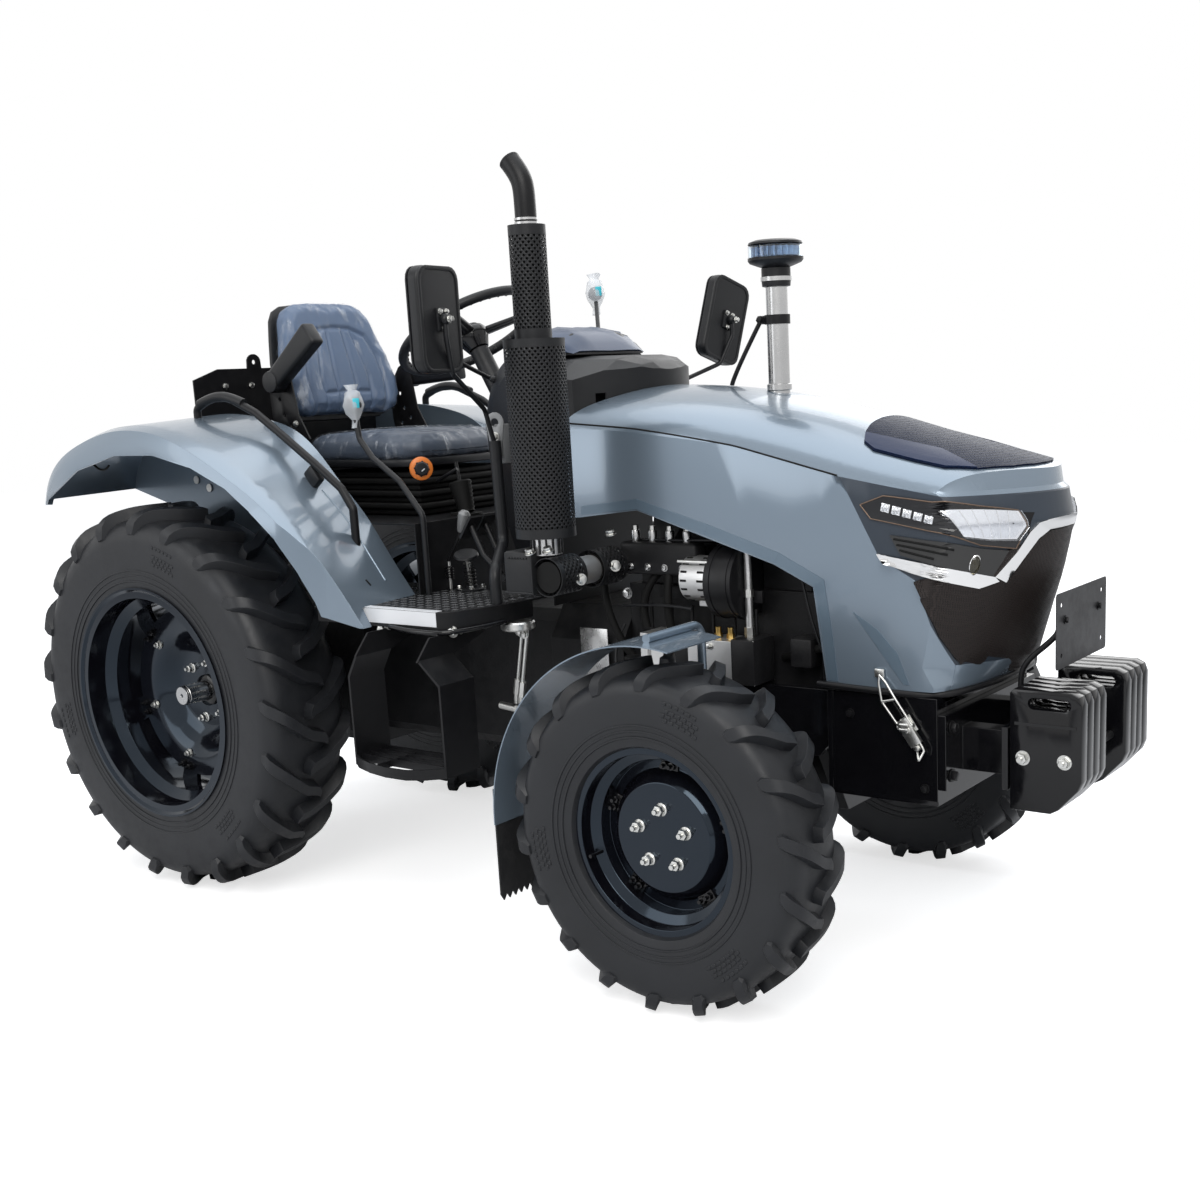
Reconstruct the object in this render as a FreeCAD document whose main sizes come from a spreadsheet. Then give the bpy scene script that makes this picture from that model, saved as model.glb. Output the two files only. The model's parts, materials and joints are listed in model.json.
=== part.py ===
import FreeCAD, Part
import Sketcher
import math
import os
from types import SimpleNamespace

# Mini tractor with two axles, four driven wheels and a rear three-point hitch.
# Millimetres.  +X forward, +Y left, +Z up.  The origin is on the ground, on the
# centre line, half way between the front weights and the ends of the lower links.

Vector = FreeCAD.Vector
doc = FreeCAD.newDocument("MiniTractor")
sheet = doc.addObject("Spreadsheet::Sheet", "Sizes")

SIZES = {
    # overall
    "wheelbase": 1750,
    "front_overhang": 790,          # front axle to the face of the front weights
    # front wheels
    "front_tyre_radius": 400,
    "front_tyre_width": 205,
    "front_rim_radius": 203,
    "front_lip_radius": 223,
    "front_lip_offset": 82,
    "front_track_half": 600,
    "front_disc_offset": 34,        # wheel centre plane to the disc's outer face
    # rear wheels
    "rear_tyre_radius": 552.5,
    "rear_tyre_width": 284,
    "rear_rim_radius": 305,
    "rear_lip_radius": 330,
    "rear_lip_offset": 140,
    "rear_track_half": 545,
    "rear_disc_offset": 20,
    # steering
    "kingpin_half": 470,
    "steering_arm": 150,
    "steering_wheel_radius": 215,
    # castings and frame
    "housing_half": 165,
    "rail_half": 204,
    "rail_thickness": 14,
    "engine_half": 150,
    "box_half": 250,
    # hood
    "hood_wall": 5,
    # driver's place
    "platform_height": 850,
    "platform_half": 560,
    "seat_deck_height": 1040,
    "cushion_height": 1262,
    "fender_inner": 350,
    "fender_outer": 686,
    "fender_wall": 5,
    # exhaust
    "muffler_side": 450,
    "muffler_radius": 72.5,
    "outlet_radius": 25,
    # hitch
    "lift_arm": 270,
    "lower_link": 660,              # pivot to the implement ball
    "lower_link_rod": 320,          # pivot to the lift rod's eye
    "link_half": 215,
    # fits
    "seat_gap": 0.3,                # pieces of one body that lie on each other
    "pin_gap": 0.5,                 # running gap at a pin, hub or bush
}


class Size:
    """A number that knows the sheet expression it came from."""

    def __init__(self, value, text):
        self.value = float(value)
        self.text = text

    def __add__(self, other):
        return Size(self.value + number(other), "(%s + %s)" % (self.text, text(other)))

    def __sub__(self, other):
        return Size(self.value - number(other), "(%s - %s)" % (self.text, text(other)))

    def __mul__(self, other):
        return Size(self.value * number(other), "(%s * %s)" % (self.text, text(other)))

    def __truediv__(self, other):
        return Size(self.value / number(other), "(%s / %s)" % (self.text, text(other)))

    def __radd__(self, other):
        return Size(number(other) + self.value, "(%s + %s)" % (text(other), self.text))

    def __rsub__(self, other):
        return Size(number(other) - self.value, "(%s - %s)" % (text(other), self.text))

    def __rmul__(self, other):
        return Size(number(other) * self.value, "(%s * %s)" % (text(other), self.text))

    def __neg__(self):
        return Size(-self.value, "(0 - %s)" % self.text)

    def __float__(self):
        return self.value


def number(item):
    return float(item)


def text(item):
    if isinstance(item, Size):
        return item.text
    return "%.6g" % item if item >= 0 else "(0 - %.6g)" % -item


for row, (name, value) in enumerate(SIZES.items(), start=1):
    sheet.set("A%d" % row, name)
    sheet.set("B%d" % row, str(value))
    sheet.setAlias("B%d" % row, name)
doc.recompute()
d = SimpleNamespace(**{name: Size(sheet.get(name), "Sizes." + name) for name in SIZES})

# places that several pieces share
LINK_SLOPE = math.radians(10)      # lift arms and lower links hang this far below level
link_back, link_down = math.cos(LINK_SLOPE), math.sin(LINK_SLOPE)
LINK_BACK = 70                     # rear axle to the lower link pivots
BALL = 30
rear_overhang = LINK_BACK + d.lower_link * link_back + BALL
rear_x = (rear_overhang - d.wheelbase - d.front_overhang) / 2
front_x = rear_x + d.wheelbase
front_z = d.front_tyre_radius
rear_z = d.rear_tyre_radius
lift_x, lift_z = rear_x - 120, rear_z + 350        # rockshaft
link_x, link_z = rear_x - LINK_BACK, rear_z - 130  # lower link pivots
rise = rear_z - 552.5                              # bigger rear tyres lift the driver's place too
deck_top = d.seat_deck_height + rise
ROCKSHAFT = 27
TOP_LINK_PIN = 9.8
LOWER_LINK_PIN = 11.2


def vec(x, y, z):
    return Vector(number(x), number(y), number(z))


# ---------------------------------------------------------------- bodies and sketches

PLANES = {"XY": "XY_Plane", "XZ": "XZ_Plane", "YZ": "YZ_Plane"}


def new_body(label, x=0, y=0, z=0):
    body = doc.addObject("PartDesign::Body", label)
    body.Label = label
    for axis, place in zip("xyz", (x, y, z)):
        if isinstance(place, Size):
            body.setExpression("Placement.Base." + axis, place.text)
        else:
            setattr(body.Placement.Base, axis, place)
    return body


def outline(body, plane, points, level=0):
    """Closed straight-sided sketch; level is its distance from the plane along its normal."""
    sketch = body.newObject("Sketcher::SketchObject", body.Name + "_outline")
    support = [f for f in body.Origin.OriginFeatures if f.Role == PLANES[plane]][0]
    sketch.AttachmentSupport = [(support, "")]
    sketch.MapMode = "FlatFace"
    sketch.setExpression("AttachmentOffset.Base.z", text(level))
    count = len(points)
    places = [Vector(number(p[0]), number(p[1]), 0) for p in points]
    for i in range(count):
        sketch.addGeometry(Part.LineSegment(places[i], places[(i + 1) % count]), False)
    for i in range(count):
        sketch.addConstraint(Sketcher.Constraint("Coincident", i, 2, (i + 1) % count, 1))
    for i, point in enumerate(points):
        for kind, value in (("DistanceX", point[0]), ("DistanceY", point[1])):
            index = sketch.addConstraint(Sketcher.Constraint(kind, -1, 1, i, 1, number(value)))
            if isinstance(value, Size):
                sketch.setExpression("Constraints[%d]" % index, value.text)
    return sketch


def pad(body, plane, points, start, end):
    """Prism of an outline from start to end along +X, +Y or +Z; the XZ plane faces -Y."""
    feature = body.newObject("PartDesign::Pad", body.Name + "_pad")
    feature.Profile = outline(body, plane, points, -end if plane == "XZ" else start)
    feature.setExpression("Length", text(end - start))
    return feature


def pocket(body, plane, points, start, end):
    feature = body.newObject("PartDesign::Pocket", body.Name + "_pocket")
    feature.Profile = outline(body, plane, points, -end if plane == "XZ" else start)
    feature.setExpression("Length", text(end - start))
    feature.Reversed = True
    return feature


def disc_sketch(body, plane, centre, radius, level):
    sketch = body.newObject("Sketcher::SketchObject", body.Name + "_circle")
    support = [f for f in body.Origin.OriginFeatures if f.Role == PLANES[plane]][0]
    sketch.AttachmentSupport = [(support, "")]
    sketch.MapMode = "FlatFace"
    sketch.setExpression("AttachmentOffset.Base.z", text(level))
    middle = Vector(number(centre[0]), number(centre[1]), 0)
    sketch.addGeometry(Part.Circle(middle, Vector(0, 0, 1), number(radius)), False)
    for kind, value in (("DistanceX", centre[0]), ("DistanceY", centre[1])):
        index = sketch.addConstraint(Sketcher.Constraint(kind, -1, 1, 0, 3, number(value)))
        if isinstance(value, Size):
            sketch.setExpression("Constraints[%d]" % index, value.text)
    index = sketch.addConstraint(Sketcher.Constraint("Radius", 0, number(radius)))
    if isinstance(radius, Size):
        sketch.setExpression("Constraints[%d]" % index, radius.text)
    return sketch


def boss(body, plane, centre, radius, start, end):
    """Round prism from start to end."""
    feature = body.newObject("PartDesign::Pad", body.Name + "_boss")
    feature.Profile = disc_sketch(body, plane, centre, radius, -end if plane == "XZ" else start)
    feature.setExpression("Length", text(end - start))
    return feature


def bore(body, plane, centre, radius, start, end):
    """Round hole from start to end."""
    feature = body.newObject("PartDesign::Pocket", body.Name + "_bore")
    feature.Profile = disc_sketch(body, plane, centre, radius, -end if plane == "XZ" else start)
    feature.setExpression("Length", text(end - start))
    feature.Reversed = True
    return feature


def turned(body, plane, points, axis, cut=False):
    """Full turn of an outline about the sketch's H_Axis or V_Axis."""
    kind = "PartDesign::Groove" if cut else "PartDesign::Revolution"
    sketch = outline(body, plane, points)
    feature = body.newObject(kind, body.Name + "_turn")
    feature.Profile = sketch
    feature.ReferenceAxis = (sketch, [axis])
    feature.Angle = 360
    return feature


def rounded(body, radius, chosen):
    """Fillets the edges of the body's tip for which chosen(edge) is true."""
    doc.recompute()
    tip = body.Tip
    names = ["Edge%d" % (i + 1) for i, edge in enumerate(tip.Shape.Edges) if chosen(edge)]
    feature = body.newObject("PartDesign::Fillet", body.Name + "_round")
    feature.Base = (tip, names)
    feature.setExpression("Radius", text(radius))
    return feature


# ---------------------------------------------------------------- free shapes

def rect(u0, u1, v0, v1):
    return [(u0, v0), (u1, v0), (u1, v1), (u0, v1)]


def slab(x0, x1, y0, y1, z0, z1):
    size = [number(b) - number(a) for a, b in ((x0, x1), (y0, y1), (z0, z1))]
    return Part.makeBox(*size, vec(x0, y0, z0))


def bar(start, end, radius):
    """Round bar between two points."""
    start, end = vec(*start), vec(*end)
    return Part.makeCylinder(number(radius), (end - start).Length, start, end - start)


def bent_bar(points, radius, bend):
    """Round bar along straight runs joined by tangent arcs of one bend radius."""
    points = [vec(*p) for p in points]
    edges = []
    last = points[0]
    for before, corner, after in zip(points, points[1:], points[2:]):
        way_in = (corner - before).normalize()
        way_out = (after - corner).normalize()
        half_turn = way_in.getAngle(way_out) / 2
        setback = bend * math.tan(half_turn)
        start = corner - way_in * setback
        end = corner + way_out * setback
        inward = (way_out - way_in).normalize()
        middle = corner + inward * (bend / math.cos(half_turn) - bend)
        edges.append(Part.LineSegment(last, start).toShape())
        edges.append(Part.Arc(start, middle, end).toShape())
        last = end
    edges.append(Part.LineSegment(last, points[-1]).toShape())
    path = Part.Wire(edges)
    section = Part.Wire(Part.makeCircle(number(radius), points[0], points[1] - points[0]))
    return path.makePipeShell([section], True, True)


def plate(points, plane, start, end):
    """Prism of a polygon given in the plane's own two coordinates."""
    start, end = number(start), number(end)
    place = {
        "XY": lambda u, v, w: Vector(u, v, w),
        "XZ": lambda u, v, w: Vector(u, w, v),
        "YZ": lambda u, v, w: Vector(w, u, v),
    }[plane]
    corners = [place(number(u), number(v), start) for u, v in points]
    face = Part.Face(Part.makePolygon(corners + corners[:1]))
    return face.extrude(place(0, 0, end - start))


def spline_edge(points):
    curve = Part.BSplineCurve()
    curve.interpolate([vec(*p) for p in points])
    return curve.toShape()


def joined(*shapes):
    whole = shapes[0].multiFuse(list(shapes[1:])) if len(shapes) > 1 else shapes[0]
    return whole.removeSplitter()


def mirrored(shape):
    return shape.mirror(Vector(0, 0, 0), Vector(0, 1, 0))


def free_piece(label, shape):
    piece = doc.addObject("Part::Feature", label)
    piece.Label = label
    piece.Shape = shape
    return piece


def left_copy(label, source):
    """The same piece on the tractor's left side."""
    piece = doc.addObject("Part::Mirroring", label)
    piece.Label = label
    piece.Source = source
    piece.Normal = Vector(0, 1, 0)
    return piece


def both_sides(label, source):
    """One node with the right-hand piece and its mirror image."""
    piece = doc.addObject("Part::Compound", label)
    piece.Label = label
    piece.Links = [source, left_copy(label + "_mirror", source)]
    return piece


nodes = []


def keep(piece):
    nodes.append(piece)
    return piece


# ---------------------------------------------------------------- wheels

def rim_outline(radius, lip, offset, bead, wall, drop):
    """Barrel with a dropped centre, bead seats and rolled lips, as (radius, width) points."""
    outside = [
        (lip, offset),
        (lip - 4, bead + 2),
        (radius + 14, bead),
        (radius, bead),
        (radius, bead * 0.55),
        (radius - drop, bead * 0.37),
    ]
    inside = [
        (radius - drop - wall, bead * 0.42),
        (radius - wall, bead * 0.6),
        (radius - wall, bead + wall),
        (radius + 12, bead + wall),
        (lip - wall, offset),
    ]
    far = [(r, -y) for r, y in reversed(outside)]
    back = [(r, -y) for r, y in reversed(inside)]
    return outside + far + back + inside


def tyre_outline(radius, half, rim, lip, bead):
    side = [
        (rim + d.seat_gap, bead - d.seat_gap),
        (lip + 3, bead - d.seat_gap),
        (lip + 12, bead + 12),
        (lip + (radius - lip) * 0.38, half - 3),
        (lip + (radius - lip) * 0.6, half),
        (radius - 30, half - 5),
        (radius - 7, half - 16),
        (radius, half - 32),
    ]
    return side + [(r, -y) for r, y in reversed(side)]


def front_wheel():
    """Right front rim with its domed disc and hub, and its tyre, centred on the hub."""
    bead = d.front_lip_offset - 12
    at = (front_x, -d.front_track_half, front_z)
    rim = new_body("front_rim_right", *at)
    turned(rim, "XY", rim_outline(d.front_rim_radius, d.front_lip_radius, d.front_lip_offset, bead, 5, 22),
           "V_Axis")
    face = -d.front_disc_offset
    well = d.front_rim_radius - 26
    turned(rim, "XY", [(0, face), (125, face), (138, face + 12), (152, face + 32), (well, face + 36),
                       (well, face + 42), (148, face + 38), (132, face + 17), (122, face + 6), (0, face + 6)],
           "V_Axis")
    boss(rim, "XZ", (0, 0), 72, face + 6, 24)
    tyre = new_body("front_tyre_right", *at)
    turned(tyre, "XY", tyre_outline(d.front_tyre_radius, d.front_tyre_width / 2, d.front_rim_radius,
                                    d.front_lip_radius, bead), "V_Axis")
    return rim, tyre


REAR_LUGS = 6


def rear_wheel():
    """Right rear rim, its dished centre on lugs, the hub and axle end, and its tyre."""
    bead = d.rear_lip_offset - 13
    at = (rear_x, -d.rear_track_half, rear_z)
    rim = new_body("rear_rim_right", *at)
    turned(rim, "XY", rim_outline(d.rear_rim_radius, d.rear_lip_radius, d.rear_lip_offset, bead, 6, 24),
           "V_Axis")
    dish = d.rear_disc_offset
    turned(rim, "XY", [(0, dish + 40), (105, dish + 40), (125, dish + 34), (175, dish - 8), (205, dish - 14),
                       (245, dish - 14), (245, dish - 6), (208, dish - 6), (180, dish + 1), (131, dish + 42),
                       (107, dish + 49), (0, dish + 49)], "V_Axis")
    boss(rim, "XZ", (0, 0), 27.5, dish - 50, dish + 40)
    boss(rim, "XZ", (0, 0), 100, dish + 49, dish + 85)
    lug = pad(rim, "XZ", [(-26, 214), (26, 214), (34, d.rear_rim_radius - 22), (-34, d.rear_rim_radius - 22)],
              dish - 6, dish + 8)
    ring = rim.newObject("PartDesign::PolarPattern", "rear_lugs")
    ring.Originals = [lug]
    axis = [f for f in rim.Origin.OriginFeatures if f.Role == "Y_Axis"][0]
    ring.Axis = (axis, [""])
    ring.Angle = 360
    ring.Occurrences = REAR_LUGS
    rim.Tip = ring
    tyre = new_body("rear_tyre_right", *at)
    turned(tyre, "XY", tyre_outline(d.rear_tyre_radius, d.rear_tyre_width / 2, d.rear_rim_radius,
                                    d.rear_lip_radius, bead), "V_Axis")
    return rim, tyre


for right in front_wheel() + rear_wheel():
    keep(right)
    keep(left_copy(right.Label.replace("_right", "_left"), right))


# ---------------------------------------------------------------- transmission and rear axle

def transmission():
    """Bell housing, gearbox, rear axle centre, lift cover and power take-off boss."""
    body = new_body("transmission")
    half = d.housing_half
    tail = rear_x - 185
    pad(body, "YZ", [(-half, rear_z - 170), (-half + 35, rear_z - 205), (half - 35, rear_z - 205),
                     (half, rear_z - 170), (half, rear_z + 215), (half - 25, rear_z + 240),
                     (-half + 25, rear_z + 240), (-half, rear_z + 215)], tail, rear_x + 330)
    pad(body, "YZ", [(-130, 420), (-100, 390), (100, 390), (130, 420), (130, 760), (100, 790),
                     (-100, 790), (-130, 760)], rear_x + 330, rear_x + 1080)
    pad(body, "YZ", [(-190, 470), (-130, 385), (130, 385), (190, 470), (190, 730), (130, 815),
                     (-130, 815), (-190, 730)], rear_x + 1080, rear_x + 1320)
    pad(body, "XZ", [(tail + 20, rear_z + 240), (rear_x + 160, rear_z + 240), (rear_x + 130, rear_z + 345),
                     (rear_x + 20, rear_z + 390), (tail + 30, rear_z + 390), (tail + 10, rear_z + 330)],
        -125, 125)
    boss(body, "YZ", (0, rear_z - 10), 62, tail - 28, tail)
    bore(body, "XZ", (lift_x, lift_z), ROCKSHAFT + d.pin_gap, -126, 126)
    for near, far in ((-32, -22), (22, 32)):
        pad(body, "XZ", [(tail + 20, rear_z + 250), (tail - 42, rear_z + 285), (tail - 47, rear_z + 305),
                         (tail - 42, rear_z + 325), (tail + 25, rear_z + 345)], near, far)
    bore(body, "XZ", (tail - 27, rear_z + 304.5), TOP_LINK_PIN, -33, 33)
    return body


def rear_axle():
    """Right trumpet housing from the transmission to the hub."""
    body = new_body("rear_axle_right", rear_x, 0, rear_z)
    side = -d.housing_half - d.seat_gap
    hub_face = -d.rear_track_half + d.rear_disc_offset + 85 + d.pin_gap
    turned(body, "XY", [(0, side), (135, side), (135, side - 22), (112, side - 30), (78, hub_face + 50),
                        (104, hub_face + 40), (104, hub_face), (0, hub_face)], "V_Axis")
    pad(body, "XZ", [(-110, -150), (-40, -158), (-10, -100), (20, -60), (-90, -60)], side - 35, side - 22)
    boss(body, "XZ", (-70, -130), 12, -d.link_half - 12, side - 35)
    return body


keep(transmission())
keep(both_sides("rear_axle", rear_axle()))


def pto_shaft():
    """Splined stub of the power take-off with its guard hood."""
    body = new_body("pto_shaft")
    start = rear_x - 185 - 28 - d.seat_gap
    boss(body, "YZ", (0, rear_z - 10), 17.5, start - 80, start)
    pad(body, "YZ", [(-80, rear_z + 20), (80, rear_z + 20), (80, rear_z + 70), (60, rear_z + 82),
                     (-60, rear_z + 82), (-80, rear_z + 70)], start - 5, start)
    return body


# ---------------------------------------------------------------- engine bay

DRUM = (-190, 905)                 # belt guard beside the engine
DRUM_RADIUS = 88


def engine():
    """Plain block at its real place, with head, rocker cover, sump and front timing case."""
    body = new_body("engine")
    back = rear_x + 1320 + d.seat_gap
    front = front_x + 130
    half = d.engine_half
    pad(body, "YZ", rect(-half, half, 560, 880), back, front)
    pad(body, "YZ", rect(-half + 15, half - 25, 880, 985), back + 30, front - 30)
    pad(body, "YZ", [(-half + 40, 985), (half - 50, 985), (half - 62, 1062), (-half + 52, 1062)],
        back + 50, front - 60)
    pad(body, "YZ", [(-half + 20, 560), (half - 20, 560), (half - 45, 440), (-half + 45, 440)],
        back + 20, front_x - 170)
    pad(body, "YZ", [(-120, 560), (120, 560), (140, 600), (140, 860), (90, 930), (-90, 930), (-140, 860),
                     (-140, 600)], front, front + 35)
    bore(body, "YZ", DRUM, DRUM_RADIUS + 4, front_x - 118, front_x - 34)
    foot = d.rail_half - d.rail_thickness - d.seat_gap
    for near, far in ((-foot, -half), (half, foot)):
        pad(body, "XZ", rect(front_x - 270, front_x - 150, 575, 650), near, far)
    return body


def alternator():
    """Alternator on the engine's right side, with the drum guard over its pulley."""
    body = new_body("alternator")
    middle = front_x - 150
    boss(body, "YZ", (-214, 912), 55, middle - 40, middle + 38)
    boss(body, "YZ", DRUM, DRUM_RADIUS, middle + 38, middle + 112)
    pad(body, "XZ", rect(middle - 30, middle + 20, 840, 890), -200, -d.engine_half - d.seat_gap)
    return body


def pumps():
    """Tandem gear pumps for steering and lift, and the steel pipe that rises from them."""
    body = new_body("hydraulic_pumps")
    back = front_x - 320
    pad(body, "YZ", rect(-262, -172, 668, 776), back, back + 22)
    pad(body, "YZ", rect(-254, -180, 676, 766), back + 22, back + 140)
    pad(body, "YZ", rect(-258, -176, 672, 770), back + 140, back + 268)
    pad(body, "YZ", rect(-262, -172, 668, 776), back + 268, back + 332)
    pad(body, "XZ", rect(back + 40, back + 110, 690, 750), -180, -d.engine_half - d.seat_gap)
    boss(body, "XY", (back + 294, -215), 9, 776, 1000)
    return body


BOX_TOP = 676                      # battery box; the radiator stands on it


def radiator():
    """Core with side plates, and the round fan cowl behind it."""
    body = new_body("radiator")
    face = front_x + 225
    pad(body, "YZ", rect(-225, 225, 700, 1105), face, face + 60)
    low = BOX_TOP + d.seat_gap
    pad(body, "YZ", rect(-232, -226, low, 1110), face - 45, face + 170)
    pad(body, "YZ", rect(226, 232, low, 1110), face - 45, face + 170)
    pad(body, "YZ", rect(-226, 226, low, 700), face - 45, face + 170)
    boss(body, "YZ", (0, 895), 190, face - 45, face)
    bore(body, "YZ", (0, 895), 182, face - 45, face - 5)
    return body


keep(pto_shaft())
keep(engine())
keep(alternator())
keep(pumps())
keep(radiator())


def exhaust():
    """Upright silencer in two guard tubes, curved outlet, and the elbow to the manifold."""
    x, y = rear_x + 1310, -d.muffler_side
    radius = d.muffler_radius
    lower = Part.makeCylinder(number(radius), 458, vec(x, y, 1032))
    upper = Part.makeCylinder(number(radius) * 0.6, 253, vec(x, y, 1490))
    outlet = bent_bar([(x, y, 1740), (x, y, 1820), (x - 42, y, 1893)], d.outlet_radius, 60)
    elbow = bent_bar([(x, y, 1034), (x, y, 938), (x + 30, y + 160, 938), (x + 30, -d.engine_half + 15 - 0.3, 938)],
                     42, 45)
    return free_piece("exhaust", joined(lower, upper, outlet, elbow))


keep(exhaust())


# ---------------------------------------------------------------- front frame and axle

def front_frame():
    """Two side rails from the engine to the nose, the front cross plate and axle pivots."""
    rail = d.rail_half
    inner = rail - d.rail_thickness
    back = front_x - 290
    nose = front_x + 476
    body = new_body("front_frame")
    for side in (-1, 1):
        near, far = (-rail, -inner) if side < 0 else (inner, rail)
        pad(body, "XZ", [(back, 560), (front_x - 170, 500), (front_x + 150, 500), (front_x + 200, 560),
                         (nose, 560), (nose, 662), (back, 662)], near, far)
    pad(body, "YZ", rect(-inner, inner, 560, 662), nose - 14, nose)
    pad(body, "YZ", [(-inner, 520), (inner, 520), (90, 340), (-90, 340)], front_x - 160, front_x - 128)
    pad(body, "YZ", [(-inner, 520), (inner, 520), (90, 340), (-90, 340)], front_x + 128, front_x + 160)
    bore(body, "YZ", (0, front_z), 36, front_x - 161, front_x + 161)
    return body


def front_axle():
    """Driven axle: centre housing on its pivot trunnions, two arms and the swivel ends."""
    body = new_body("front_axle", front_x, 0, front_z)
    king = d.kingpin_half
    boss(body, "YZ", (0, 0), 35.5, -158, 158)
    turned(body, "XY", [(0, -105), (92, -60), (92, 60), (0, 105)], "V_Axis")
    turned(body, "XY", [(0, -king), (40, -king), (40, -300), (56, -90), (56, 90), (40, 300), (40, king),
                        (0, king)], "V_Axis")
    boss(body, "XY", (0, -king), 46, -52, 52)
    boss(body, "XY", (0, king), 46, -52, 52)
    return body


def knuckle():
    """Right swivel: forked housing over the axle's end, spindle drum and steering arm."""
    body = new_body("knuckle_right", front_x, -d.kingpin_half, front_z)
    top = 52 + d.pin_gap
    drum = -(d.front_track_half - d.kingpin_half) + 24 + d.pin_gap
    boss(body, "XY", (0, 0), 46, top, top + 26)
    boss(body, "XY", (0, 0), 46, -top - 26, -top)
    pad(body, "XZ", rect(-46, 46, top, top + 26), -78, 0)
    pad(body, "XZ", rect(-46, 46, -top - 26, -top), -78, 0)
    pad(body, "XZ", rect(-46, 46, -top - 26, top + 26), -78, -56)
    boss(body, "XZ", (0, 0), 66, drum, -70)
    arm = d.steering_arm
    pad(body, "XY", [(-40, -22), (0, -22), (0, 22), (-40, 22), (-arm, 16), (-arm - 16, 0), (-arm, -16)],
        -top - 26, -top - 8)
    return body


def tie_rod():
    """Rod between the two steering arms, with an eye over each arm's ball."""
    arm_x = front_x - d.steering_arm
    low = front_z - 52 - d.pin_gap - 26 - d.pin_gap
    body = new_body("tie_rod")
    king = d.kingpin_half
    boss(body, "XY", (arm_x, -king), 17, low - 30, low)
    boss(body, "XY", (arm_x, king), 17, low - 30, low)
    boss(body, "XZ", (arm_x, low - 15), 13, -king, king)
    return body


def battery_box():
    """Folded box hung on the rails behind the nose."""
    body = new_body("battery_box")
    half = d.box_half
    inner = d.rail_half + d.seat_gap
    back, nose = front_x + 200, front_x + 476
    pad(body, "YZ", rect(-half, half, 432, 558), back, nose)
    pad(body, "YZ", rect(-half, -inner, 558, BOX_TOP), back, nose)
    pad(body, "YZ", rect(inner, half, 558, BOX_TOP), back, nose)
    return body


def weight_carrier():
    """Cross plate ahead of the box, and the two arms that the weights hang on."""
    body = new_body("weight_carrier")
    back = front_x + 476 + d.seat_gap
    pad(body, "YZ", rect(-250, 250, 470, 640), back, back + 20)
    for side in (-1, 1):
        pad(body, "YZ", rect(side * 140 - 25, side * 140 + 25, 500, 600), back + 20, front_x + 625)
    pad(body, "YZ", rect(-215, 215, 480, 620), front_x + 610, front_x + 625)
    return body


def front_weights():
    """Right stack of slab weights with a hand slot and a cut lower front corner."""
    back = front_x + 625 + d.seat_gap
    face = front_x + d.front_overhang
    body = new_body("front_weights_right")
    pad(body, "XZ", [(back, 437), (face - 62, 437), (face, 510), (face, 690), (face - 20, 706),
                     (back, 706)], -212, -60)
    pocket(body, "XZ", rect(back + 30, face - 45, 668, 707), -196, -160)
    return body


def number_plate():
    """Blank plate with four holes on two bent rods that rise from the carrier."""
    x = front_x + 704
    flat = plate(rect(-150, 150, 738, 903), "YZ", x, x + 2)
    for y in (-125, 125):
        for z in (762, 880):
            flat = flat.cut(Part.makeCylinder(5, 6, vec(x - 2, y, z), Vector(1, 0, 0)))
    shapes = [flat]
    for side in (-1, 1):
        y = side * 100
        shapes.append(bent_bar([(front_x + 602.7, y, 548), (front_x + 602.7, y, 714), (x - 6, y, 806),
                                (x - 6, y, 880)], 7, 25))
    return free_piece("number_plate", joined(*shapes))


keep(front_frame())
keep(front_axle())
right_knuckle = keep(knuckle())
keep(left_copy("knuckle_left", right_knuckle))
keep(tie_rod())
keep(battery_box())
keep(weight_carrier())
keep(both_sides("front_weights", front_weights()))
keep(number_plate())


# ---------------------------------------------------------------- front fenders

def front_fender():
    """Right front fender on its bent stay from the swivel, and the rubber flap below it."""
    middle = -d.front_track_half
    radius = number(d.front_tyre_radius) + 38
    outer = Part.makeCylinder(radius + 3, 200, vec(front_x, middle + 100, front_z), Vector(0, -1, 0))
    inner = Part.makeCylinder(radius, 202, vec(front_x, middle + 101, front_z), Vector(0, -1, 0))
    reach = 900
    wedge = [(front_x, front_z)]
    for turn in (182, 165, 130, 100, 79):
        angle = math.radians(turn)
        wedge.append((front_x + reach * math.cos(angle), front_z + reach * math.sin(angle)))
    arch = outer.cut(inner).common(plate(wedge, "XZ", middle - 101, middle + 101))
    king = -d.kingpin_half
    over = radius + 3 + 8
    stay = bent_bar([(front_x, king + 15, front_z + 79), (front_x, king + 15, front_z + over),
                     (front_x, middle - 60, front_z + over)], 10, 30)
    fender = free_piece("front_fender_right", joined(arch, stay))
    x = front_x - radius - 3 - d.seat_gap
    flap = plate(rect(middle - 92, middle + 92, 195, 470), "YZ", x - 4.5, x)
    return fender, free_piece("mud_flap_right", flap)


for right in front_fender():
    keep(right)
    keep(left_copy(right.Label.replace("_right", "_left"), right))


# ---------------------------------------------------------------- hood

HINGE_Z = 1388
hinge_x = rear_x + 1258
HOOD_EDGE = ((1195, -300), (1240, -255), (1292, -200), (1352, -110), (1378, 0), (1352, 110), (1292, 200),
             (1240, 255), (1195, 300))

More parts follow.
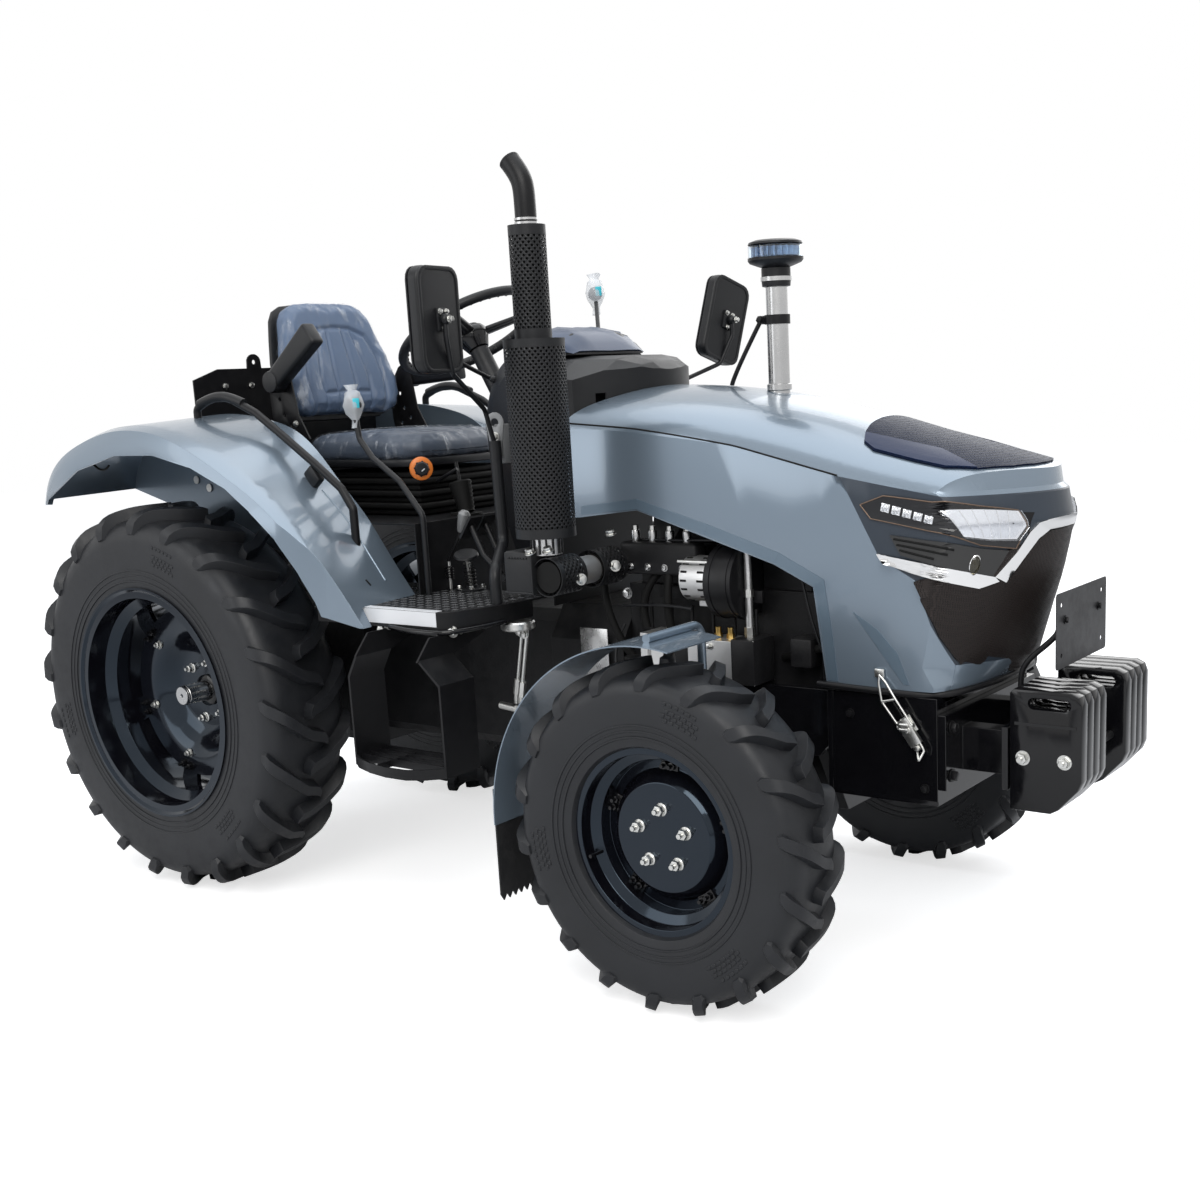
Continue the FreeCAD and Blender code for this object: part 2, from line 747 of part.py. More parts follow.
HOOD_STATIONS = (               # place, half width, seam height, crown height
    (rear_x + 1090, 269, 1296, 1380),
    (rear_x + 1400, 272, 1268, 1369),
    (front_x - 50, 270, 1232, 1342),
    (front_x + 245, 266, 1162, 1274),
    (front_x + 450, 258, 1128, 1216),
    (front_x + 600, 243, 1104, 1176),
    (front_x + 700, 232, 1086, 1140),
)
NOSE_LEVELS = (                 # height, reach ahead of the front axle, depth of the bow
    (600, 540, 80),
    (700, 552, 85),
    (745, 590, 150),
    (930, 648, 170),
    (1054, 675, 172),
    (1112, 664, 172),
    (1125, 650, 172),
    (1400, 610, 172),
)


def hood_section(x, half, seam, crown, inset):
    half, seam, crown = number(half) - inset, number(seam), number(crown) - inset
    rise = crown - seam
    low = 560 if inset else 600
    top = spline_edge([(x, -half, seam), (x, -half * 0.93, seam + rise * 0.3),
                       (x, -half * 0.62, seam + rise * 0.76), (x, 0, crown),
                       (x, half * 0.62, seam + rise * 0.76), (x, half * 0.93, seam + rise * 0.3),
                       (x, half, seam)])
    walls = [((-half, seam), (-half + 8, low)), ((-half + 8, low), (half - 8, low)),
             ((half - 8, low), (half, seam))]
    edges = [top] + [Part.LineSegment(vec(x, *a), vec(x, *b)).toShape() for a, b in walls]
    return Part.Wire(Part.__sortEdges__(edges))


def nose_section(z, reach, bow, inset):
    tip = number(front_x) + reach - inset
    back = number(rear_x) + 900
    wide = 300
    curve = spline_edge([(tip - bow * (y / 250) ** 2, y, z) for y in (-wide, -150, 0, 150, wide)])
    side = tip - bow * (wide / 250) ** 2
    sides = [((side, -wide), (back, -wide)), ((back, -wide), (back, wide)), ((back, wide), (side, wide))]
    edges = [curve] + [Part.LineSegment(vec(*a, z), vec(*b, z)).toShape() for a, b in sides]
    return Part.Wire(Part.__sortEdges__(edges))


def hood_form(inset):
    """Solid inside the hood's skin, smaller by inset all round except below and behind."""
    body = Part.makeLoft([hood_section(*s, inset) for s in HOOD_STATIONS], True, False)
    nose = Part.makeLoft([nose_section(*level, inset) for level in NOSE_LEVELS], True, True)
    return body.common(nose)


def behind_hood(back_off, low, high):
    """Upright prism of the space behind the hood's curved rear edge, where the cowl stands."""
    back = number(rear_x) - back_off
    curve = spline_edge([(back + x, y, low) for x, y in HOOD_EDGE])
    first, last = HOOD_EDGE[0], HOOD_EDGE[-1]
    far = back + 950
    sides = [((back + first[0], first[1]), (far, first[1])), ((far, first[1]), (far, last[1])),
             ((far, last[1]), (back + last[0], last[1]))]
    edges = [curve] + [Part.LineSegment(vec(*a, low), vec(*b, low)).toShape() for a, b in sides]
    return Part.Face(Part.Wire(Part.__sortEdges__(edges))).extrude(Vector(0, 0, high - low))


def hinge_pin(near, far, radius):
    return Part.makeCylinder(radius, far - near, vec(hinge_x, near, HINGE_Z), Vector(0, 1, 0))


def hood():
    """Hood skin cut along its seams into cover, sides, mask, lamps and lip."""
    wall = number(d.hood_wall)
    shell = hood_form(0).cut(hood_form(wall))
    back = rear_x + 1125
    low_edge = [(back - 60, 500), (back - 60, 1046), (rear_x + 1272, 1058), (front_x - 304, 1078),
                (front_x + 78, 960), (front_x + 179, 912), (front_x + 207, 690), (front_x + 900, 690),
                (front_x + 900, 500)]
    shell = shell.cut(plate(low_edge, "XZ", -400, 400))
    shell = shell.cut(slab(back - 80, back, -400, 400, 900, 1500))
    shell = shell.cut(behind_hood(0, 1297, 1500))
    pipe_hole = Part.makeCylinder(26 + number(d.seat_gap), 300, vec(rear_x + 1695, 0, 1200))
    seam = [(back - 60, 1297), (rear_x + 1263, 1283), (rear_x + 1731, 1230), (front_x + 255, 1160),
            (front_x + 499, 1116), (front_x + 900, 1114)]
    above = plate(seam + [(front_x + 900, 1600), (back - 60, 1600)], "XZ", -400, 400)
    mask = plate([seam[3], (front_x + 347, 984), (front_x + 430, 937), (front_x + 497, 745),
                  (front_x + 900, 745)] + seam[:3:-1], "XZ", -400, 400)
    lip = plate([(front_x + 497, 745), (front_x + 480, 600), (front_x + 900, 600), (front_x + 900, 745)],
                "XZ", -400, 400)
    lamp = plate([(front_x + 330, 1100), (front_x + 400, 1108), (front_x + 640, 1072), (front_x + 632, 1030),
                  (front_x + 560, 1022)], "XZ", -280, -95)
    lamps = joined(lamp, mirrored(lamp))
    front = shell.common(mask)
    sides = shell.cut(above).cut(mask).cut(lip)
    right, left = sorted(sides.Solids, key=lambda solid: solid.CenterOfMass.y)
    top = shell.common(above).cut(pipe_hole)
    hook = [(hinge_x + dx, HINGE_Z + dz) for dx, dz in (
        (-11, -4), (-11, 6), (-5, 12), (5, 12), (12, 5), (12, -4), (-18, -50), (-8, -57), (8, -57),
        (44, -54), (60, 0), (190, 0), (190, -70), (150, -92), (0, -76), (-30, -68), (-40, -50))]
    ahead = slab(hinge_x + 46, rear_x + 1500, -300, 300, 1200, 1500)
    for near, far in ((-192.5, -187.5), (187.5, 192.5)):
        arm = plate(hook, "XZ", near, far)
        arm = joined(arm.common(ahead).common(hood_form(1)), arm.cut(ahead))
        top = top.fuse(arm.cut(hinge_pin(near - 1, far + 1, 6 + number(d.pin_gap))))
    return {
        "hood_top": top.removeSplitter(),
        "hood_side_right": right,
        "hood_side_left": left,
        "grille_mask": front.cut(lamps),
        "headlamps": front.common(lamps),
        "hood_lip": shell.common(lip),
    }


for label, shape in hood().items():
    keep(free_piece(label, shape))


def air_intake():
    """Intake pipe through the hood, its collar, clamp band and dust bowl."""
    body = new_body("air_intake", rear_x + 1695, 0, 0)
    turned(body, "XZ", [(0, 1290), (26, 1290), (26, 1350), (31, 1350), (31, 1366), (26, 1366), (26, 1500),
                        (30, 1500), (30, 1524), (26, 1524), (26, 1634), (44, 1640), (67, 1652), (67, 1690),
                        (56, 1697), (0, 1697)], "V_Axis")
    return body


keep(air_intake())


# ---------------------------------------------------------------- dash and steering column

WHEEL_LEAN = math.radians(30)      # steering column from upright


def column(along):
    """Point on the steering column, measured down from the middle of the wheel."""
    return (rear_x + 690 + along * math.sin(WHEEL_LEAN), 0, 1536 - along * math.cos(WHEEL_LEAN))


def dashboard():
    """Console with the fixed tube of the steering column."""
    stations = (                # place, half width below, half width above, low, high
        (rear_x + 798, 80, 62, 1285, 1362),
        (rear_x + 868, 140, 118, 1130, 1412),
        (rear_x + 920, 160, 140, 1040, 1448),
        (rear_x + 1000, 195, 165, 900, 1494),
        (rear_x + 1053, 218, 172, 880, 1526),
        (rear_x + 1106, 240, 175, 860, 1518),
    )
    wires = []
    for x, wide, narrow, low, high in stations:
        corners = [(-wide, low), (wide, low), (wide, high - 70), (narrow, high - 14), (narrow * 0.6, high),
                   (-narrow * 0.6, high), (-narrow, high - 14), (-wide, high - 70)]
        wires.append(Part.makePolygon([vec(x, y, z) for y, z in corners + corners[:1]]))
    visor = []
    for x, wide, narrow, high in ((1106, 172, 105, 1518), (1140, 168, 100, 1509), (1172, 150, 86, 1474),
                                  (1182, 140, 80, 1458)):
        low = 1454.5
        corners = [(-wide, low), (wide, low), (wide, (low + high) / 2), (narrow, high), (-narrow, high),
                   (-wide, (low + high) / 2)]
        visor.append(Part.makePolygon([vec(rear_x + x, y, z) for y, z in corners + corners[:1]]))
    console = joined(Part.makeLoft(wires, True, True), Part.makeLoft(visor, True, True),
                     bar(column(60), column(330), 27))
    console = console.cut(bar(column(50), column(200), 17 + number(d.pin_gap)))
    return free_piece("dashboard", console.cut(slab(rear_x + 1100, rear_x + 1110, -300, 300, 800, 1385)))


def cowl_form(inset, low):
    """Instrument hood's outer form, or its hollow when inset is the wall."""
    stations = (                # place, half width, shoulder, half width above, top
        (rear_x + 1106.3, 248, 1400, 178, 1454),
        (rear_x + 1200, 248, 1398, 170, 1450),
        (rear_x + 1300, 235, 1386, 130, 1447),
        (rear_x + 1350, 215, 1372, 88, 1430),
        (rear_x + 1372, 203, 1362, 70, 1408),
        (rear_x + 1380, 200, 1358, 60, 1390),
    )
    wires = []
    for x, wide, shoulder, narrow, high in stations:
        wide, narrow = wide - inset, narrow - inset * 0.6
        half = [(wide, low), (wide, shoulder - inset), (narrow, high - 8 - inset), (narrow * 0.5, high - inset)]
        corners = [(-y, z) for y, z in half] + half[::-1]
        wires.append(Part.makePolygon([vec(x, y, z) for y, z in corners + corners[:1]]))
    return Part.makeLoft(wires, True, True).common(behind_hood(7 + inset * 1.25, low, 1600))


def cowl():
    """Instrument hood that carries on over the back of the engine hood."""
    shell = cowl_form(0, 1303).cut(cowl_form(4, 1300))
    for side in (-1, 1):
        y = side * 190
        shell = shell.cut(slab(hinge_x - 10, hinge_x + 60, y - 11, y + 11, 1300, HINGE_Z - 30))
    return free_piece("instrument_cowl", shell)


def firewall():
    """Bulkhead between engine and driver, with the two ears that carry the hood's hinge pins."""
    body = new_body("firewall")
    base = d.platform_height + d.seat_gap
    pad(body, "YZ", [(-195, 815.3), (195, 815.3), (195, base), (250, base), (250, 1384.7), (-250, 1384.7),
                     (-250, base), (-195, base)], rear_x + 1100 + d.seat_gap, rear_x + 1106)
    for near, far, end in ((-187, -181, -195), (181, 187, 195)):
        pad(body, "XZ", [(rear_x + 1106, 1340), (hinge_x, HINGE_Z - 14), (hinge_x + 11, HINGE_Z - 8),
                         (hinge_x + 11, HINGE_Z + 8), (hinge_x, HINGE_Z + 13), (rear_x + 1106, 1384.7)],
            near, far)
        boss(body, "XZ", (hinge_x, HINGE_Z), 6, min(near, end), max(far, end))
    return body


keep(dashboard())
keep(cowl())
keep(firewall())


def steering_wheel():
    """Rim, three spokes and hub, tilted back towards the seat, on the end of the column."""
    ring = Part.makeTorus(number(d.steering_wheel_radius) - 13, 13)
    hub = Part.makeCone(26, 36, 50, Vector(0, 0, -54))
    shaft = Part.makeCylinder(17, 150, Vector(0, 0, -190))
    spokes = [bar((0, 0, -14), (math.cos(math.radians(turn)) * 200, math.sin(math.radians(turn)) * 200, 0), 9)
              for turn in (60, 180, 300)]
    whole = joined(ring, hub, shaft, *spokes)
    piece = free_piece("steering_wheel", whole)
    turn = FreeCAD.Rotation(Vector(0, 1, 0), -math.degrees(WHEEL_LEAN))
    piece.Placement = FreeCAD.Placement(vec(*column(0)), turn)
    return piece


keep(steering_wheel())


# ---------------------------------------------------------------- driver's place

fender_foot = number(d.platform_height - rear_z + d.seat_gap)      # above the rear hub
fender_scale = number(d.rear_tyre_radius) / 552.5                  # the outline follows the tyre's size
FENDER_INNER = [(-430, 575), (-350, 690), (-215, 750), (-60, 783), (100, 787), (235, 768), (345, 733),
                (425, 674), (503, 592), (584, 511), (667, 403)]
FENDER_SHOULDER = [(-415, 570), (-340, 675), (-210, 735), (-60, 768), (90, 768), (200, 747), (330, 697),
                   (443, 638), (564, 564), (649, 491), (730, 398)]
FENDER_FOOT = [(750, 0, 797), (786, -48, 826)]      # inner side, height from the footboard, shoulder


def fender_wire(y, inset):
    """Side view of the rear fender's top at one width, drawn in towards the hub by inset."""
    share = (-number(y + d.fender_inner)) / (number(d.fender_outer - d.fender_inner) - 46)
    top = [(fender_scale * (a[0] + (b[0] - a[0]) * share), fender_scale * (a[1] + (b[1] - a[1]) * share))
           for a, b in zip(FENDER_INNER, FENDER_SHOULDER)]
    top += [(fender_scale * (near + (far - near) * share), fender_foot + dz) for near, dz, far in FENDER_FOOT]
    points = []
    for dx, dz in top:
        shrink = 1 - inset / math.hypot(dx, dz)
        points.append((rear_x + dx * shrink, y, rear_z + dz * shrink))
    low = -60 if inset else -2
    start, end = points[0], points[-1]
    below = [(end[0], y, end[2] + low), (start[0], y, start[2] + low)]
    edges = [spline_edge(points)]
    for a, b in ((end, below[0]), (below[0], below[1]), (below[1], start)):
        edges.append(Part.LineSegment(vec(*a), vec(*b)).toShape())
    return Part.Wire(Part.__sortEdges__(edges))


def fender_form(inset, start, end):
    """Solid under the rear fender's top, smaller by inset, narrower towards the footboard."""
    straight = Part.makeLoft([fender_wire(start, inset), fender_wire(end + 46, inset)], True, True)
    shoulder = Part.makeLoft([fender_wire(end + 46, inset), fender_wire(end + 16, inset + 10),
                              fender_wire(end, inset + 42)], True, True)
    flank = -d.fender_outer + inset
    plan = [(-700, 200), (-700, flank - 50), (515, flank - 50), (515, flank), (600, flank + 14),
            (660, flank + 34), (715, flank + 58), (830, flank + 86), (1100, flank + 110), (1100, 200)]
    return joined(straight, shoulder).common(plate([(rear_x + dx, y) for dx, y in plan], "XY", 0, 2500))


def rear_fender():
    """Right fender: top, rounded shoulder and outer skirt over the wheel, inner wall by the seat."""
    inner, outer = -d.fender_inner, -d.fender_outer
    wall = number(d.fender_wall)
    shell = fender_form(0, inner, outer).cut(fender_form(wall, inner - wall, outer + wall))
    skirt = [(-440, 540), (-384, 562), (-208, 652), (-22, 693), (147, 693), (302, 660), (430, 606),
             (520, 550), (594, 480), (650, 394), (688, 318)]
    skirt = [(dx * fender_scale, dz * fender_scale) for dx, dz in skirt]
    skirt += [(710 * fender_scale, fender_foot - 46), (900 * fender_scale, fender_foot - 46),
              (900 * fender_scale, 100), (-440 * fender_scale, 100)]
    below = plate([(rear_x + dx, rear_z + dz) for dx, dz in skirt], "XZ", outer - 20, inner - wall)
    board = slab(rear_x + 550, rear_x + 1100, -d.platform_half - 12, inner + 1, d.platform_height - 200,
                 d.platform_height + d.seat_gap)
    return free_piece("rear_fender_right", shell.cut(below).cut(board))


right_fender = keep(rear_fender())
keep(left_copy("rear_fender_left", right_fender))


def handrail():
    """Rail over the right fender, with both ends bent down onto it."""
    y = -450
    route = [(46, 762), (46, 808), (108, 834), (186, 836), (300, 790), (394, 732), (516, 654), (612, 588),
             (650, 535), (650, 400)]
    rail = bent_bar([(rear_x + dx * fender_scale, y, rear_z + dz * fender_scale) for dx, dz in route], 11, 18)
    under = fender_form(-number(d.seat_gap), -d.fender_inner, -d.fender_outer)
    return free_piece("handrail_right", rail.cut(under))


def seat_deck():
    """Sheet deck between the fenders, over the lift cover, with its front wall."""
    half = d.fender_inner - d.seat_gap
    top = deck_top
    body = new_body("seat_deck")
    back, front = rear_x - 95, rear_x + 770
    pad(body, "XY", rect(back, front, -half, half), top - 5, top)
    base = d.platform_height + d.seat_gap
    pad(body, "YZ", [(-145, 795), (145, 795), (145, base), (half, base), (half, top - 5), (-half, top - 5),
                     (-half, base), (-145, base)], front - 5, front)
    return body


def platform():
    """Right footboard: chequered sheet with a curved front and a folded rim all along its edge."""
    body = new_body("platform_right")
    top = d.platform_height
    inner, outer = -205, -d.platform_half
    back = rear_x + d.rear_tyre_radius + 47.5
    pad(body, "XY", [(back, inner), (back, outer), (rear_x + 1035, outer), (rear_x + 1062, outer + 25),
                     (rear_x + 1083, outer + 78), (rear_x + 1104, outer + 135), (rear_x + 1115, outer + 195),
                     (rear_x + 1120, outer + 260), (rear_x + 1120, inner)], top - 5, top)
    pad(body, "XY", [(back, outer + 5), (back, outer), (rear_x + 1035, outer), (rear_x + 1062, outer + 25),
                     (rear_x + 1083, outer + 78), (rear_x + 1104, outer + 135), (rear_x + 1115, outer + 195),
                     (rear_x + 1120, outer + 260), (rear_x + 1115, outer + 260), (rear_x + 1110, outer + 196),
                     (rear_x + 1099, outer + 137), (rear_x + 1078, outer + 80), (rear_x + 1058, outer + 28),
                     (rear_x + 1033, outer + 5)], top - 46, top - 5)
    return body


def step():
    """Right step: two flat hangers bent under the footboard, and an open tread bowed outwards."""
    body = new_body("step_right")
    top = d.platform_height - 5 - d.seat_gap
    outer = -d.platform_half - 84
    near, far = rear_x + 790, rear_x + 1111
    pad(body, "XZ", [(near, 458), (near + 6, 458), (near + 6, top - 160), (near + 40, top - 102),
                     (near + 34, top - 99), (near, top - 156)], outer, outer + 118)
    pad(body, "XZ", [(far - 6, 458), (far, 458), (far, top - 156), (far - 65, top - 99),
                     (far - 71, top - 102), (far - 6, top - 160)], outer, outer + 118)
    for hanger in (near + 34, far - 71):
        pad(body, "YZ", [(outer - 4, top - 103), (outer + 44, top - 50), (outer + 114, top - 50), (outer + 114, top),
                         (outer + 236, top), (outer + 236, top - 66), (outer + 118, top - 103)], hanger, hanger + 6)
    pad(body, "XY", [(near + 3, outer), (near + 35, outer - 22), (near + 100, outer - 45),
                     (near + 168, outer - 58), (near + 236, outer - 56), (near + 282, outer - 34),
                     (far - 3, outer), (far - 3, outer + 7), (near + 279, outer - 29),
                     (near + 234, outer - 51), (near + 168, outer - 53), (near + 102, outer - 40),
                     (near + 37, outer - 17), (near + 3, outer + 6)], 458, 484)
    pad(body, "XY", rect(near + 3, far - 3, outer + 106, outer + 111), 458, 484)
    for y in (16, 47, 78):
        pad(body, "XY", rect(near + 3, far - 3, outer + y, outer + y + 4), 462, 482)
    pad(body, "XY", rect(near + 104, near + 110, outer - 41, outer + 108), 460, 476)
    return body


keep(both_sides("handrails", handrail()))
keep(seat_deck())
keep(both_sides("platforms", platform()))
keep(both_sides("steps", step()))


def seat_base():
    body = new_body("seat_base")
    low = deck_top + d.seat_gap
    pad(body, "XY", rect(rear_x + 190, rear_x + 640, -190, 190), low, low + 128)
    return body


def seat_cushion():
    body = new_body("seat_cushion")
    low = deck_top + d.seat_gap + 128 + d.seat_gap
    pad(body, "XY", rect(rear_x + 165, rear_x + 660, -232, 232), low, d.cushion_height + rise + 12)
    rounded(body, 28, lambda edge: abs(edge.tangentAt(edge.FirstParameter).z) > 0.9)
    return body


def seat_back():
    body = new_body("seat_back")
    pad(body, "XZ", [(rear_x + 110, rise + 1300), (rear_x + 215, rise + 1292), (rear_x + 130, rise + 1600),
                     (rear_x + 80, rise + 1667), (rear_x + 30, rise + 1655), (rear_x + 28, rise + 1600)],
        -225, 225)
    boss(body, "XZ", (rear_x + 165, rise + 1340), 16, -232, 232)
    return body


def seat_frame():
    """Side plates that join cushion and back, and the two armrests."""
    body = new_body("seat_frame_right")
    pad(body, "XZ", [(rear_x + 120, rise + 1240), (rear_x + 260, rise + 1225), (rear_x + 230, rise + 1330),
                     (rear_x + 195, rise + 1450), (rear_x + 150, rise + 1450), (rear_x + 110, rise + 1400)],
        -240, -232.3)
    pad(body, "XZ", [(rear_x + 150, rise + 1440), (rear_x + 180, rise + 1400), (rear_x + 400, rise + 1490),
                     (rear_x + 395, rise + 1540)], -292, -240)
    return body


keep(seat_base())
keep(seat_cushion())
keep(seat_back())
keep(both_sides("armrests", seat_frame()))


def rear_panel():
    """Plate behind the seat that stands on the fenders' inner walls."""
    body = new_body("rear_panel")
    x = rear_x - 90
    half = d.fender_inner - d.seat_gap
    low = deck_top + d.seat_gap
    pad(body, "YZ", [(-half, low), (half, low), (half, low + 400), (260, low + 430), (-260, low + 430),
                     (-half, low + 400)], x - 5, x)
    return body


def mirror(lean, turn):
    """Right mirror: grab tube on the footboard, bent stalk, ball joint and head with round corners."""
    x, y, z = rear_x + 1140, -594, 1542
    floor = d.platform_height
    tube = bent_bar([(rear_x + 1082, -392, floor + d.seat_gap), (rear_x + 1082, -392, floor + 80),
                     (rear_x + 1020, -285, floor + 140), (rear_x + 1015, -285, 1250)], 15, 40)
    stalk = bent_bar([(rear_x + 1015, -285, 1240), (rear_x + 1030, -330, 1330), (rear_x + 1150, -560, 1420),
                      (x + 32, y, 1500), (x + 32, y, z)], 6, 30)
    head = slab(-17, 17, -76, 76, -120, 120)
    head = head.makeFillet(32, [e for e in head.Edges if abs(e.tangentAt(e.FirstParameter).x) > 0.9])
    head = head.makeFillet(11, [e for e in head.Edges if e.BoundBox.XLength < 1])
    head.rotate(Vector(0, 0, 0), Vector(1, 0, 0), lean)
    head.rotate(Vector(0, 0, 0), Vector(0, 0, 1), turn)
    head.translate(vec(x, y, z))
    joint = bar((x + 12, y, z), (x + 32, y, z), 8)
    return joined(tube, stalk, head, joint, Part.makeSphere(13, vec(x + 32, y, z)))


def levers():
    shapes = [bent_bar([(rear_x + 786, -334, d.platform_height + 0.3), (rear_x + 786, -334, rise + 1062),
                        (rear_x + 706, -330, rise + 1150), (rear_x + 606, -326, rise + 1212),
                        (rear_x + 560, -324, rise + 1262), (rear_x + 548, -323, rise + 1340)], 8, 30),
              Part.makeSphere(24, vec(rear_x + 547, -323, rise + 1352))]
    shapes += [bent_bar([(rear_x + 1000, 140, 1489.2), (rear_x + 1000, 145, 1508), (rear_x + 975, 215, 1530),
                         (rear_x + 905, 300, 1620)], 6, 10),
               Part.makeSphere(20, vec(rear_x + 903, 300, 1629))]
    return free_piece("control_levers", joined(*shapes))


keep(rear_panel())
keep(free_piece("mirrors", Part.makeCompound([mirror(0, 8), mirrored(mirror(19, 8))])))
keep(levers())


# ---------------------------------------------------------------- hitch

arm_out = d.link_half - 7                   # outer face of the lift arms
rod_near, rod_far = d.link_half + 13, d.link_half + 31


def hanging(length, near, far):
    """Tapered strip from a pivot at the origin, hanging back at the linkage's slope."""
    tip = (-length * link_back, -length * link_down)
    across = (-link_down, link_back)
    return [(across[0] * near, across[1] * near), (tip[0] + across[0] * far, tip[1] + across[1] * far),
            (tip[0] - across[0] * far, tip[1] - across[1] * far), (-across[0] * near, -across[1] * near)]


def both_ways(make, near, far):
    """Calls make for the span near..far on the left and for its mirror image on the right."""
    make(near, far)
    make(-far, -near)


def lift_arms():
    """Rockshaft across the lift cover with an arm and a rod pin at each end."""
    body = new_body("lift_arms", lift_x, 0, lift_z)
    boss(body, "XZ", (0, 0), ROCKSHAFT, -arm_out, arm_out)
    tip = (-d.lift_arm * link_back, -d.lift_arm * link_down)
    both_ways(lambda a, b: boss(body, "XZ", (0, 0), 42, a, b), arm_out - 20, arm_out)
    both_ways(lambda a, b: pad(body, "XZ", hanging(d.lift_arm, 36, 20), a, b), arm_out - 18, arm_out)
    both_ways(lambda a, b: boss(body, "XZ", tip, 22, a, b), arm_out - 18, arm_out)
    both_ways(lambda a, b: boss(body, "XZ", tip, 11, a, b), arm_out, rod_far + 6)
    return body


def lift_rods():
    """Two upright rods with an eye over the arm's pin and a wide eye round the link's pin."""
    top = (-d.lift_arm * link_back, -d.lift_arm * link_down)
    body = new_body("lift_rods", lift_x, 0, lift_z)
    low = (link_x - lift_x - d.lower_link_rod * link_back, link_z - lift_z - d.lower_link_rod * link_down)
    both_ways(lambda a, b: boss(body, "XZ", top, 21, a, b), rod_near, rod_far)
    both_ways(lambda a, b: boss(body, "XZ", low, 27, a, b), rod_near, rod_far)
    both_ways(lambda a, b: pad(body, "XZ", [(top[0] - 11, top[1]), (low[0] - 11, low[1]), (low[0] + 11, low[1]),
                                            (top[0] + 11, top[1])], a, b), rod_near, rod_far)
    both_ways(lambda a, b: bore(body, "XZ", top, 11.5, a, b), rod_near - 1, rod_far + 1)
    both_ways(lambda a, b: bore(body, "XZ", low, 16, a, b), rod_near - 1, rod_far + 1)
    return body


def lower_links():
    """Two links from the axle brackets to the balls that carry an implement."""
    body = new_body("lower_links", link_x, 0, link_z)
    near, far = d.link_half - 8, d.link_half + 8
    end = (-d.lower_link * link_back, -d.lower_link * link_down)
    rod = (-d.lower_link_rod * link_back, -d.lower_link_rod * link_down)
    both_ways(lambda a, b: boss(body, "XZ", (0, 0), 24, a, b), near, far)
    both_ways(lambda a, b: pad(body, "XZ", hanging(d.lower_link, 20, 20), a, b), near, far)
    both_ways(lambda a, b: boss(body, "XZ", end, BALL, a, b), near - 4, far + 4)
    both_ways(lambda a, b: boss(body, "XZ", rod, 10, a, b), far, rod_far + 6)
    both_ways(lambda a, b: bore(body, "XZ", (0, 0), 12 + d.pin_gap, a, b), near - 1, far + 1)
    both_ways(lambda a, b: bore(body, "XZ", end, LOWER_LINK_PIN, a, b), near - 5, far + 5)
    return body


def drawbar():
    """Flat bar under the axle housing with a hitch pin hole."""
    body = new_body("drawbar")
    low = rear_z - 205 - d.seat_gap
    pad(body, "XY", [(rear_x + 60, -35), (rear_x + 60, 35), (rear_x - 330, 35), (rear_x - 345, 20),
                     (rear_x - 345, -20), (rear_x - 330, -35)], low - 25, low)
    bore(body, "XY", (rear_x - 305, 0), 13, low - 26, low + 1)
    return body


keep(lift_arms())
keep(lift_rods())
keep(lower_links())
keep(drawbar())


# ---------------------------------------------------------------- pedals

def pedals():
    """Two brake pedals on the right and the clutch pedal on the left, on their brackets."""
    shapes = []
    floor = number(d.platform_height)
    for y in (-268, -322, 268):
        inward = 236 if y > 0 else -236
        arm = bent_bar([(rear_x + 1050, y, floor + 55), (rear_x + 985, y, floor + 110),
                        (rear_x + 946, y, floor + 186)], 8, 40)
        face = plate([(rear_x + 922, floor + 158), (rear_x + 928, floor + 154), (rear_x + 968, floor + 208),
                      (rear_x + 962, floor + 212)], "XZ", y - 24, y + 24)
        shaft = bar((rear_x + 1050, inward, floor + 55), (rear_x + 1050, y + (8 if y > 0 else -8), floor + 55), 10)
        shapes += [arm, face, shaft]
    for near, far in ((-242, -236), (236, 242)):
        shapes.append(slab(rear_x + 1030, rear_x + 1070, near, far, floor + d.seat_gap, floor + 75))
    return free_piece("pedals", joined(*shapes))


keep(pedals())

doc.recompute()


# ---------------------------------------------------------------- checks and files

for item in doc.Objects:
    if "Invalid" in item.State or "Error" in item.State:
        raise RuntimeError("%s failed to build" % item.Label)
for piece in nodes:
    if piece.Shape.isNull() or not piece.Shape.isValid():
        raise RuntimeError("%s has no valid shape" % piece.Label)

os.makedirs("parts", exist_ok=True)
for piece in nodes:
    piece.Shape.exportStep("parts/%s.step" % piece.Label)
    print("%-22s %2d solids %9.0f cm3" % (piece.Label, len(piece.Shape.Solids), piece.Shape.Volume / 1000))
print(len(nodes), "nodes")
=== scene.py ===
import bpy
import bmesh
import json
import math
import random
from mathutils import Matrix, Vector, noise
from mathutils.bvhtree import BVHTree

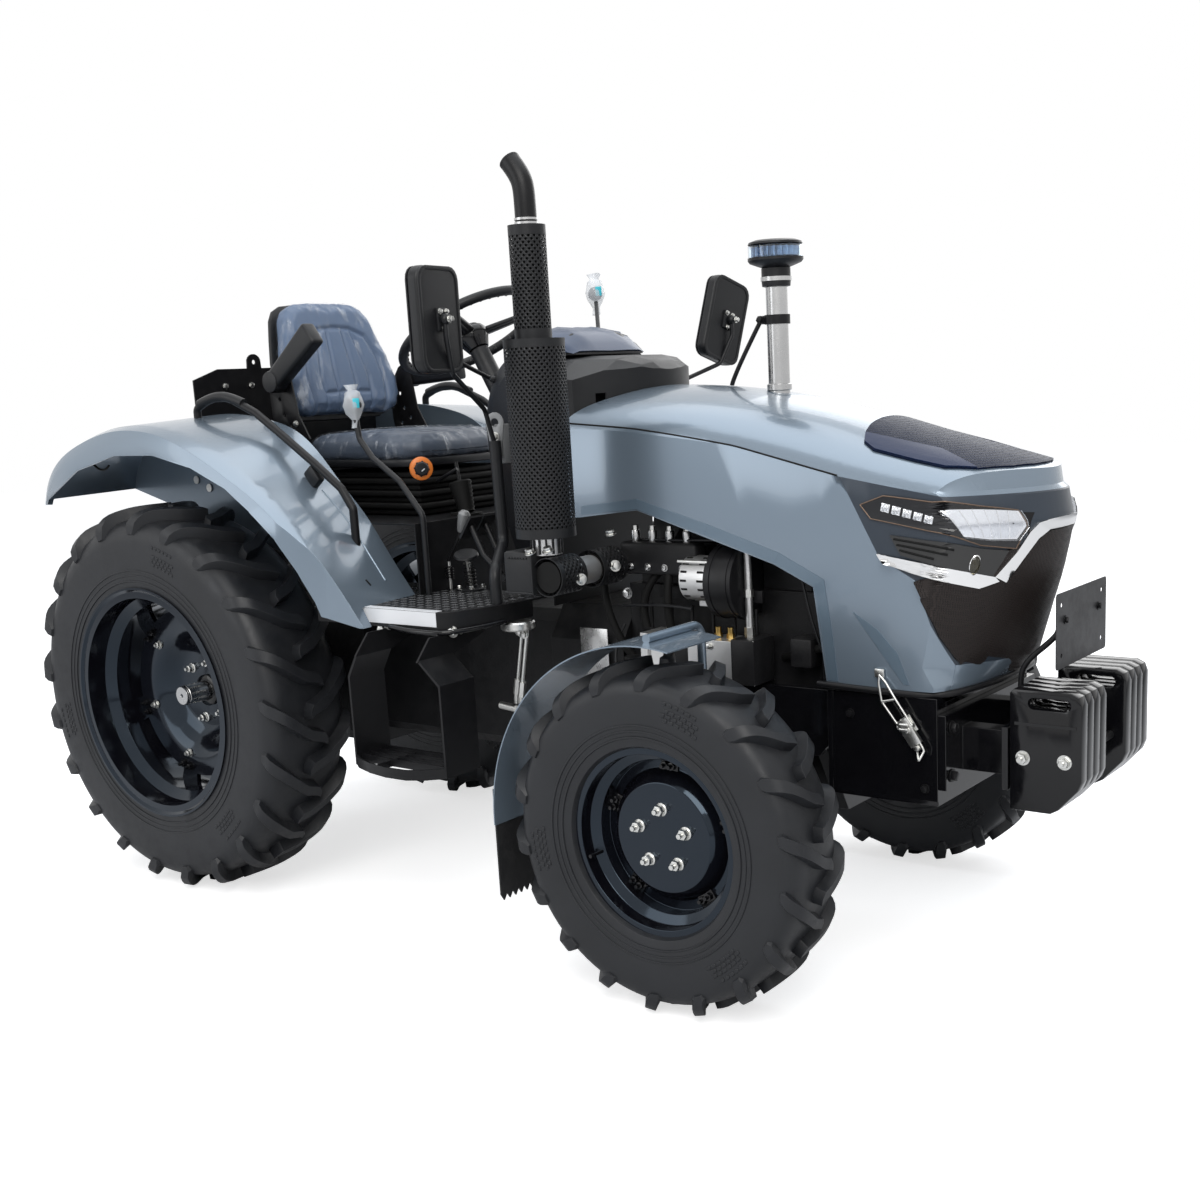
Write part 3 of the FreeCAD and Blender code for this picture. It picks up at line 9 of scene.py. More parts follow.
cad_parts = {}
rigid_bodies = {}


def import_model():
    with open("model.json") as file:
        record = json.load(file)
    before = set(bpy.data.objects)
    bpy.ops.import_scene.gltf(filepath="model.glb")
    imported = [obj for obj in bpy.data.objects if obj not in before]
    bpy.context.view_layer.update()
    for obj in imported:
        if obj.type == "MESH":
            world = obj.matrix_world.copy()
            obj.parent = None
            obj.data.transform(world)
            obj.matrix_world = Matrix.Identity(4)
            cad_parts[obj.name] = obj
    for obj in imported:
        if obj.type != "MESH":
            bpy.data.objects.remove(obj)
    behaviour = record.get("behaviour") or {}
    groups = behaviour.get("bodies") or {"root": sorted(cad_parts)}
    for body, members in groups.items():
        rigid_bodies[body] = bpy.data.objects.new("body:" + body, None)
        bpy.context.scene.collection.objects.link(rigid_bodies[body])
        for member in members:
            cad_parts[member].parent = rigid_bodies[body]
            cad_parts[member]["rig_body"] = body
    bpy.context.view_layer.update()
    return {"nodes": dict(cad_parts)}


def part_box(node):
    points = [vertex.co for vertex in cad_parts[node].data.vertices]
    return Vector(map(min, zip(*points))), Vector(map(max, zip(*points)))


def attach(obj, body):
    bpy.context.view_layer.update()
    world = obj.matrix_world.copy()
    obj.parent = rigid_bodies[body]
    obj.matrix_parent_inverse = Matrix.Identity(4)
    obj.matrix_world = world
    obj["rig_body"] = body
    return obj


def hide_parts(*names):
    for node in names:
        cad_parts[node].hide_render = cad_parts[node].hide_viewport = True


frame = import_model()
nodes = frame["nodes"]
random.seed(11)
print("scene: frame loaded with", len(nodes), "CAD nodes")


def middle(name):  # the centre of a CAD node's box
    low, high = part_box(name)
    return (low + high) / 2


rear = middle("rear_tyre_right")    # every measured place below is counted from the rear axle
front = middle("front_tyre_right")
axle = Vector((rear.x, 0, 0))


def at(x, y, z):  # a place measured from the rear axle, the centre line and the ground
    return axle + Vector((x, y, z))


def shown(name, data):
    obj = bpy.data.objects.new(name, data)
    bpy.context.scene.collection.objects.link(obj)
    return obj


def placed(x, y, z):  # a matrix that moves the origin to a place measured as at() does
    return Matrix.Translation(at(x, y, z))


def spun(degrees, axis):
    return Matrix.Rotation(math.radians(degrees), 4, axis)


def addNoise(tree, vector, scale, detail=4, rough=0.55):
    noise = tree.nodes.new("ShaderNodeTexNoise")
    noise.inputs["Detail"].default_value = detail
    noise.inputs["Roughness"].default_value = rough
    tree.links.new(vector, noise.inputs["Vector"])
    if isinstance(scale, (int, float)):
        noise.inputs["Scale"].default_value = scale
    else:
        tree.links.new(scale, noise.inputs["Scale"])
    return noise.outputs["Fac"]


def addRange(tree, value, low, high, toLow, toHigh):
    node = tree.nodes.new("ShaderNodeMapRange")
    for label, number in (("From Min", low), ("From Max", high), ("To Min", toLow), ("To Max", toHigh)):
        if isinstance(number, (int, float)):
            node.inputs[label].default_value = number
        else:
            tree.links.new(number, node.inputs[label])
    tree.links.new(value, node.inputs["Value"])
    return node.outputs["Result"]


def addMath(tree, operation, first, second):
    node = tree.nodes.new("ShaderNodeMath")
    node.operation = operation
    for socket, value in zip(node.inputs, (first, second)):
        if isinstance(value, (int, float)):
            socket.default_value = value
        else:
            tree.links.new(value, socket)
    return node.outputs[0]


def addMix(tree, factor, first, second):
    node = tree.nodes.new("ShaderNodeMix")
    node.data_type = "RGBA"
    for socket, value in ((node.inputs["Factor"], factor), (node.inputs[6], first), (node.inputs[7], second)):
        if isinstance(value, (int, float)):
            socket.default_value = value
        elif isinstance(value, tuple):
            socket.default_value = (*value, 1)
        else:
            tree.links.new(value, socket)
    return node.outputs[2]


camera = {
    "lens": 44.53,
    "sensor": 36,
    "place": (3.6264, -3.1309, 1.3981),
    "heading": 125.798,
    "down": 11.836,
    "roll": -2.655,
    "shift": 0.07,
}


def makeCamera():
    heading, down, roll = (math.radians(camera[k]) for k in ("heading", "down", "roll"))
    look = Vector((math.cos(down) * math.cos(heading), math.cos(down) * math.sin(heading), -math.sin(down)))
    side = look.cross(Vector((0, 0, 1))).normalized()
    rise = side.cross(look)
    right = side * math.cos(roll) + rise * math.sin(roll)
    up = rise * math.cos(roll) - side * math.sin(roll)
    data = bpy.data.cameras.new("camera")
    data.lens = camera["lens"]
    data.sensor_width = camera["sensor"]
    data.shift_x = -camera["shift"]
    data.shift_y = camera["shift"]
    data.clip_end = 60
    obj = shown("camera", data)
    turn = Matrix((right, up, -look)).transposed().to_4x4()
    obj.matrix_world = placed(*camera["place"]) @ turn
    bpy.context.scene.camera = obj


stage = {
    "floorSize": 40,
    "floorColor": (0.83, 0.83, 0.84),
    "floorGlow": 0.66,
    "ambient": 0.42,
    "ambientColor": (0.93, 0.96, 1.0),
    "aim": (1.0, 0, 0.8),
}


def makeWorld():
    world = bpy.data.worlds.new("studio")
    bpy.context.scene.world = world
    world.use_nodes = True
    tree = world.node_tree
    tree.nodes.clear()
    rays = tree.nodes.new("ShaderNodeLightPath").outputs
    direct = addMath(tree, "MAXIMUM", rays["Is Camera Ray"], rays["Is Glossy Ray"])
    either = addMath(tree, "MAXIMUM", direct, rays["Is Transmission Ray"])
    dim = tree.nodes.new("ShaderNodeBackground")
    dim.inputs["Color"].default_value = (*stage["ambientColor"], 1)
    dim.inputs["Strength"].default_value = stage["ambient"]
    white = tree.nodes.new("ShaderNodeBackground")
    white.inputs["Color"].default_value = (1, 1, 1, 1)
    white.inputs["Strength"].default_value = 1
    mix = tree.nodes.new("ShaderNodeMixShader")
    tree.links.new(either, mix.inputs[0])
    tree.links.new(dim.outputs[0], mix.inputs[1])
    tree.links.new(white.outputs[0], mix.inputs[2])
    out = tree.nodes.new("ShaderNodeOutputWorld")
    tree.links.new(mix.outputs[0], out.inputs["Surface"])


def makeFloor():
    bm = bmesh.new()
    bmesh.ops.create_grid(bm, x_segments=1, y_segments=1, size=stage["floorSize"] / 2)
    mesh = bpy.data.meshes.new("floor")
    bm.to_mesh(mesh)
    bm.free()
    floor = shown("floor", mesh)
    material = bpy.data.materials.new("floor")
    material.use_nodes = True
    tree = material.node_tree
    shader = tree.nodes["Principled BSDF"]
    shader.inputs["Base Color"].default_value = (*stage["floorColor"], 1)
    shader.inputs["Roughness"].default_value = 0.9
    shader.inputs["Specular IOR Level"].default_value = 0.1
    rays = tree.nodes.new("ShaderNodeLightPath").outputs
    glow = addMath(tree, "MULTIPLY", rays["Is Camera Ray"], stage["floorGlow"])
    shader.inputs["Emission Color"].default_value = (1, 1, 1, 1)
    tree.links.new(glow, shader.inputs["Emission Strength"])
    mesh.materials.append(material)


lamps = {
    "key": {"place": (4.6, -5.2, 5.6), "size": 4.5, "power": 330, "color": (1.0, 0.985, 0.96)},
    "sky": {"place": (1.0, 0.3, 7.0), "size": 7.0, "power": 250, "color": (0.92, 0.96, 1.0)},
    "fill": {"place": (-2.6, -6.0, 3.0), "size": 4.0, "power": 90, "color": (0.96, 0.98, 1.0)},
    "back": {"place": (0.5, 6.5, 4.5), "size": 5.0, "power": 150, "color": (1.0, 1.0, 1.0)},
}


def makeLamps():
    for name, lamp in lamps.items():
        data = bpy.data.lights.new(name, "AREA")
        data.size = lamp["size"]
        data.energy = lamp["power"]
        data.color = lamp["color"]
        obj = shown(name, data)
        obj.location = at(*lamp["place"])
        aim = at(*stage["aim"]) - obj.location
        obj.rotation_euler = aim.to_track_quat("-Z", "Y").to_euler()


makeCamera()
makeWorld()
makeFloor()
makeLamps()
bpy.context.scene.view_settings.view_transform = "Standard"
print("scene: camera, floor and lamps")


def newGroup(name, inputs, outputs):  # an effect that several materials share
    group = bpy.data.node_groups.new(name, "ShaderNodeTree")
    for label, kind, value in inputs:
        socket = group.interface.new_socket(label, in_out="INPUT", socket_type=kind)
        socket.default_value = value
    for label, kind in outputs:
        group.interface.new_socket(label, in_out="OUTPUT", socket_type=kind)
    return group, group.nodes.new("NodeGroupInput"), group.nodes.new("NodeGroupOutput")


def makeSurfaceGroup():  # slow colour drift, dust that settles on faces that look up, and a fine grain
    group, source, target = newGroup(
        "surfaceSkin",
        [("Color", "NodeSocketColor", (0.5, 0.5, 0.5, 1)), ("Drift", "NodeSocketFloat", 0.08),
         ("Dust Color", "NodeSocketColor", (0.45, 0.43, 0.40, 1)), ("Dust", "NodeSocketFloat", 0.1),
         ("Roughness", "NodeSocketFloat", 0.4), ("Grain Scale", "NodeSocketFloat", 400)],
        [("Color", "NodeSocketColor"), ("Roughness", "NodeSocketFloat"), ("Grain", "NodeSocketFloat")])
    place = group.nodes.new("ShaderNodeTexCoord").outputs["Object"]
    slow = addNoise(group, place, 5.5)
    patchy = addNoise(group, place, 24, 6, 0.65)
    grain = addNoise(group, place, source.outputs["Grain Scale"], 3)
    facing = group.nodes.new("ShaderNodeSeparateXYZ")
    group.links.new(group.nodes.new("ShaderNodeNewGeometry").outputs["Normal"], facing.inputs[0])
    lifted = addRange(group, facing.outputs["Z"], -0.1, 0.9, 0.15, 1)
    spots = addRange(group, patchy, 0.42, 0.75, 0, 1)
    dusty = addMath(group, "MULTIPLY", addMath(group, "MULTIPLY", lifted, spots), source.outputs["Dust"])
    bright = addRange(group, slow, 0.3, 0.7, -1, 1)
    gain = addMath(group, "ADD", addMath(group, "MULTIPLY", bright, source.outputs["Drift"]), 1)
    scaled = group.nodes.new("ShaderNodeVectorMath")
    scaled.operation = "SCALE"
    group.links.new(source.outputs["Color"], scaled.inputs[0])
    group.links.new(gain, scaled.inputs["Scale"])
    group.links.new(addMix(group, dusty, scaled.outputs[0], source.outputs["Dust Color"]), target.inputs["Color"])
    worn = addMath(group, "MULTIPLY", spots, source.outputs["Drift"])
    uneven = addMath(group, "ADD", worn, addMath(group, "MULTIPLY", dusty, 0.5))
    group.links.new(addMath(group, "ADD", source.outputs["Roughness"], uneven), target.inputs["Roughness"])
    group.links.new(grain, target.inputs["Grain"])
    return group


surfaceSkin = makeSurfaceGroup()


def newMaterial(name, color, rough, metal=0.0, drift=0.06, dust=0.06, grainScale=500, grain=0.04,
                coat=0.0, coatRough=0.05, specular=0.5, dustColor=(0.42, 0.41, 0.39)):
    material = bpy.data.materials.new(name)
    material.use_nodes = True
    material.diffuse_color = (*color, 1)
    tree = material.node_tree
    shader = tree.nodes["Principled BSDF"]
    shader.inputs["Metallic"].default_value = metal
    shader.inputs["Coat Weight"].default_value = coat
    shader.inputs["Coat Roughness"].default_value = coatRough
    shader.inputs["Specular IOR Level"].default_value = specular
    skin = tree.nodes.new("ShaderNodeGroup")
    skin.node_tree = surfaceSkin
    skin.inputs["Color"].default_value = (*color, 1)
    skin.inputs["Drift"].default_value = drift
    skin.inputs["Dust"].default_value = dust
    skin.inputs["Dust Color"].default_value = (*dustColor, 1)
    skin.inputs["Roughness"].default_value = rough
    skin.inputs["Grain Scale"].default_value = grainScale
    tree.links.new(skin.outputs["Color"], shader.inputs["Base Color"])
    tree.links.new(skin.outputs["Roughness"], shader.inputs["Roughness"])
    bump = tree.nodes.new("ShaderNodeBump")
    bump.inputs["Strength"].default_value = grain
    bump.inputs["Distance"].default_value = 0.001
    tree.links.new(skin.outputs["Grain"], bump.inputs["Height"])
    tree.links.new(bump.outputs["Normal"], shader.inputs["Normal"])
    return material


# colour, roughness, metal, colour drift, dust, grain scale and grain height, in that order
paint = newMaterial("blueGreyPaint", (0.190, 0.240, 0.295), 0.27, 0.5, 0.0, 0.0, 900, 0.0, coat=0.5)
glossBlack = newMaterial("glossBlack", (0.004, 0.004, 0.005), 0.09, 0.0, 0.1, 0.01, 300, 0.03, specular=0.36)
rimBlack = newMaterial("rimBlack", (0.004, 0.004, 0.006), 0.08, 0.0, 0.1, 0.01, 300, 0.02, specular=0.50)
# the blue specular tint is a painted sky reflection: the rims' reflections turn blue under any lamp
rimBlack.node_tree.nodes["Principled BSDF"].inputs["Specular Tint"].default_value = (0.62, 0.80, 1.0, 1)
satinBlack = newMaterial("satinBlack", (0.007, 0.007, 0.008), 0.34, 0.0, 0.12, 0.02, 450, 0.10, specular=0.22)
castBlack = newMaterial("castBlack", (0.009, 0.009, 0.010), 0.42, 0.0, 0.2, 0.04, 180, 0.45, specular=0.22)
rubber = newMaterial("tyreRubber", (0.012, 0.013, 0.0155), 0.40, 0.0, 0.18, 0.05, 320, 0.15, specular=0.34,
                     dustColor=(0.16, 0.16, 0.155))
flapRubber = newMaterial("flapRubber", (0.014, 0.014, 0.015), 0.6, 0.0, 0.15, 0.12, 260, 0.3, specular=0.3)
maskSlate = newMaterial("maskSlate", (0.030, 0.040, 0.055), 0.30, 0.1, 0.05, 0.02, 700, 0.04, specular=0.4)
matteBlack = newMaterial("matteBlack", (0.006, 0.006, 0.006), 0.60, 0.0, 0.1, 0.02, 800, 0.15, specular=0.15)
plasticBlack = newMaterial("plasticBlack", (0.009, 0.0095, 0.011), 0.38, 0.0, 0.06, 0.02, 1100, 0.2, specular=0.28)
chrome = newMaterial("chrome", (0.80, 0.80, 0.80), 0.08, 1.0, 0.02, 0.0, 600, 0.01)
zinc = newMaterial("zincPlate", (0.62, 0.62, 0.60), 0.28, 1.0, 0.1, 0.02, 500, 0.06)
aluminium = newMaterial("bareAluminium", (0.60, 0.60, 0.60), 0.36, 0.9, 0.1, 0.05, 350, 0.3)
steel = newMaterial("brightSteel", (0.50, 0.50, 0.50), 0.25, 1.0, 0.08, 0.02, 500, 0.08)
redPlastic = newMaterial("redPlastic", (0.55, 0.02, 0.015), 0.32, 0.0, 0.05, 0.02, 600, 0.05)
orangePlastic = newMaterial("orangePlastic", (0.75, 0.20, 0.03), 0.38, 0.0, 0.05, 0.02, 600, 0.05)
stripWhite = newMaterial("stripWhite", (0.70, 0.71, 0.73), 0.4, 0.0, 0.04, 0.05, 600, 0.03)
greyPaint = newMaterial("greyPaint", (0.22, 0.225, 0.23), 0.35, 0.2, 0.06, 0.05, 500, 0.05)
print("scene: materials")


def softened(bm, edges, offset, segments=2):
    bmesh.ops.bevel(bm, geom=edges, offset=offset, offset_type="OFFSET", segments=segments,
                    profile=0.5, affect="EDGES", material=-1)


def block(size, bevel=0.0, segments=2):
    bm = bmesh.new()
    bmesh.ops.create_cube(bm, size=1)
    bmesh.ops.scale(bm, vec=size, verts=bm.verts)
    if bevel:
        softened(bm, bm.edges[:], bevel, segments)
    return bm


def rod(length, radius, tip=None, sides=20, bevel=0.0):  # stands on the origin, along +Z
    bm = bmesh.new()
    bmesh.ops.create_cone(bm, cap_ends=True, segments=sides, radius1=radius,
                          radius2=radius if tip is None else tip, depth=length)
    bmesh.ops.translate(bm, vec=(0, 0, length / 2), verts=bm.verts)
    if bevel:
        softened(bm, [e for e in bm.edges if abs(e.verts[0].co.z - e.verts[1].co.z) < 1e-6], bevel)
    return bm


def turned(profile, steps=48, closed=False):  # (radius, height) points spun about Z
    bm = bmesh.new()
    line = [bm.verts.new((radius, 0, height)) for radius, height in profile]
    edges = [bm.edges.new(pair) for pair in zip(line, line[1:])]
    if closed:
        edges.append(bm.edges.new((line[-1], line[0])))
    bmesh.ops.spin(bm, geom=line + edges, axis=(0, 0, 1), cent=(0, 0, 0), dvec=(0, 0, 0),
                   angle=2 * math.pi, steps=steps, use_merge=True)
    bmesh.ops.remove_doubles(bm, verts=bm.verts, dist=1e-6)
    bmesh.ops.recalc_face_normals(bm, faces=bm.faces)
    return bm


def arc(x, y, radius, first, step, count):  # points of an arc in XY, its angles in degrees
    turns = [math.radians(first + step * i) for i in range(count)]
    return [(x + radius * math.cos(t), y + radius * math.sin(t)) for t in turns]


def roundedRect(low, high, radius, count):  # count points on each corner
    left, bottom, right, top = low[0] + radius, low[1] + radius, high[0] - radius, high[1] - radius
    corners = ((right, top), (left, top), (left, bottom), (right, bottom))
    return [p for i, (x, y) in enumerate(corners) for p in arc(x, y, radius, 90 * i, 90 / (count - 1), count)]


def toward(place, axis, spin=0.0):  # carries +Z to the axis and the origin to the place
    turn = Vector((0, 0, 1)).rotation_difference(Vector(axis)).to_matrix().to_4x4()
    return Matrix.Translation(place) @ turn @ Matrix.Rotation(spin, 4, "Z")


def moved(place, turn=(0, 0, 0)):  # turned about X, Y and Z in degrees, then moved
    x, y, z = (Matrix.Rotation(math.radians(a), 4, axis) for a, axis in zip(turn, "XYZ"))
    return Matrix.Translation(place) @ z @ y @ x


def addTo(bm, part, place=Matrix()):
    part.transform(place)
    mesh = bpy.data.meshes.new("part")
    part.to_mesh(mesh)
    part.free()
    bm.from_mesh(mesh)
    bpy.data.meshes.remove(mesh)


def addRod(bm, start, end, radius, tip=None, sides=20):
    start, end = Vector(start), Vector(end)
    addTo(bm, rod((end - start).length, radius, tip, sides), toward(start, end - start))


def addBolt(bm, place, axis, across=0.016, height=0.009, washer=True, stud=0.0):
    axis = Vector(axis).normalized()
    place = Vector(place)
    if washer:
        addTo(bm, rod(0.0022, across * 0.78, sides=20), toward(place, axis))
        place = place + axis * 0.0022
    addTo(bm, rod(height, across / 2 / math.cos(math.pi / 6), sides=6, bevel=0.0012),
          toward(place, axis, random.uniform(0, 1)))
    if stud:
        addTo(bm, rod(height + stud, across * 0.27, sides=12), toward(place, axis))


def piece(name, body, bm, material, smooth=35, bevel=0.0, segments=2):
    for face in bm.faces:
        face.smooth = True
    limit = math.radians(smooth)
    for edge in bm.edges:
        edge.smooth = len(edge.link_faces) != 2 or edge.calc_face_angle(0) < limit
    mesh = bpy.data.meshes.new(name)
    bm.to_mesh(mesh)
    bm.free()
    mesh.materials.append(material)
    obj = shown(name, mesh)
    if bevel:
        rounding = obj.modifiers.new("edges", "BEVEL")
        rounding.width = bevel
        rounding.segments = segments
        rounding.limit_method = "ANGLE"
        rounding.angle_limit = limit
        rounding.harden_normals = True
    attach(obj, body)
    return obj


def tube(name, body, lines, radius, material, order=4, resolution=6):  # bent tubes, wires and hoses
    curve = bpy.data.curves.new(name, "CURVE")
    curve.dimensions = "3D"
    curve.bevel_depth = radius
    curve.bevel_resolution = 3
    curve.use_fill_caps = True
    for points in lines:
        spline = curve.splines.new("NURBS")
        spline.points.add(len(points) - 1)
        for point, place in zip(spline.points, points):
            point.co = (*place, 1)
        spline.order_u = min(order, len(points))
        spline.use_endpoint_u = True
        spline.resolution_u = resolution
    curve.materials.append(material)
    obj = shown(name, curve)
    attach(obj, body)
    return obj


def bodyOf(name):  # the body that a CAD node rides
    return nodes[name]["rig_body"]


def refine(name, material, smooth=32, bevel=0.0015, crease=None):  # a merged copy stands for the CAD node
    bm = bmesh.new()
    bm.from_mesh(nodes[name].data)
    bmesh.ops.remove_doubles(bm, verts=bm.verts, dist=2e-5)
    if bodyOf(name) != "hood" and "fender" not in name:  # curved sheets keep their own facets
        bmesh.ops.dissolve_limit(bm, angle_limit=math.radians(0.05), verts=bm.verts, edges=bm.edges,
                                 use_dissolve_boundaries=False)
    if crease:
        crease(bm)
    obj = piece(name + "_skin", bodyOf(name), bm, material, smooth, bevel)
    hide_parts(name)
    return obj


frontTyre = {
    "end": "front", "body": "front_wheel", "width": 0.199, "radius": front.z, "bead": 0.218, "beadOffset": 0.086,
    "middle": 0.315, "lugHeight": 0.024, "lugs": 18, "lugWidth": 0.034, "sweep": 0.088, "square": 0.56,
    "reach": 1.34, "trackHalf": abs(front.y),
}
rearTyre = {
    "end": "rear", "body": "rear_wheel", "width": 0.279, "radius": rear.z, "bead": 0.324, "beadOffset": 0.134,
    "middle": 0.430, "lugHeight": 0.031, "lugs": 21, "lugWidth": 0.040, "sweep": 0.130, "square": 0.52,
    "reach": 1.30, "trackHalf": abs(rear.y),
}


wallMarks = {  # raised rings (angle on the section, height) and patches of small blocks on the tyre walls
    "rings": ((1.98, 0.0022), (2.10, 0.0018), (2.24, 0.0026)), "patches": (0.2, 2.3, 4.4), "columns": 6, "rows": 4,
    "block": (0.0125, 0.004, 0.009), "pitch": 0.016, "lowestRow": 1.50, "rowStep": 0.085,
}


def section(tyre, turn, over=0.0):  # a point of the tyre's cross-section: how far across, and its radius
    across, up = math.sin(turn), math.cos(turn)
    crown = tyre["radius"] - tyre["lugHeight"]
    half = tyre["width"] / 2 - 0.003
    if up > 0:
        y = half * math.copysign(abs(across) ** tyre["square"], across)
        radius = tyre["middle"] + (crown - tyre["middle"]) * up ** tyre["square"]
    else:
        drop = min(1, -up / 0.80)
        y = math.copysign(half - (half - tyre["beadOffset"]) * drop ** 2.2, across)
        radius = tyre["middle"] - (tyre["middle"] - tyre["bead"]) * drop
    if not over:
        return y, radius
    y2, r2 = section(tyre, turn + 0.02)
    along = Vector((y2 - y, r2 - radius)).normalized()
    return y - along.y * over, radius + along.x * over


def lugForm(tyre, side):  # one bar: from just past the crown, out over the shoulder and down the wall
    bm = bmesh.new()
    bmesh.ops.create_cube(bm, size=1)
    lengthwise = [e for e in bm.edges if abs(e.verts[0].co.x - e.verts[1].co.x) > 0.5]
    bmesh.ops.subdivide_edges(bm, edges=lengthwise, cuts=11, use_grid_fill=True)
    for vert in bm.verts:
        s = vert.co.x + 0.5
        turn = side * (-0.045 + (tyre["reach"] + 0.045) * s ** 1.55)
        top = vert.co.z > 0
        ease = min(1, s / 0.07) * min(1, (1 - s) / 0.03)
        height = tyre["lugHeight"] * (1.0 if s < 0.62 else 1.0 - 0.62 * ((s - 0.62) / 0.38) ** 1.2)
        across = tyre["lugWidth"] * (0.86 + 0.30 * s) * (0.84 if top else 1.22) * (0.62 + 0.38 * ease ** 0.5)
        y, radius = section(tyre, turn, height if top else -0.004)
        if top and s < 0.7:
            radius = min(radius, tyre["radius"] - 0.012 * (abs(y) / (tyre["width"] / 2)) ** 3)
        swing = tyre["sweep"] * (1 - s) ** 1.25
        bend = (swing + vert.co.y * across) / tyre["radius"]
        vert.co = (radius * math.sin(bend), y, radius * math.cos(bend))
    bmesh.ops.recalc_face_normals(bm, faces=bm.faces)
    return bm


def makeTyre(tyre, sideName):
    out = -1 if sideName == "right" else 1
    hub = Vector((front.x if tyre["end"] == "front" else rear.x, out * tyre["trackHalf"], tyre["radius"]))
    toY = spun(-90, "X")  # the profile's axis Z lies along Y
    limit = math.acos(-0.80)
    outline = [section(tyre, -limit + 2 * limit * i / 34) for i in range(35)]
    wall = [(radius, y) for y, radius in outline]
    inner = [(tyre["bead"] - 0.006, tyre["beadOffset"] - 0.012), (tyre["bead"] - 0.006, -tyre["beadOffset"] + 0.012)]
    bm = bmesh.new()
    addTo(bm, turned(wall + inner, 108, closed=True), toY)
    for ringTurn, lift in wallMarks["rings"]:  # raised rings on the walls
        for wallSide in (-1, 1):
            y, radius = section(tyre, ringTurn)
            profile = [(radius + 0.0030, wallSide * (y - 0.002)), (radius + 0.0018, wallSide * (y + lift)),
                       (radius - 0.0018, wallSide * (y + lift)), (radius - 0.0030, wallSide * (y - 0.002))]
            addTo(bm, turned(profile, 96, closed=True), toY)
    for wallSide in (-1, 1):
        shape = lugForm(tyre, wallSide)
        for i in range(tyre["lugs"]):
            turn = 2 * math.pi * (i + (0.5 if wallSide > 0 else 0)) / tyre["lugs"]
            addTo(bm, shape.copy(), Matrix.Rotation(turn, 4, "Y"))
        shape.free()
        for start in wallMarks["patches"]:
            for column in range(wallMarks["columns"]):
                for row in range(wallMarks["rows"]):
                    y, radius = section(tyre, wallMarks["lowestRow"] + row * wallMarks["rowStep"])
                    swing = (column + 0.5 * (row % 2)) * wallMarks["pitch"] / radius
                    spot = Matrix.Rotation(start + swing, 4, "Y")
                    addTo(bm, block(wallMarks["block"], 0.0012, 1), spot
                          @ Matrix.Translation((0, wallSide * y, radius)))
    widest = tyre["width"] / 2 - 0.0002
    for vert in bm.verts:
        vert.co.y = max(-widest, min(widest, vert.co.y))
    bm.transform(Matrix.Translation(hub))
    name = tyre["end"] + "_tyre_" + sideName
    obj = piece(name + "_tread", tyre["body"] + "_" + sideName, bm, rubber, smooth=40, bevel=0.0022,
                segments=1)
    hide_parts(name)


for sideName in ("right", "left"):
    makeTyre(frontTyre, sideName)
    makeTyre(rearTyre, sideName)
print("scene: tyres")


def turnLugs(bm):  # the rear discs stand with a lug low in front
    hub = Matrix.Translation((rear.x, 0, rear.z))
    bm.transform(hub @ spun(15, "Y") @ hub.inverted())


finishes = {
    "hood_paint": (paint, ["hood_top", "hood_side_right", "hood_side_left", "hood_lip", "front_fender_right",
                           "front_fender_left", "rear_fender_right", "rear_fender_left"]),
    "mask": (maskSlate, ["grille_mask"]),
    "lamp": (satinBlack, ["headlamps"]),
    "cast": (castBlack, ["transmission", "rear_axle", "engine", "front_axle", "knuckle_right", "knuckle_left"]),
    "weights": (glossBlack, ["battery_box", "weight_carrier", "front_frame"]),
    "plastic": (plasticBlack, ["dashboard", "instrument_cowl", "steering_wheel", "mirrors",
                               "control_levers"]),
    "bright": (aluminium, ["alternator", "hydraulic_pumps", "pto_shaft"]),
    "black_steel": (satinBlack, ["firewall", "handrails", "lift_arms", "lift_rods", "lower_links",
                                 "pedals", "platforms", "radiator",
                                 "seat_deck", "steps", "tie_rod", "drawbar"]),
}
wheelsDark = ["front_rim_right", "front_rim_left", "rear_rim_right", "rear_rim_left"]
for slotName, (material, names) in finishes.items():
    for name in names:
        refine(name, material)
for name in wheelsDark:
    refine(name, rimBlack, bevel=0.002, crease=turnLugs if "rear" in name else None)
print("scene: CAD shapes refined")


def surfaceOf(*names):
    bm = bmesh.new()
    for name in names:
        skin = bpy.data.objects.get(name + "_skin")
        bm.from_mesh(skin.data if skin else nodes[name].data)
    tree = BVHTree.FromBMesh(bm)
    bm.free()
    return tree


def pressed(tree, place, core, lift):  # the outer surface on the line from the core through the place
    core = at(*core)
    way = (Vector(place) - core).normalized()
    side = way.orthogonal().normalized() * 0.0012
    up = way.cross(side)
    hits = [tree.ray_cast(core + shift + way * 3, -way)[:2] for shift in (Vector(), side, -side, up, -up)]
    hits = [h for h in hits if h[0]] or [tree.find_nearest(core + way * 0.4)[:2]]
    hit, normal = max(hits, key=lambda h: h[0].dot(way))
    if normal.dot(way) < 0:
        normal = -normal
    return core + way * (hit - core).dot(way) + normal * lift


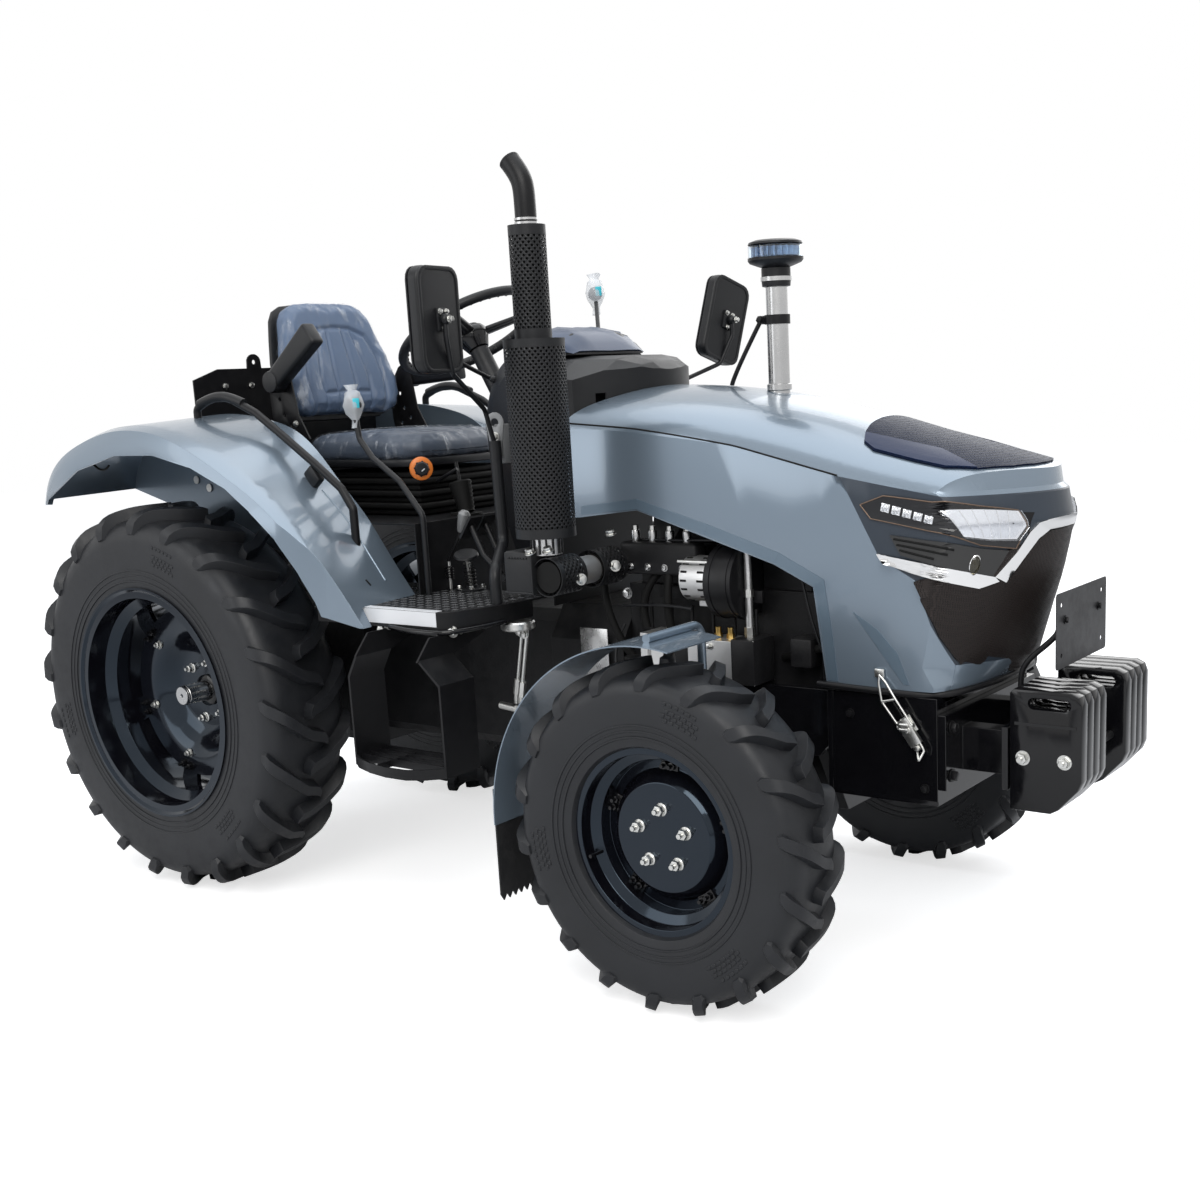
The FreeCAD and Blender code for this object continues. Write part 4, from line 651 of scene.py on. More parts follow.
def laid(tree, core, outline, thickness, lift=0.0, cuts=5):  # a sheet cut to the outline and pressed onto the surface
    bm = bmesh.new()
    middlePoint = at(*core)
    ways = [at(*p) - middlePoint for p in outline]
    facing = sum((w.normalized() for w in ways), Vector()).normalized()
    bm.faces.new([bm.verts.new(middlePoint + w / w.dot(facing)) for w in ways])
    bmesh.ops.triangulate(bm, faces=bm.faces, quad_method="BEAUTY", ngon_method="EAR_CLIP")
    bmesh.ops.subdivide_edges(bm, edges=bm.edges, cuts=cuts, use_grid_fill=True)
    under = bm.verts[:]
    grown = bmesh.ops.extrude_face_region(bm, geom=bm.faces[:], use_keep_orig=True)["geom"]
    for vert in (g for g in grown if isinstance(g, bmesh.types.BMVert)):
        vert.co = pressed(tree, vert.co, core, lift + thickness)
    for vert in under:
        vert.co = pressed(tree, vert.co, core, lift - 0.001)
    bmesh.ops.recalc_face_normals(bm, faces=bm.faces)
    return bm


def across(points):  # the same points on the left side
    return [(x, -y, z) for x, y, z in points]


def onBoth(tree, core, outline, thickness, lift=0.0, cuts=5):
    bm = laid(tree, core, outline, thickness, lift, cuts)
    addTo(bm, laid(tree, core, across(outline), thickness, lift, cuts))
    return bm


def onSurface(tree, core, points, lift, steps=1):  # a line pressed onto the surface, with extra points between
    found = []
    for a, b in zip(points, points[1:]):
        found += [pressed(tree, at(*Vector(a).lerp(Vector(b), i / steps)), core, lift) for i in range(steps)]
    return found + [pressed(tree, at(*points[-1]), core, lift)]


nose = {
    "insert": [(1.990, 0, 1.279), (2.002, -0.110, 1.257), (2.012, -0.150, 1.243), (2.030, -0.190, 1.222),
               (2.060, -0.208, 1.208), (2.162, -0.208, 1.184), (2.228, -0.203, 1.168), (2.290, -0.170, 1.156),
               (2.340, -0.110, 1.158), (2.366, -0.050, 1.162), (2.372, 0, 1.163)],
    "facet": [(2.014, -0.155, 1.241), (2.030, -0.188, 1.222), (2.062, -0.205, 1.208), (2.162, -0.204, 1.184),
              (2.228, -0.199, 1.168), (2.286, -0.170, 1.157), (2.186, -0.130, 1.202)],
    "lampFrame": [(2.056, -0.264, 1.099), (2.112, -0.263, 1.119), (2.224, -0.256, 1.106), (2.308, -0.203, 1.093),
                  (2.364, -0.141, 1.079), (2.379, -0.125, 1.045), (2.359, -0.139, 0.998), (2.308, -0.203, 1.011),
                  (2.211, -0.255, 1.045), (2.081, -0.263, 1.069)],
    "cells": ((2.104, -0.262, 1.0955), (2.228, -0.255, 1.066)),
    "projector": [(2.241, -0.254, 1.088), (2.308, -0.204, 1.086), (2.364, -0.141, 1.077), (2.376, -0.128, 1.046),
                  (2.361, -0.142, 1.019), (2.322, -0.190, 1.023), (2.280, -0.230, 1.032)],
    "pod": [(2.124, -0.260, 1.034), (2.210, -0.255, 1.024), (2.307, -0.202, 1.004), (2.349, -0.152, 0.995),
            (2.322, -0.172, 0.942), (2.286, -0.210, 0.946), (2.229, -0.253, 0.970), (2.149, -0.258, 0.991)],
    "louvres": [((2.134, -0.259, 1.026), (2.262, -0.240, 1.004)), ((2.141, -0.259, 1.014), (2.250, -0.246, 0.994)),
                ((2.147, -0.258, 1.002), (2.226, -0.254, 0.985))],
    "fogLamp": (2.294, -0.207, 0.970),
    "strip": [(2.092, -0.261, 0.993), (2.181, -0.256, 0.966), (2.259, -0.234, 0.944), (2.296, -0.198, 0.932),
              (2.322, -0.168, 0.940), (2.331, -0.160, 0.929), (2.297, -0.192, 0.917), (2.259, -0.231, 0.931),
              (2.181, -0.256, 0.951), (2.104, -0.261, 0.974)],
    "vee": [(2.322, -0.168, 0.940), (2.359, -0.137, 0.990), (2.382, -0.117, 1.033), (2.395, -0.100, 1.051),
            (2.418, -0.046, 1.056), (2.424, 0, 1.057), (2.421, 0, 1.036), (2.416, -0.034, 1.035),
            (2.406, -0.070, 1.034), (2.389, -0.095, 1.016), (2.370, -0.117, 0.980), (2.338, -0.146, 0.926)],
    "mesh": [(2.172, -0.256, 0.936), (2.259, -0.231, 0.924), (2.297, -0.190, 0.912), (2.338, -0.144, 0.922),
             (2.370, -0.113, 0.978), (2.389, -0.091, 1.012), (2.406, -0.066, 1.030), (2.419, 0, 1.032),
             (2.400, 0, 0.930), (2.360, 0, 0.800), (2.333, 0, 0.742), (2.300, -0.095, 0.728),
             (2.256, -0.188, 0.740), (2.225, -0.236, 0.815), (2.192, -0.253, 0.895)],
    "groove": [(2.029, -0.260, 0.860), (2.090, -0.257, 0.822), (2.135, -0.255, 0.772), (2.160, -0.252, 0.705),
               (2.148, -0.252, 0.705), (2.118, -0.256, 0.776), (2.073, -0.258, 0.829)],
}


def wholeWidth(half):  # a centred outline from its right half
    ends = [i for i, p in enumerate(half) if abs(p[1]) < 1e-6]
    if ends[0] > 0:  # turned to begin and end on the centre line
        half = half[ends[-1]:] + half[:ends[0] + 1]
    left = [p for p in across(half) if abs(p[1]) > 1e-6]
    return half + left[::-1]


def makeNose():
    topCore, maskCore, sideCore = (2.20, 0, 0.70), (1.93, 0, 0.97), (2.08, 0, 0.80)
    top = surfaceOf("hood_top")
    mask = surfaceOf("grille_mask", "headlamps")
    side = surfaceOf("hood_side_right", "hood_side_left")
    piece("hood_insert", "hood", laid(top, topCore, wholeWidth(nose["insert"]), 0.004, cuts=7), insertMesh,
          50)
    piece("hood_insert_facets", "hood", onBoth(top, topCore, nose["facet"], 0.0022, 0.004), insertPlain, 50)
    piece("lamp_frames", "hood", onBoth(mask, maskCore, nose["lampFrame"], 0.003, 0.0015, 9), lampDark, 40)
    frames = [onSurface(mask, maskCore, o + o[:1], 0.004, 5) for o in (nose["lampFrame"], across(nose["lampFrame"]))]
    tube("lamp_frame_trim", "hood", frames, 0.0016, bronze, order=2)
    piece("lamp_reflectors", "hood", onBoth(mask, maskCore, nose["projector"], 0.002, 0.003), lampMirror, 30)
    first, last = (Vector(p) for p in nose["cells"])
    cells = bmesh.new()
    glassy = bmesh.new()
    for way in (1, -1):
        for i in range(5):
            centre = first.lerp(last, (i + 0.5) / 5)
            place = onSurface(mask, maskCore, [(centre.x, way * centre.y, centre.z)], 0.0045)[0]
            tilt = math.degrees(math.atan2(first.z - last.z, last.x - first.x))
            turn = (0, tilt, way * math.degrees(math.atan2(last.y - first.y, last.x - first.x)))
            addTo(cells, block((0.0205, 0.004, 0.0190 - 0.0006 * i), 0.0012), moved(place, turn))
            for row in (-1, 1):
                for column in (-1, 0, 1):
                    spot = place + Vector((column * 0.0062, -way * 0.0021, row * 0.0045))
                    addTo(glassy, block((0.0052, 0.0030, 0.0075), 0.0012, 1), moved(spot, turn))
    piece("daylight_lamp_cells", "hood", cells, lampMirror)
    piece("daylight_lamp_lenses", "hood", glassy, lampClear)
    optics = bmesh.new()
    ribs = []
    for way in (1, -1):
        for i in range(5):  # curved steps of the reflector
            x = 0.2 + 0.16 * i
            low = Vector(nose["projector"][6]).lerp(Vector(nose["projector"][4]), x)
            high = Vector(nose["projector"][0]).lerp(Vector(nose["projector"][2]), x)
            mid = (low + high) / 2 + Vector((0.008, -0.004, 0))
            line = [(p.x, way * p.y, p.z) for p in (low, mid, high)]
            ribs.append(onSurface(mask, maskCore, line, 0.0052, 2))
        for x, size in ((0.42, 0.0165), (0.76, 0.0135)):
            centre = Vector(nose["projector"][0]).lerp(Vector(nose["projector"][3]), x) + Vector((0, 0, -0.014))
            place, normal = mask.find_nearest(at(centre.x, way * centre.y, centre.z))[:2]
            dome = [(size, 0), (size, 0.003), (size * 0.86, 0.007), (size * 0.55, 0.0105), (0, 0.012)]
            addTo(optics, turned(dome, 28), toward(place + normal * 0.004, normal))
    tube("lamp_reflector_steps", "hood", ribs, 0.0012, chrome, order=3)
    piece("lamp_projector_lenses", "hood", optics, lampClear)
    piece("lamp_covers", "hood", onBoth(mask, maskCore, nose["projector"], 0.0012, 0.0165), coverClear, 30)
    piece("mask_pods", "hood", onBoth(mask, maskCore, nose["pod"], 0.005), podBlack, 40, bevel=0.0015)
    # the louvre slots are dark lines laid on the pods: painted shade for the openings
    slots = [onSurface(mask, maskCore, line if way > 0 else across(line), 0.0062, 6) for line in nose["louvres"]
             for way in (1, -1)]
    tube("mask_pod_slot_shade", "hood", slots, 0.0022, matteBlack, order=2)
    fog = bmesh.new()
    rings = bmesh.new()
    for way in (1, -1):
        x, y, z = nose["fogLamp"]
        place, normal = mask.find_nearest(at(x, way * y, z))[:2]
        oval = Matrix.Diagonal((0.55, 1, 1, 1))
        lie = toward(place + normal * 0.006, normal)
        upright = lie.inverted().to_3x3() @ Vector((0.25, 0, 1))
        spin = Matrix.Rotation(math.atan2(upright.y, upright.x) - math.pi / 2, 4, "Z")
        addTo(fog, turned([(0.0205, 0), (0.0200, 0.003), (0.0150, 0.006), (0.0080, 0.008), (0, 0.0086)], 32),
              lie @ spin @ oval)
        addTo(rings, turned([(0.0225, -0.001), (0.0225, 0.003), (0.0205, 0.0042), (0.0200, 0.001)], 32, True),
              lie @ spin @ oval)
    piece("fog_lamp_lenses", "hood", fog, lampAmber)
    piece("fog_lamp_rings", "hood", rings, chrome)
    piece("mask_strips", "hood", onBoth(mask, maskCore, nose["strip"], 0.004, 0.0025, 9), chrome, 35,
          bevel=0.001)
    piece("mask_vee", "hood", laid(mask, maskCore, wholeWidth(nose["vee"]), 0.007, cuts=4), chrome, 35,
          bevel=0.0015)
    piece("grille_screen", "hood", laid(mask, maskCore, wholeWidth(nose["mesh"]), 0.002, 0.0025, 11), grilleMesh,
          40)
    edges = [onSurface(mask, maskCore, line, 0.002, 3) for line in (nose["mesh"][10:], across(nose["mesh"][10:]))]
    tube("grille_screen_edge", "hood", edges, 0.0022, satinBlack, order=2)
    # the groove is a thin sheet of darker paint: painted shade of the formed crease
    groove = onBoth(side, sideCore, nose["groove"], 0.0012, cuts=6)
    piece("hood_side_groove_shade", "hood", groove, paintedShade, 40)
    lip = [(1.935, -0.262, 0.690), (2.060, -0.260, 0.686), (2.180, -0.252, 0.682), (2.240, -0.222, 0.682),
           (2.283, -0.150, 0.690), (2.298, -0.070, 0.694), (2.300, 0, 0.695)]
    line = [at(*p) for p in lip] + [at(*p) for p in across(lip[:-1])[::-1]]
    tube("hood_edge_tube", "hood", [line], 0.008, satinBlack, order=3)


insertMesh = newMaterial("insertMesh", (0.006, 0.012, 0.034), 0.42, 0.0, 0.05, 0.0, 900, 0.04, specular=0.07)
insertPlain = newMaterial("insertPlain", (0.010, 0.020, 0.060), 0.30, 0.0, 0.05, 0.0, 700, 0.04, specular=0.16)
lampDark = newMaterial("lampDark", (0.012, 0.012, 0.014), 0.14, 0.0, 0.05, 0.0, 600, 0.02, specular=0.5)
lampMirror = newMaterial("lampMirror", (0.78, 0.79, 0.81), 0.18, 1.0, 0.15, 0.0, 260, 0.25)
podBlack = newMaterial("podBlack", (0.024, 0.024, 0.024), 0.30, 0.0, 0.05, 0.02, 700, 0.06, specular=0.5)
bronze = newMaterial("bronzeTrim", (0.16, 0.11, 0.08), 0.30, 0.7, 0.05, 0.0, 500, 0.04)
grilleMesh = newMaterial("grilleMesh", (0.016, 0.011, 0.010), 0.45, 0.0, 0.1, 0.03, 900, 0.1, specular=0.3)
# a darker copy of the blue paint, used as painted shade on the hood groove and the lower edge bands
paintedShade = newMaterial("paintedShade", (0.125, 0.175, 0.225), 0.32, 0.45, 0.03, 0.03, 900, 0.03, coat=0.4)


def clearPlastic(name, color, rough=0.03):
    material = bpy.data.materials.new(name)
    material.use_nodes = True
    shader = material.node_tree.nodes["Principled BSDF"]
    shader.inputs["Base Color"].default_value = (*color, 1)
    shader.inputs["Roughness"].default_value = rough
    shader.inputs["Transmission Weight"].default_value = 1
    shader.inputs["IOR"].default_value = 1.46
    return material


lampClear = clearPlastic("lampClear", (0.95, 0.96, 0.98))
coverClear = clearPlastic("coverClear", (0.97, 0.98, 1.0), 0.01)
lampAmber = clearPlastic("lampAmber", (0.85, 0.78, 0.52), 0.08)


def addWeave(material, scale, depth, holeShade):  # fine woven holes, as height, with painted shade in the holes as colour
    tree = material.node_tree
    shader = tree.nodes["Principled BSDF"]
    place = tree.nodes.new("ShaderNodeTexCoord").outputs["Object"]
    lay = tree.nodes.new("ShaderNodeMapping")
    lay.inputs["Scale"].default_value = (scale, scale, scale)
    tree.links.new(place, lay.inputs["Vector"])
    holes = tree.nodes.new("ShaderNodeTexVoronoi")
    holes.inputs["Scale"].default_value = 1
    holes.inputs["Randomness"].default_value = 0
    tree.links.new(lay.outputs["Vector"], holes.inputs["Vector"])
    web = addRange(tree, holes.outputs["Distance"], 0.30, 0.48, 0, 1)
    color = shader.inputs["Base Color"].links[0].from_socket
    # painted shade: the colour inside the holes is scaled down to stand for the shade behind them
    dark = tree.nodes.new("ShaderNodeVectorMath")
    dark.operation = "SCALE"
    tree.links.new(color, dark.inputs[0])
    dark.inputs["Scale"].default_value = holeShade
    tree.links.new(addMix(tree, web, dark.outputs[0], color), shader.inputs["Base Color"])
    bump = tree.nodes.new("ShaderNodeBump")
    bump.inputs["Strength"].default_value = 0.9
    bump.inputs["Distance"].default_value = depth
    tree.links.new(web, bump.inputs["Height"])
    tree.links.new(bump.outputs["Normal"], shader.inputs["Normal"])


addWeave(insertMesh, 230, 0.0008, 0.25)
addWeave(grilleMesh, 260, 0.0010, 0.20)
makeNose()
print("scene: nose")


def met(tree, place, way):  # where a line first meets the surface, and the way the surface faces there
    way = Vector(way).normalized()
    hit, normal = tree.ray_cast(Vector(place), way)[:2]
    if hit is None:
        hit, normal = tree.find_nearest(Vector(place))[:2]
    return hit, -normal if normal.dot(way) > 0 else normal


def addLoop(bm, points):  # a closed line of edges in XY
    line = [bm.verts.new((x, y, 0)) for x, y in points]
    for a, b in zip(line, line[1:] + line[:1]):
        bm.edges.new((a, b))


def cutPlate(outline, holes, thickness, bevel=0.0):  # a flat sheet in XY with openings, growing along +Z
    bm = bmesh.new()
    for loop in [outline] + holes:
        addLoop(bm, loop)
    bmesh.ops.triangle_fill(bm, use_beauty=True, use_dissolve=False, edges=bm.edges[:])
    grown = bmesh.ops.extrude_face_region(bm, geom=bm.faces[:], use_keep_orig=True)["geom"]
    bmesh.ops.translate(bm, vec=(0, 0, thickness), verts=[g for g in grown if isinstance(g, bmesh.types.BMVert)])
    bmesh.ops.recalc_face_normals(bm, faces=bm.faces)
    if bevel:
        softened(bm, [e for e in bm.edges if len(e.link_faces) == 2 and e.calc_face_angle(0) > 0.9], bevel)
    return bm


def ring(centre, radius, count):  # points of a circle in a plane
    return arc(*centre, radius, 0, 360 / count, count)


def slotShape(centre, length, width, count=6):  # a long hole with round ends
    half = length / 2 - width / 2
    return [p for shift, first in ((half, -90), (-half, 90))
            for p in arc(centre[0] + shift, centre[1], width / 2, first, 180 / count, count + 1)]


facingAhead = Matrix(((0, 0, 1), (1, 0, 0), (0, 1, 0))).to_4x4()  # stands a sheet across, with its face ahead


def upright(place, way):  # the sheet's X runs level and its Y runs up, with its face towards way
    out = Vector(way).normalized()
    level = Vector((0, 0, 1)).cross(out).normalized()
    turn = Matrix((level, out.cross(level), out)).transposed().to_4x4()
    return Matrix.Translation(Vector(place)) @ turn


def walled(obj, thickness):
    wall = obj.modifiers.new("wall", "SOLIDIFY")
    wall.thickness = thickness
    wall.offset = -1
    return obj


wheels = {
    "front": {"bolts": 5, "boltRing": 0.066, "boltStart": 90, "boltAcross": 0.021, "boltStud": 0.012,
              "lugs": 5, "lugStart": 160, "lugRing": 0.160, "valve": 0.185},
    "rear": {"bolts": 6, "boltRing": 0.086, "boltStart": 15, "boltAcross": 0.019, "boltStud": 0.009,
             "lugs": 6, "lugStart": 15, "lugRing": 0.228, "valve": 0.285, "outerRing": 0.190,
             "stub": 0.0285, "stubReach": 0.0915},
}


def makeWheelTrim(end, sideName):
    fit = wheels[end]
    out = -1 if sideName == "right" else 1
    body = end + "_wheel_" + sideName
    hub = middle(end + "_rim_" + sideName)
    tree = surfaceOf(end + "_rim_" + sideName)

    def spot(radius, degrees):
        a = math.radians(degrees)
        return met(tree, (hub.x + radius * math.cos(a), out * 0.95, hub.z + radius * math.sin(a)), (0, -out, 0))[0]

    bolts = bmesh.new()
    axis = (0, out, 0)
    for i in range(fit["bolts"]):
        turn = fit["boltStart"] + 360 * i / fit["bolts"]
        place = spot(fit["boltRing"], turn)
        addTo(bolts, turned([(0, 0), (0.0152, 0), (0.0152, 0.003), (0.0125, 0.005), (0, 0.005)], 24),
              toward(place, axis))
        addBolt(bolts, place + Vector(axis) * 0.005, axis, fit["boltAcross"], 0.013, False, fit["boltStud"])
        if "outerRing" in fit:
            addBolt(bolts, spot(fit["outerRing"], turn), axis, 0.017, 0.010, True, 0.006)
    piece(body + "_bolts", body, bolts, zinc)
    black = bmesh.new()
    for i in range(fit["lugs"]):
        turn = fit["lugStart"] + 360 * i / fit["lugs"]
        for swing in (-3.4, 3.4):
            place = spot(fit["lugRing"], turn + swing)
            addBolt(black, place, axis, 0.017, 0.012, True, 0.010)
        if end == "front":
            a = math.radians(turn)
            centre = spot(fit["lugRing"], turn)
            turnIt = Matrix.Rotation(-a, 4, "Y")
            addTo(black, block((0.036, 0.010, 0.046), 0.003), Matrix.Translation(centre) @ turnIt)
    a = math.radians(fit["lugStart"] + 38)
    low = Vector((hub.x + fit["valve"] * math.cos(a), hub.y + out * 0.03, hub.z + fit["valve"] * math.sin(a)))
    addRod(black, low, low + Vector((0, out * 0.035, 0)), 0.0045, 0.0035, 12)
    addRod(black, low + Vector((0, out * 0.035, 0)), low + Vector((0, out * 0.046, 0)), 0.0052, 0.0045, 12)
    piece(body + "_clamps", body, black, glossBlack)
    if "stub" in fit:
        root = Vector((hub.x, spot(fit["stub"] + 0.02, 200).y, hub.z))
        r, reach = fit["stub"], fit["stubReach"]
        profile = [(0, 0), (r, 0), (r, reach - 0.012), (r - 0.0015, reach - 0.010), (r - 0.0015, reach - 0.008),
                   (r, reach - 0.006), (r - 0.003, reach), (0.006, reach), (0.004, reach - 0.004), (0, reach - 0.004)]
        stub = turned(profile, 36)
        stub.transform(toward(root, axis))
        piece(body + "_axle_end", body, stub, steel)
        collar = turned([(0.030, 0), (0.046, 0), (0.046, 0.006), (0.040, 0.009), (0.030, 0.009)], 36, True)
        collar.transform(toward(root, axis))
        piece(body + "_collar", body, collar, glossBlack)


for sideName in ("right", "left"):
    makeWheelTrim("front", sideName)
    makeWheelTrim("rear", sideName)
print("scene: wheel trim")


silencer = {
    "place": (1.310, -0.450), "low": 1.032, "step": 1.490, "top": 1.743,
    "wide": 0.0715, "wideColumns": 34, "narrow": 0.0430, "narrowColumns": 20,
    "pitch": 0.0072, "hole": 0.0033, "band": 0.022, "outlet": 0.0250,
    "box": (1.262, -0.455, 0.950), "boxSize": (0.088, 0.100, 0.100),
    "outerGuard": (1.346, -0.498, 0.941), "innerGuard": (1.346, -0.338, 0.941), "guard": 0.046,
}


def perforated(radius, low, high, columns, pitch, hole):  # a sheet of staggered holes rolled into a tube
    wide = 2 * math.pi * radius / columns
    cell = bmesh.new()
    corners = ((-1, -1), (0, -1), (1, -1), (1, 1), (0, 1), (-1, 1))
    for points in ([(x * wide / 2, y * pitch / 2) for x, y in corners], arc(0, 0, hole, -150, 60, 6)):
        addLoop(cell, points)
    bmesh.ops.bridge_loops(cell, edges=cell.edges[:])
    row = bmesh.new()
    for column in range(columns):
        addTo(row, cell.copy(), Matrix.Translation(((column + 0.5) * wide, 0, 0)))
    cell.free()
    bm = bmesh.new()
    rows = round((high - low) / pitch)
    for i in range(rows):
        addTo(bm, row.copy(), Matrix.Translation((wide / 2 * (i % 2), low + (i + 0.5) * pitch, 0)))
    row.free()
    for vert in bm.verts:
        turn = vert.co.x / radius
        vert.co = (radius * math.cos(turn), radius * math.sin(turn), vert.co.y)
    bmesh.ops.remove_doubles(bm, verts=bm.verts, dist=1e-5)
    bmesh.ops.recalc_face_normals(bm, faces=bm.faces)
    return bm


def band(radius, low, high, wall=0.0016):
    return turned([(radius - wall, low), (radius + 0.0004, low), (radius + 0.0004, high), (radius - wall, high)],
                  48, closed=True)


def makeSilencer():
    x, y = silencer["place"]
    stand = placed(x, y, 0)
    holes = bmesh.new()
    bands = bmesh.new()
    core = bmesh.new()
    for radius, columns, low, high in ((silencer["wide"], silencer["wideColumns"], silencer["low"], silencer["step"]),
                                       (silencer["narrow"], silencer["narrowColumns"], silencer["step"],
                                        silencer["top"])):
        edge = silencer["band"]
        rows = round((high - low - 2 * edge) / silencer["pitch"])
        first = low + edge
        last = first + rows * silencer["pitch"]
        addTo(holes, perforated(radius, first, last, columns, silencer["pitch"], silencer["hole"]), stand)
        addTo(bands, band(radius, low, first + 0.0008), stand)
        addTo(bands, band(radius, last - 0.0008, high), stand)
        addTo(core, rod(high - low - 0.02, radius - 0.010, sides=32), placed(x, y, low + 0.01))
        addTo(bands, turned([(radius - 0.022, high - 0.0025), (radius - 0.0005, high - 0.0025),
                             (radius - 0.0005, high - 0.0010), (radius - 0.022, high - 0.0010)], 48, True), stand)
    for place in (silencer["outerGuard"], silencer["innerGuard"]):  # guards round the elbow's two ends
        lie = toward(at(*place), (0, 1, 0))
        addTo(holes, perforated(silencer["guard"], 0.014, 0.014 + 9 * 0.0078, 18, 0.0078, 0.0034), lie)
        addTo(bands, band(silencer["guard"], 0, 0.015), lie)
        addTo(bands, band(silencer["guard"], 0.084, 0.094), lie)
        addTo(core, rod(0.086, silencer["guard"] - 0.009, sides=28), lie @ Matrix.Translation((0, 0, 0.004)))
    obj = piece("silencer_guards", "chassis", holes, guardBlack, smooth=50)
    walled(obj, 0.0013)
    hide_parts("exhaust")
    piece("silencer_bands", "chassis", bands, guardBlack)
    piece("silencer_core", "chassis", core, matteBlack)
    case = bmesh.new()
    addTo(case, block(silencer["boxSize"], 0.006), placed(*silencer["box"]))
    addTo(case, block((0.004, 0.106, 0.106), 0.002), placed(1.306, -0.455, 0.950))
    addTo(case, block((0.092, 0.104, 0.006), 0.002), placed(1.262, -0.455, 0.902))
    for i in range(7):
        addTo(case, block((0.006, 0.004, 0.004), 0.0008, 1), placed(1.235 + i * 0.009, -0.506, 0.985))
    piece("elbow_box", "chassis", case, guardBlack)
    pipe = bmesh.new()
    addRod(pipe, at(1.346, -0.415, 0.941), at(1.346, -0.135, 0.941), 0.034, sides=32)
    addRod(pipe, at(x, y, 0.990), at(x, y, 1.042), 0.036, sides=32)
    piece("elbow_pipe", "chassis", pipe, aluminium)
    ribs = bmesh.new()
    for i in range(14):
        turn = Matrix.Rotation(2 * math.pi * i / 14, 4, "Z")
        addTo(ribs, block((0.007, 0.005, 0.046), 0.001, 1), placed(x, y, 1.016) @ turn
              @ Matrix.Translation((0.0365, 0, 0)))
    piece("elbow_clamp_ribs", "chassis", ribs, guardBlack)
    whites = bmesh.new()
    for place, way in (((1.300, -0.500, 0.998), (0, -0.4, 1)), ((1.345, -0.488, 1.002), (0, -0.4, 1)),
                       ((1.392, -0.430, 0.930), (1, -0.5, 0)), ((1.394, -0.300, 0.945), (1, -0.5, 0.2)),
                       ((1.366, -0.275, 1.018), (0, -0.3, 1))):
        addBolt(whites, at(*place), way, 0.018, 0.010)
    piece("elbow_bolts", "chassis", whites, zinc)
    top = [at(x, y, 1.735), at(x, y, 1.790), at(x, y, 1.825), at(x - 0.008, y, 1.852), at(x - 0.0375, y, 1.886)]
    outlet = tube("exhaust_outlet", "chassis", [top], silencer["outlet"], satinBlack, order=4,
                  resolution=10)
    outlet.data.bevel_resolution = 8
    way = (top[-1] - top[-2]).normalized()
    mouth = turned([(0.0215, -0.002), (0.0252, -0.002), (0.0252, 0.0025), (0.0215, 0.0025)], 32, True)
    mouth.transform(toward(top[-1], way))
    piece("outlet_rim", "chassis", mouth, satinBlack)
    # a matte black disc in the outlet's mouth: painted shade for the inside of the pipe
    bore = rod(0.0012, 0.0216, sides=28)
    bore.transform(toward(top[-1] + way * 0.0002, way))
    piece("outlet_bore_shade", "chassis", bore, matteBlack)
    rings = bmesh.new()
    for z in (1.7445, 1.7535):
        addTo(rings, band(silencer["outlet"] + 0.0018, z, z + 0.005, 0.003), stand)
    piece("outlet_clamp", "chassis", rings, steel)


guardBlack = newMaterial("guardBlack", (0.014, 0.0145, 0.016), 0.40, 0.35, 0.10, 0.03, 700, 0.15, specular=0.35)
makeSilencer()
print("scene: silencer")


weights = {
    "back": 2.377, "face": 2.538, "low": 0.437, "top": 0.706, "start": 0.062, "slab": 0.0362, "pitch": 0.0375,
    "count": 4, "bolts": ((2.408, 0.556), (2.501, 0.556)),
}


def makeWeights():
    w = weights
    outline = [(w["back"], w["low"]), (w["face"] - 0.070, w["low"]), (w["face"] - 0.052, w["low"] + 0.010),
               (w["face"] - 0.008, w["low"] + 0.058), (w["face"], w["low"] + 0.078), (w["face"], w["top"] - 0.026),
               (w["face"] - 0.007, w["top"] - 0.008), (w["face"] - 0.024, w["top"]), (w["back"] + 0.010, w["top"]),
               (w["back"], w["top"] - 0.010)]
    hand = [(w["back"] + 0.088 + x, w["top"] - 0.029 + z) for x, z in slotShape((0, 0), 0.092, 0.024)]
    slabs = bmesh.new()
    bolts = bmesh.new()
    for way in (1, -1):
        for i in range(w["count"]):
            near = w["start"] + i * w["pitch"]
            flat = cutPlate(outline, [hand], w["slab"], 0.004)
            stand = Matrix.Translation((0, way * near + (0 if way < 0 else w["slab"]), 0)) @ spun(90, "X")
            addTo(slabs, flat, Matrix.Translation(axle) @ stand)
        outer = w["start"] + (w["count"] - 1) * w["pitch"] + w["slab"]
        addTo(slabs, block((0.004, 0.150 - 0.008, 0.20), 0.001), placed(w["back"] + 0.03, way * 0.136, 0.56))
        for x, z in w["bolts"]:
            addBolt(bolts, at(x, way * (outer - 0.0005), z), (0, way, 0), 0.021, 0.012, True, 0.010)
        rail = [(w["back"] + 0.012, 0.628), (w["face"] - 0.012, 0.628), (w["face"] - 0.012, 0.6345),
                (w["back"] + 0.012, 0.6345)]
        addTo(slabs, cutPlate(rail, [], 0.0015),
              Matrix.Translation(axle + Vector((0, way * outer + (0.0014 if way > 0 else 0), 0)))
              @ spun(90, "X"))
    obj = piece("weight_slabs", "chassis", slabs, glossBlack, smooth=40)
    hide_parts("front_weights")
    piece("weight_bolts", "chassis", bolts, zinc)
    spacer = bmesh.new()
    addRod(spacer, at(2.408, -0.205, 0.556), at(2.408, 0.205, 0.556), 0.010)
    addRod(spacer, at(2.501, -0.205, 0.556), at(2.501, 0.205, 0.556), 0.010)
    piece("weight_rods", "chassis", spacer, satinBlack)


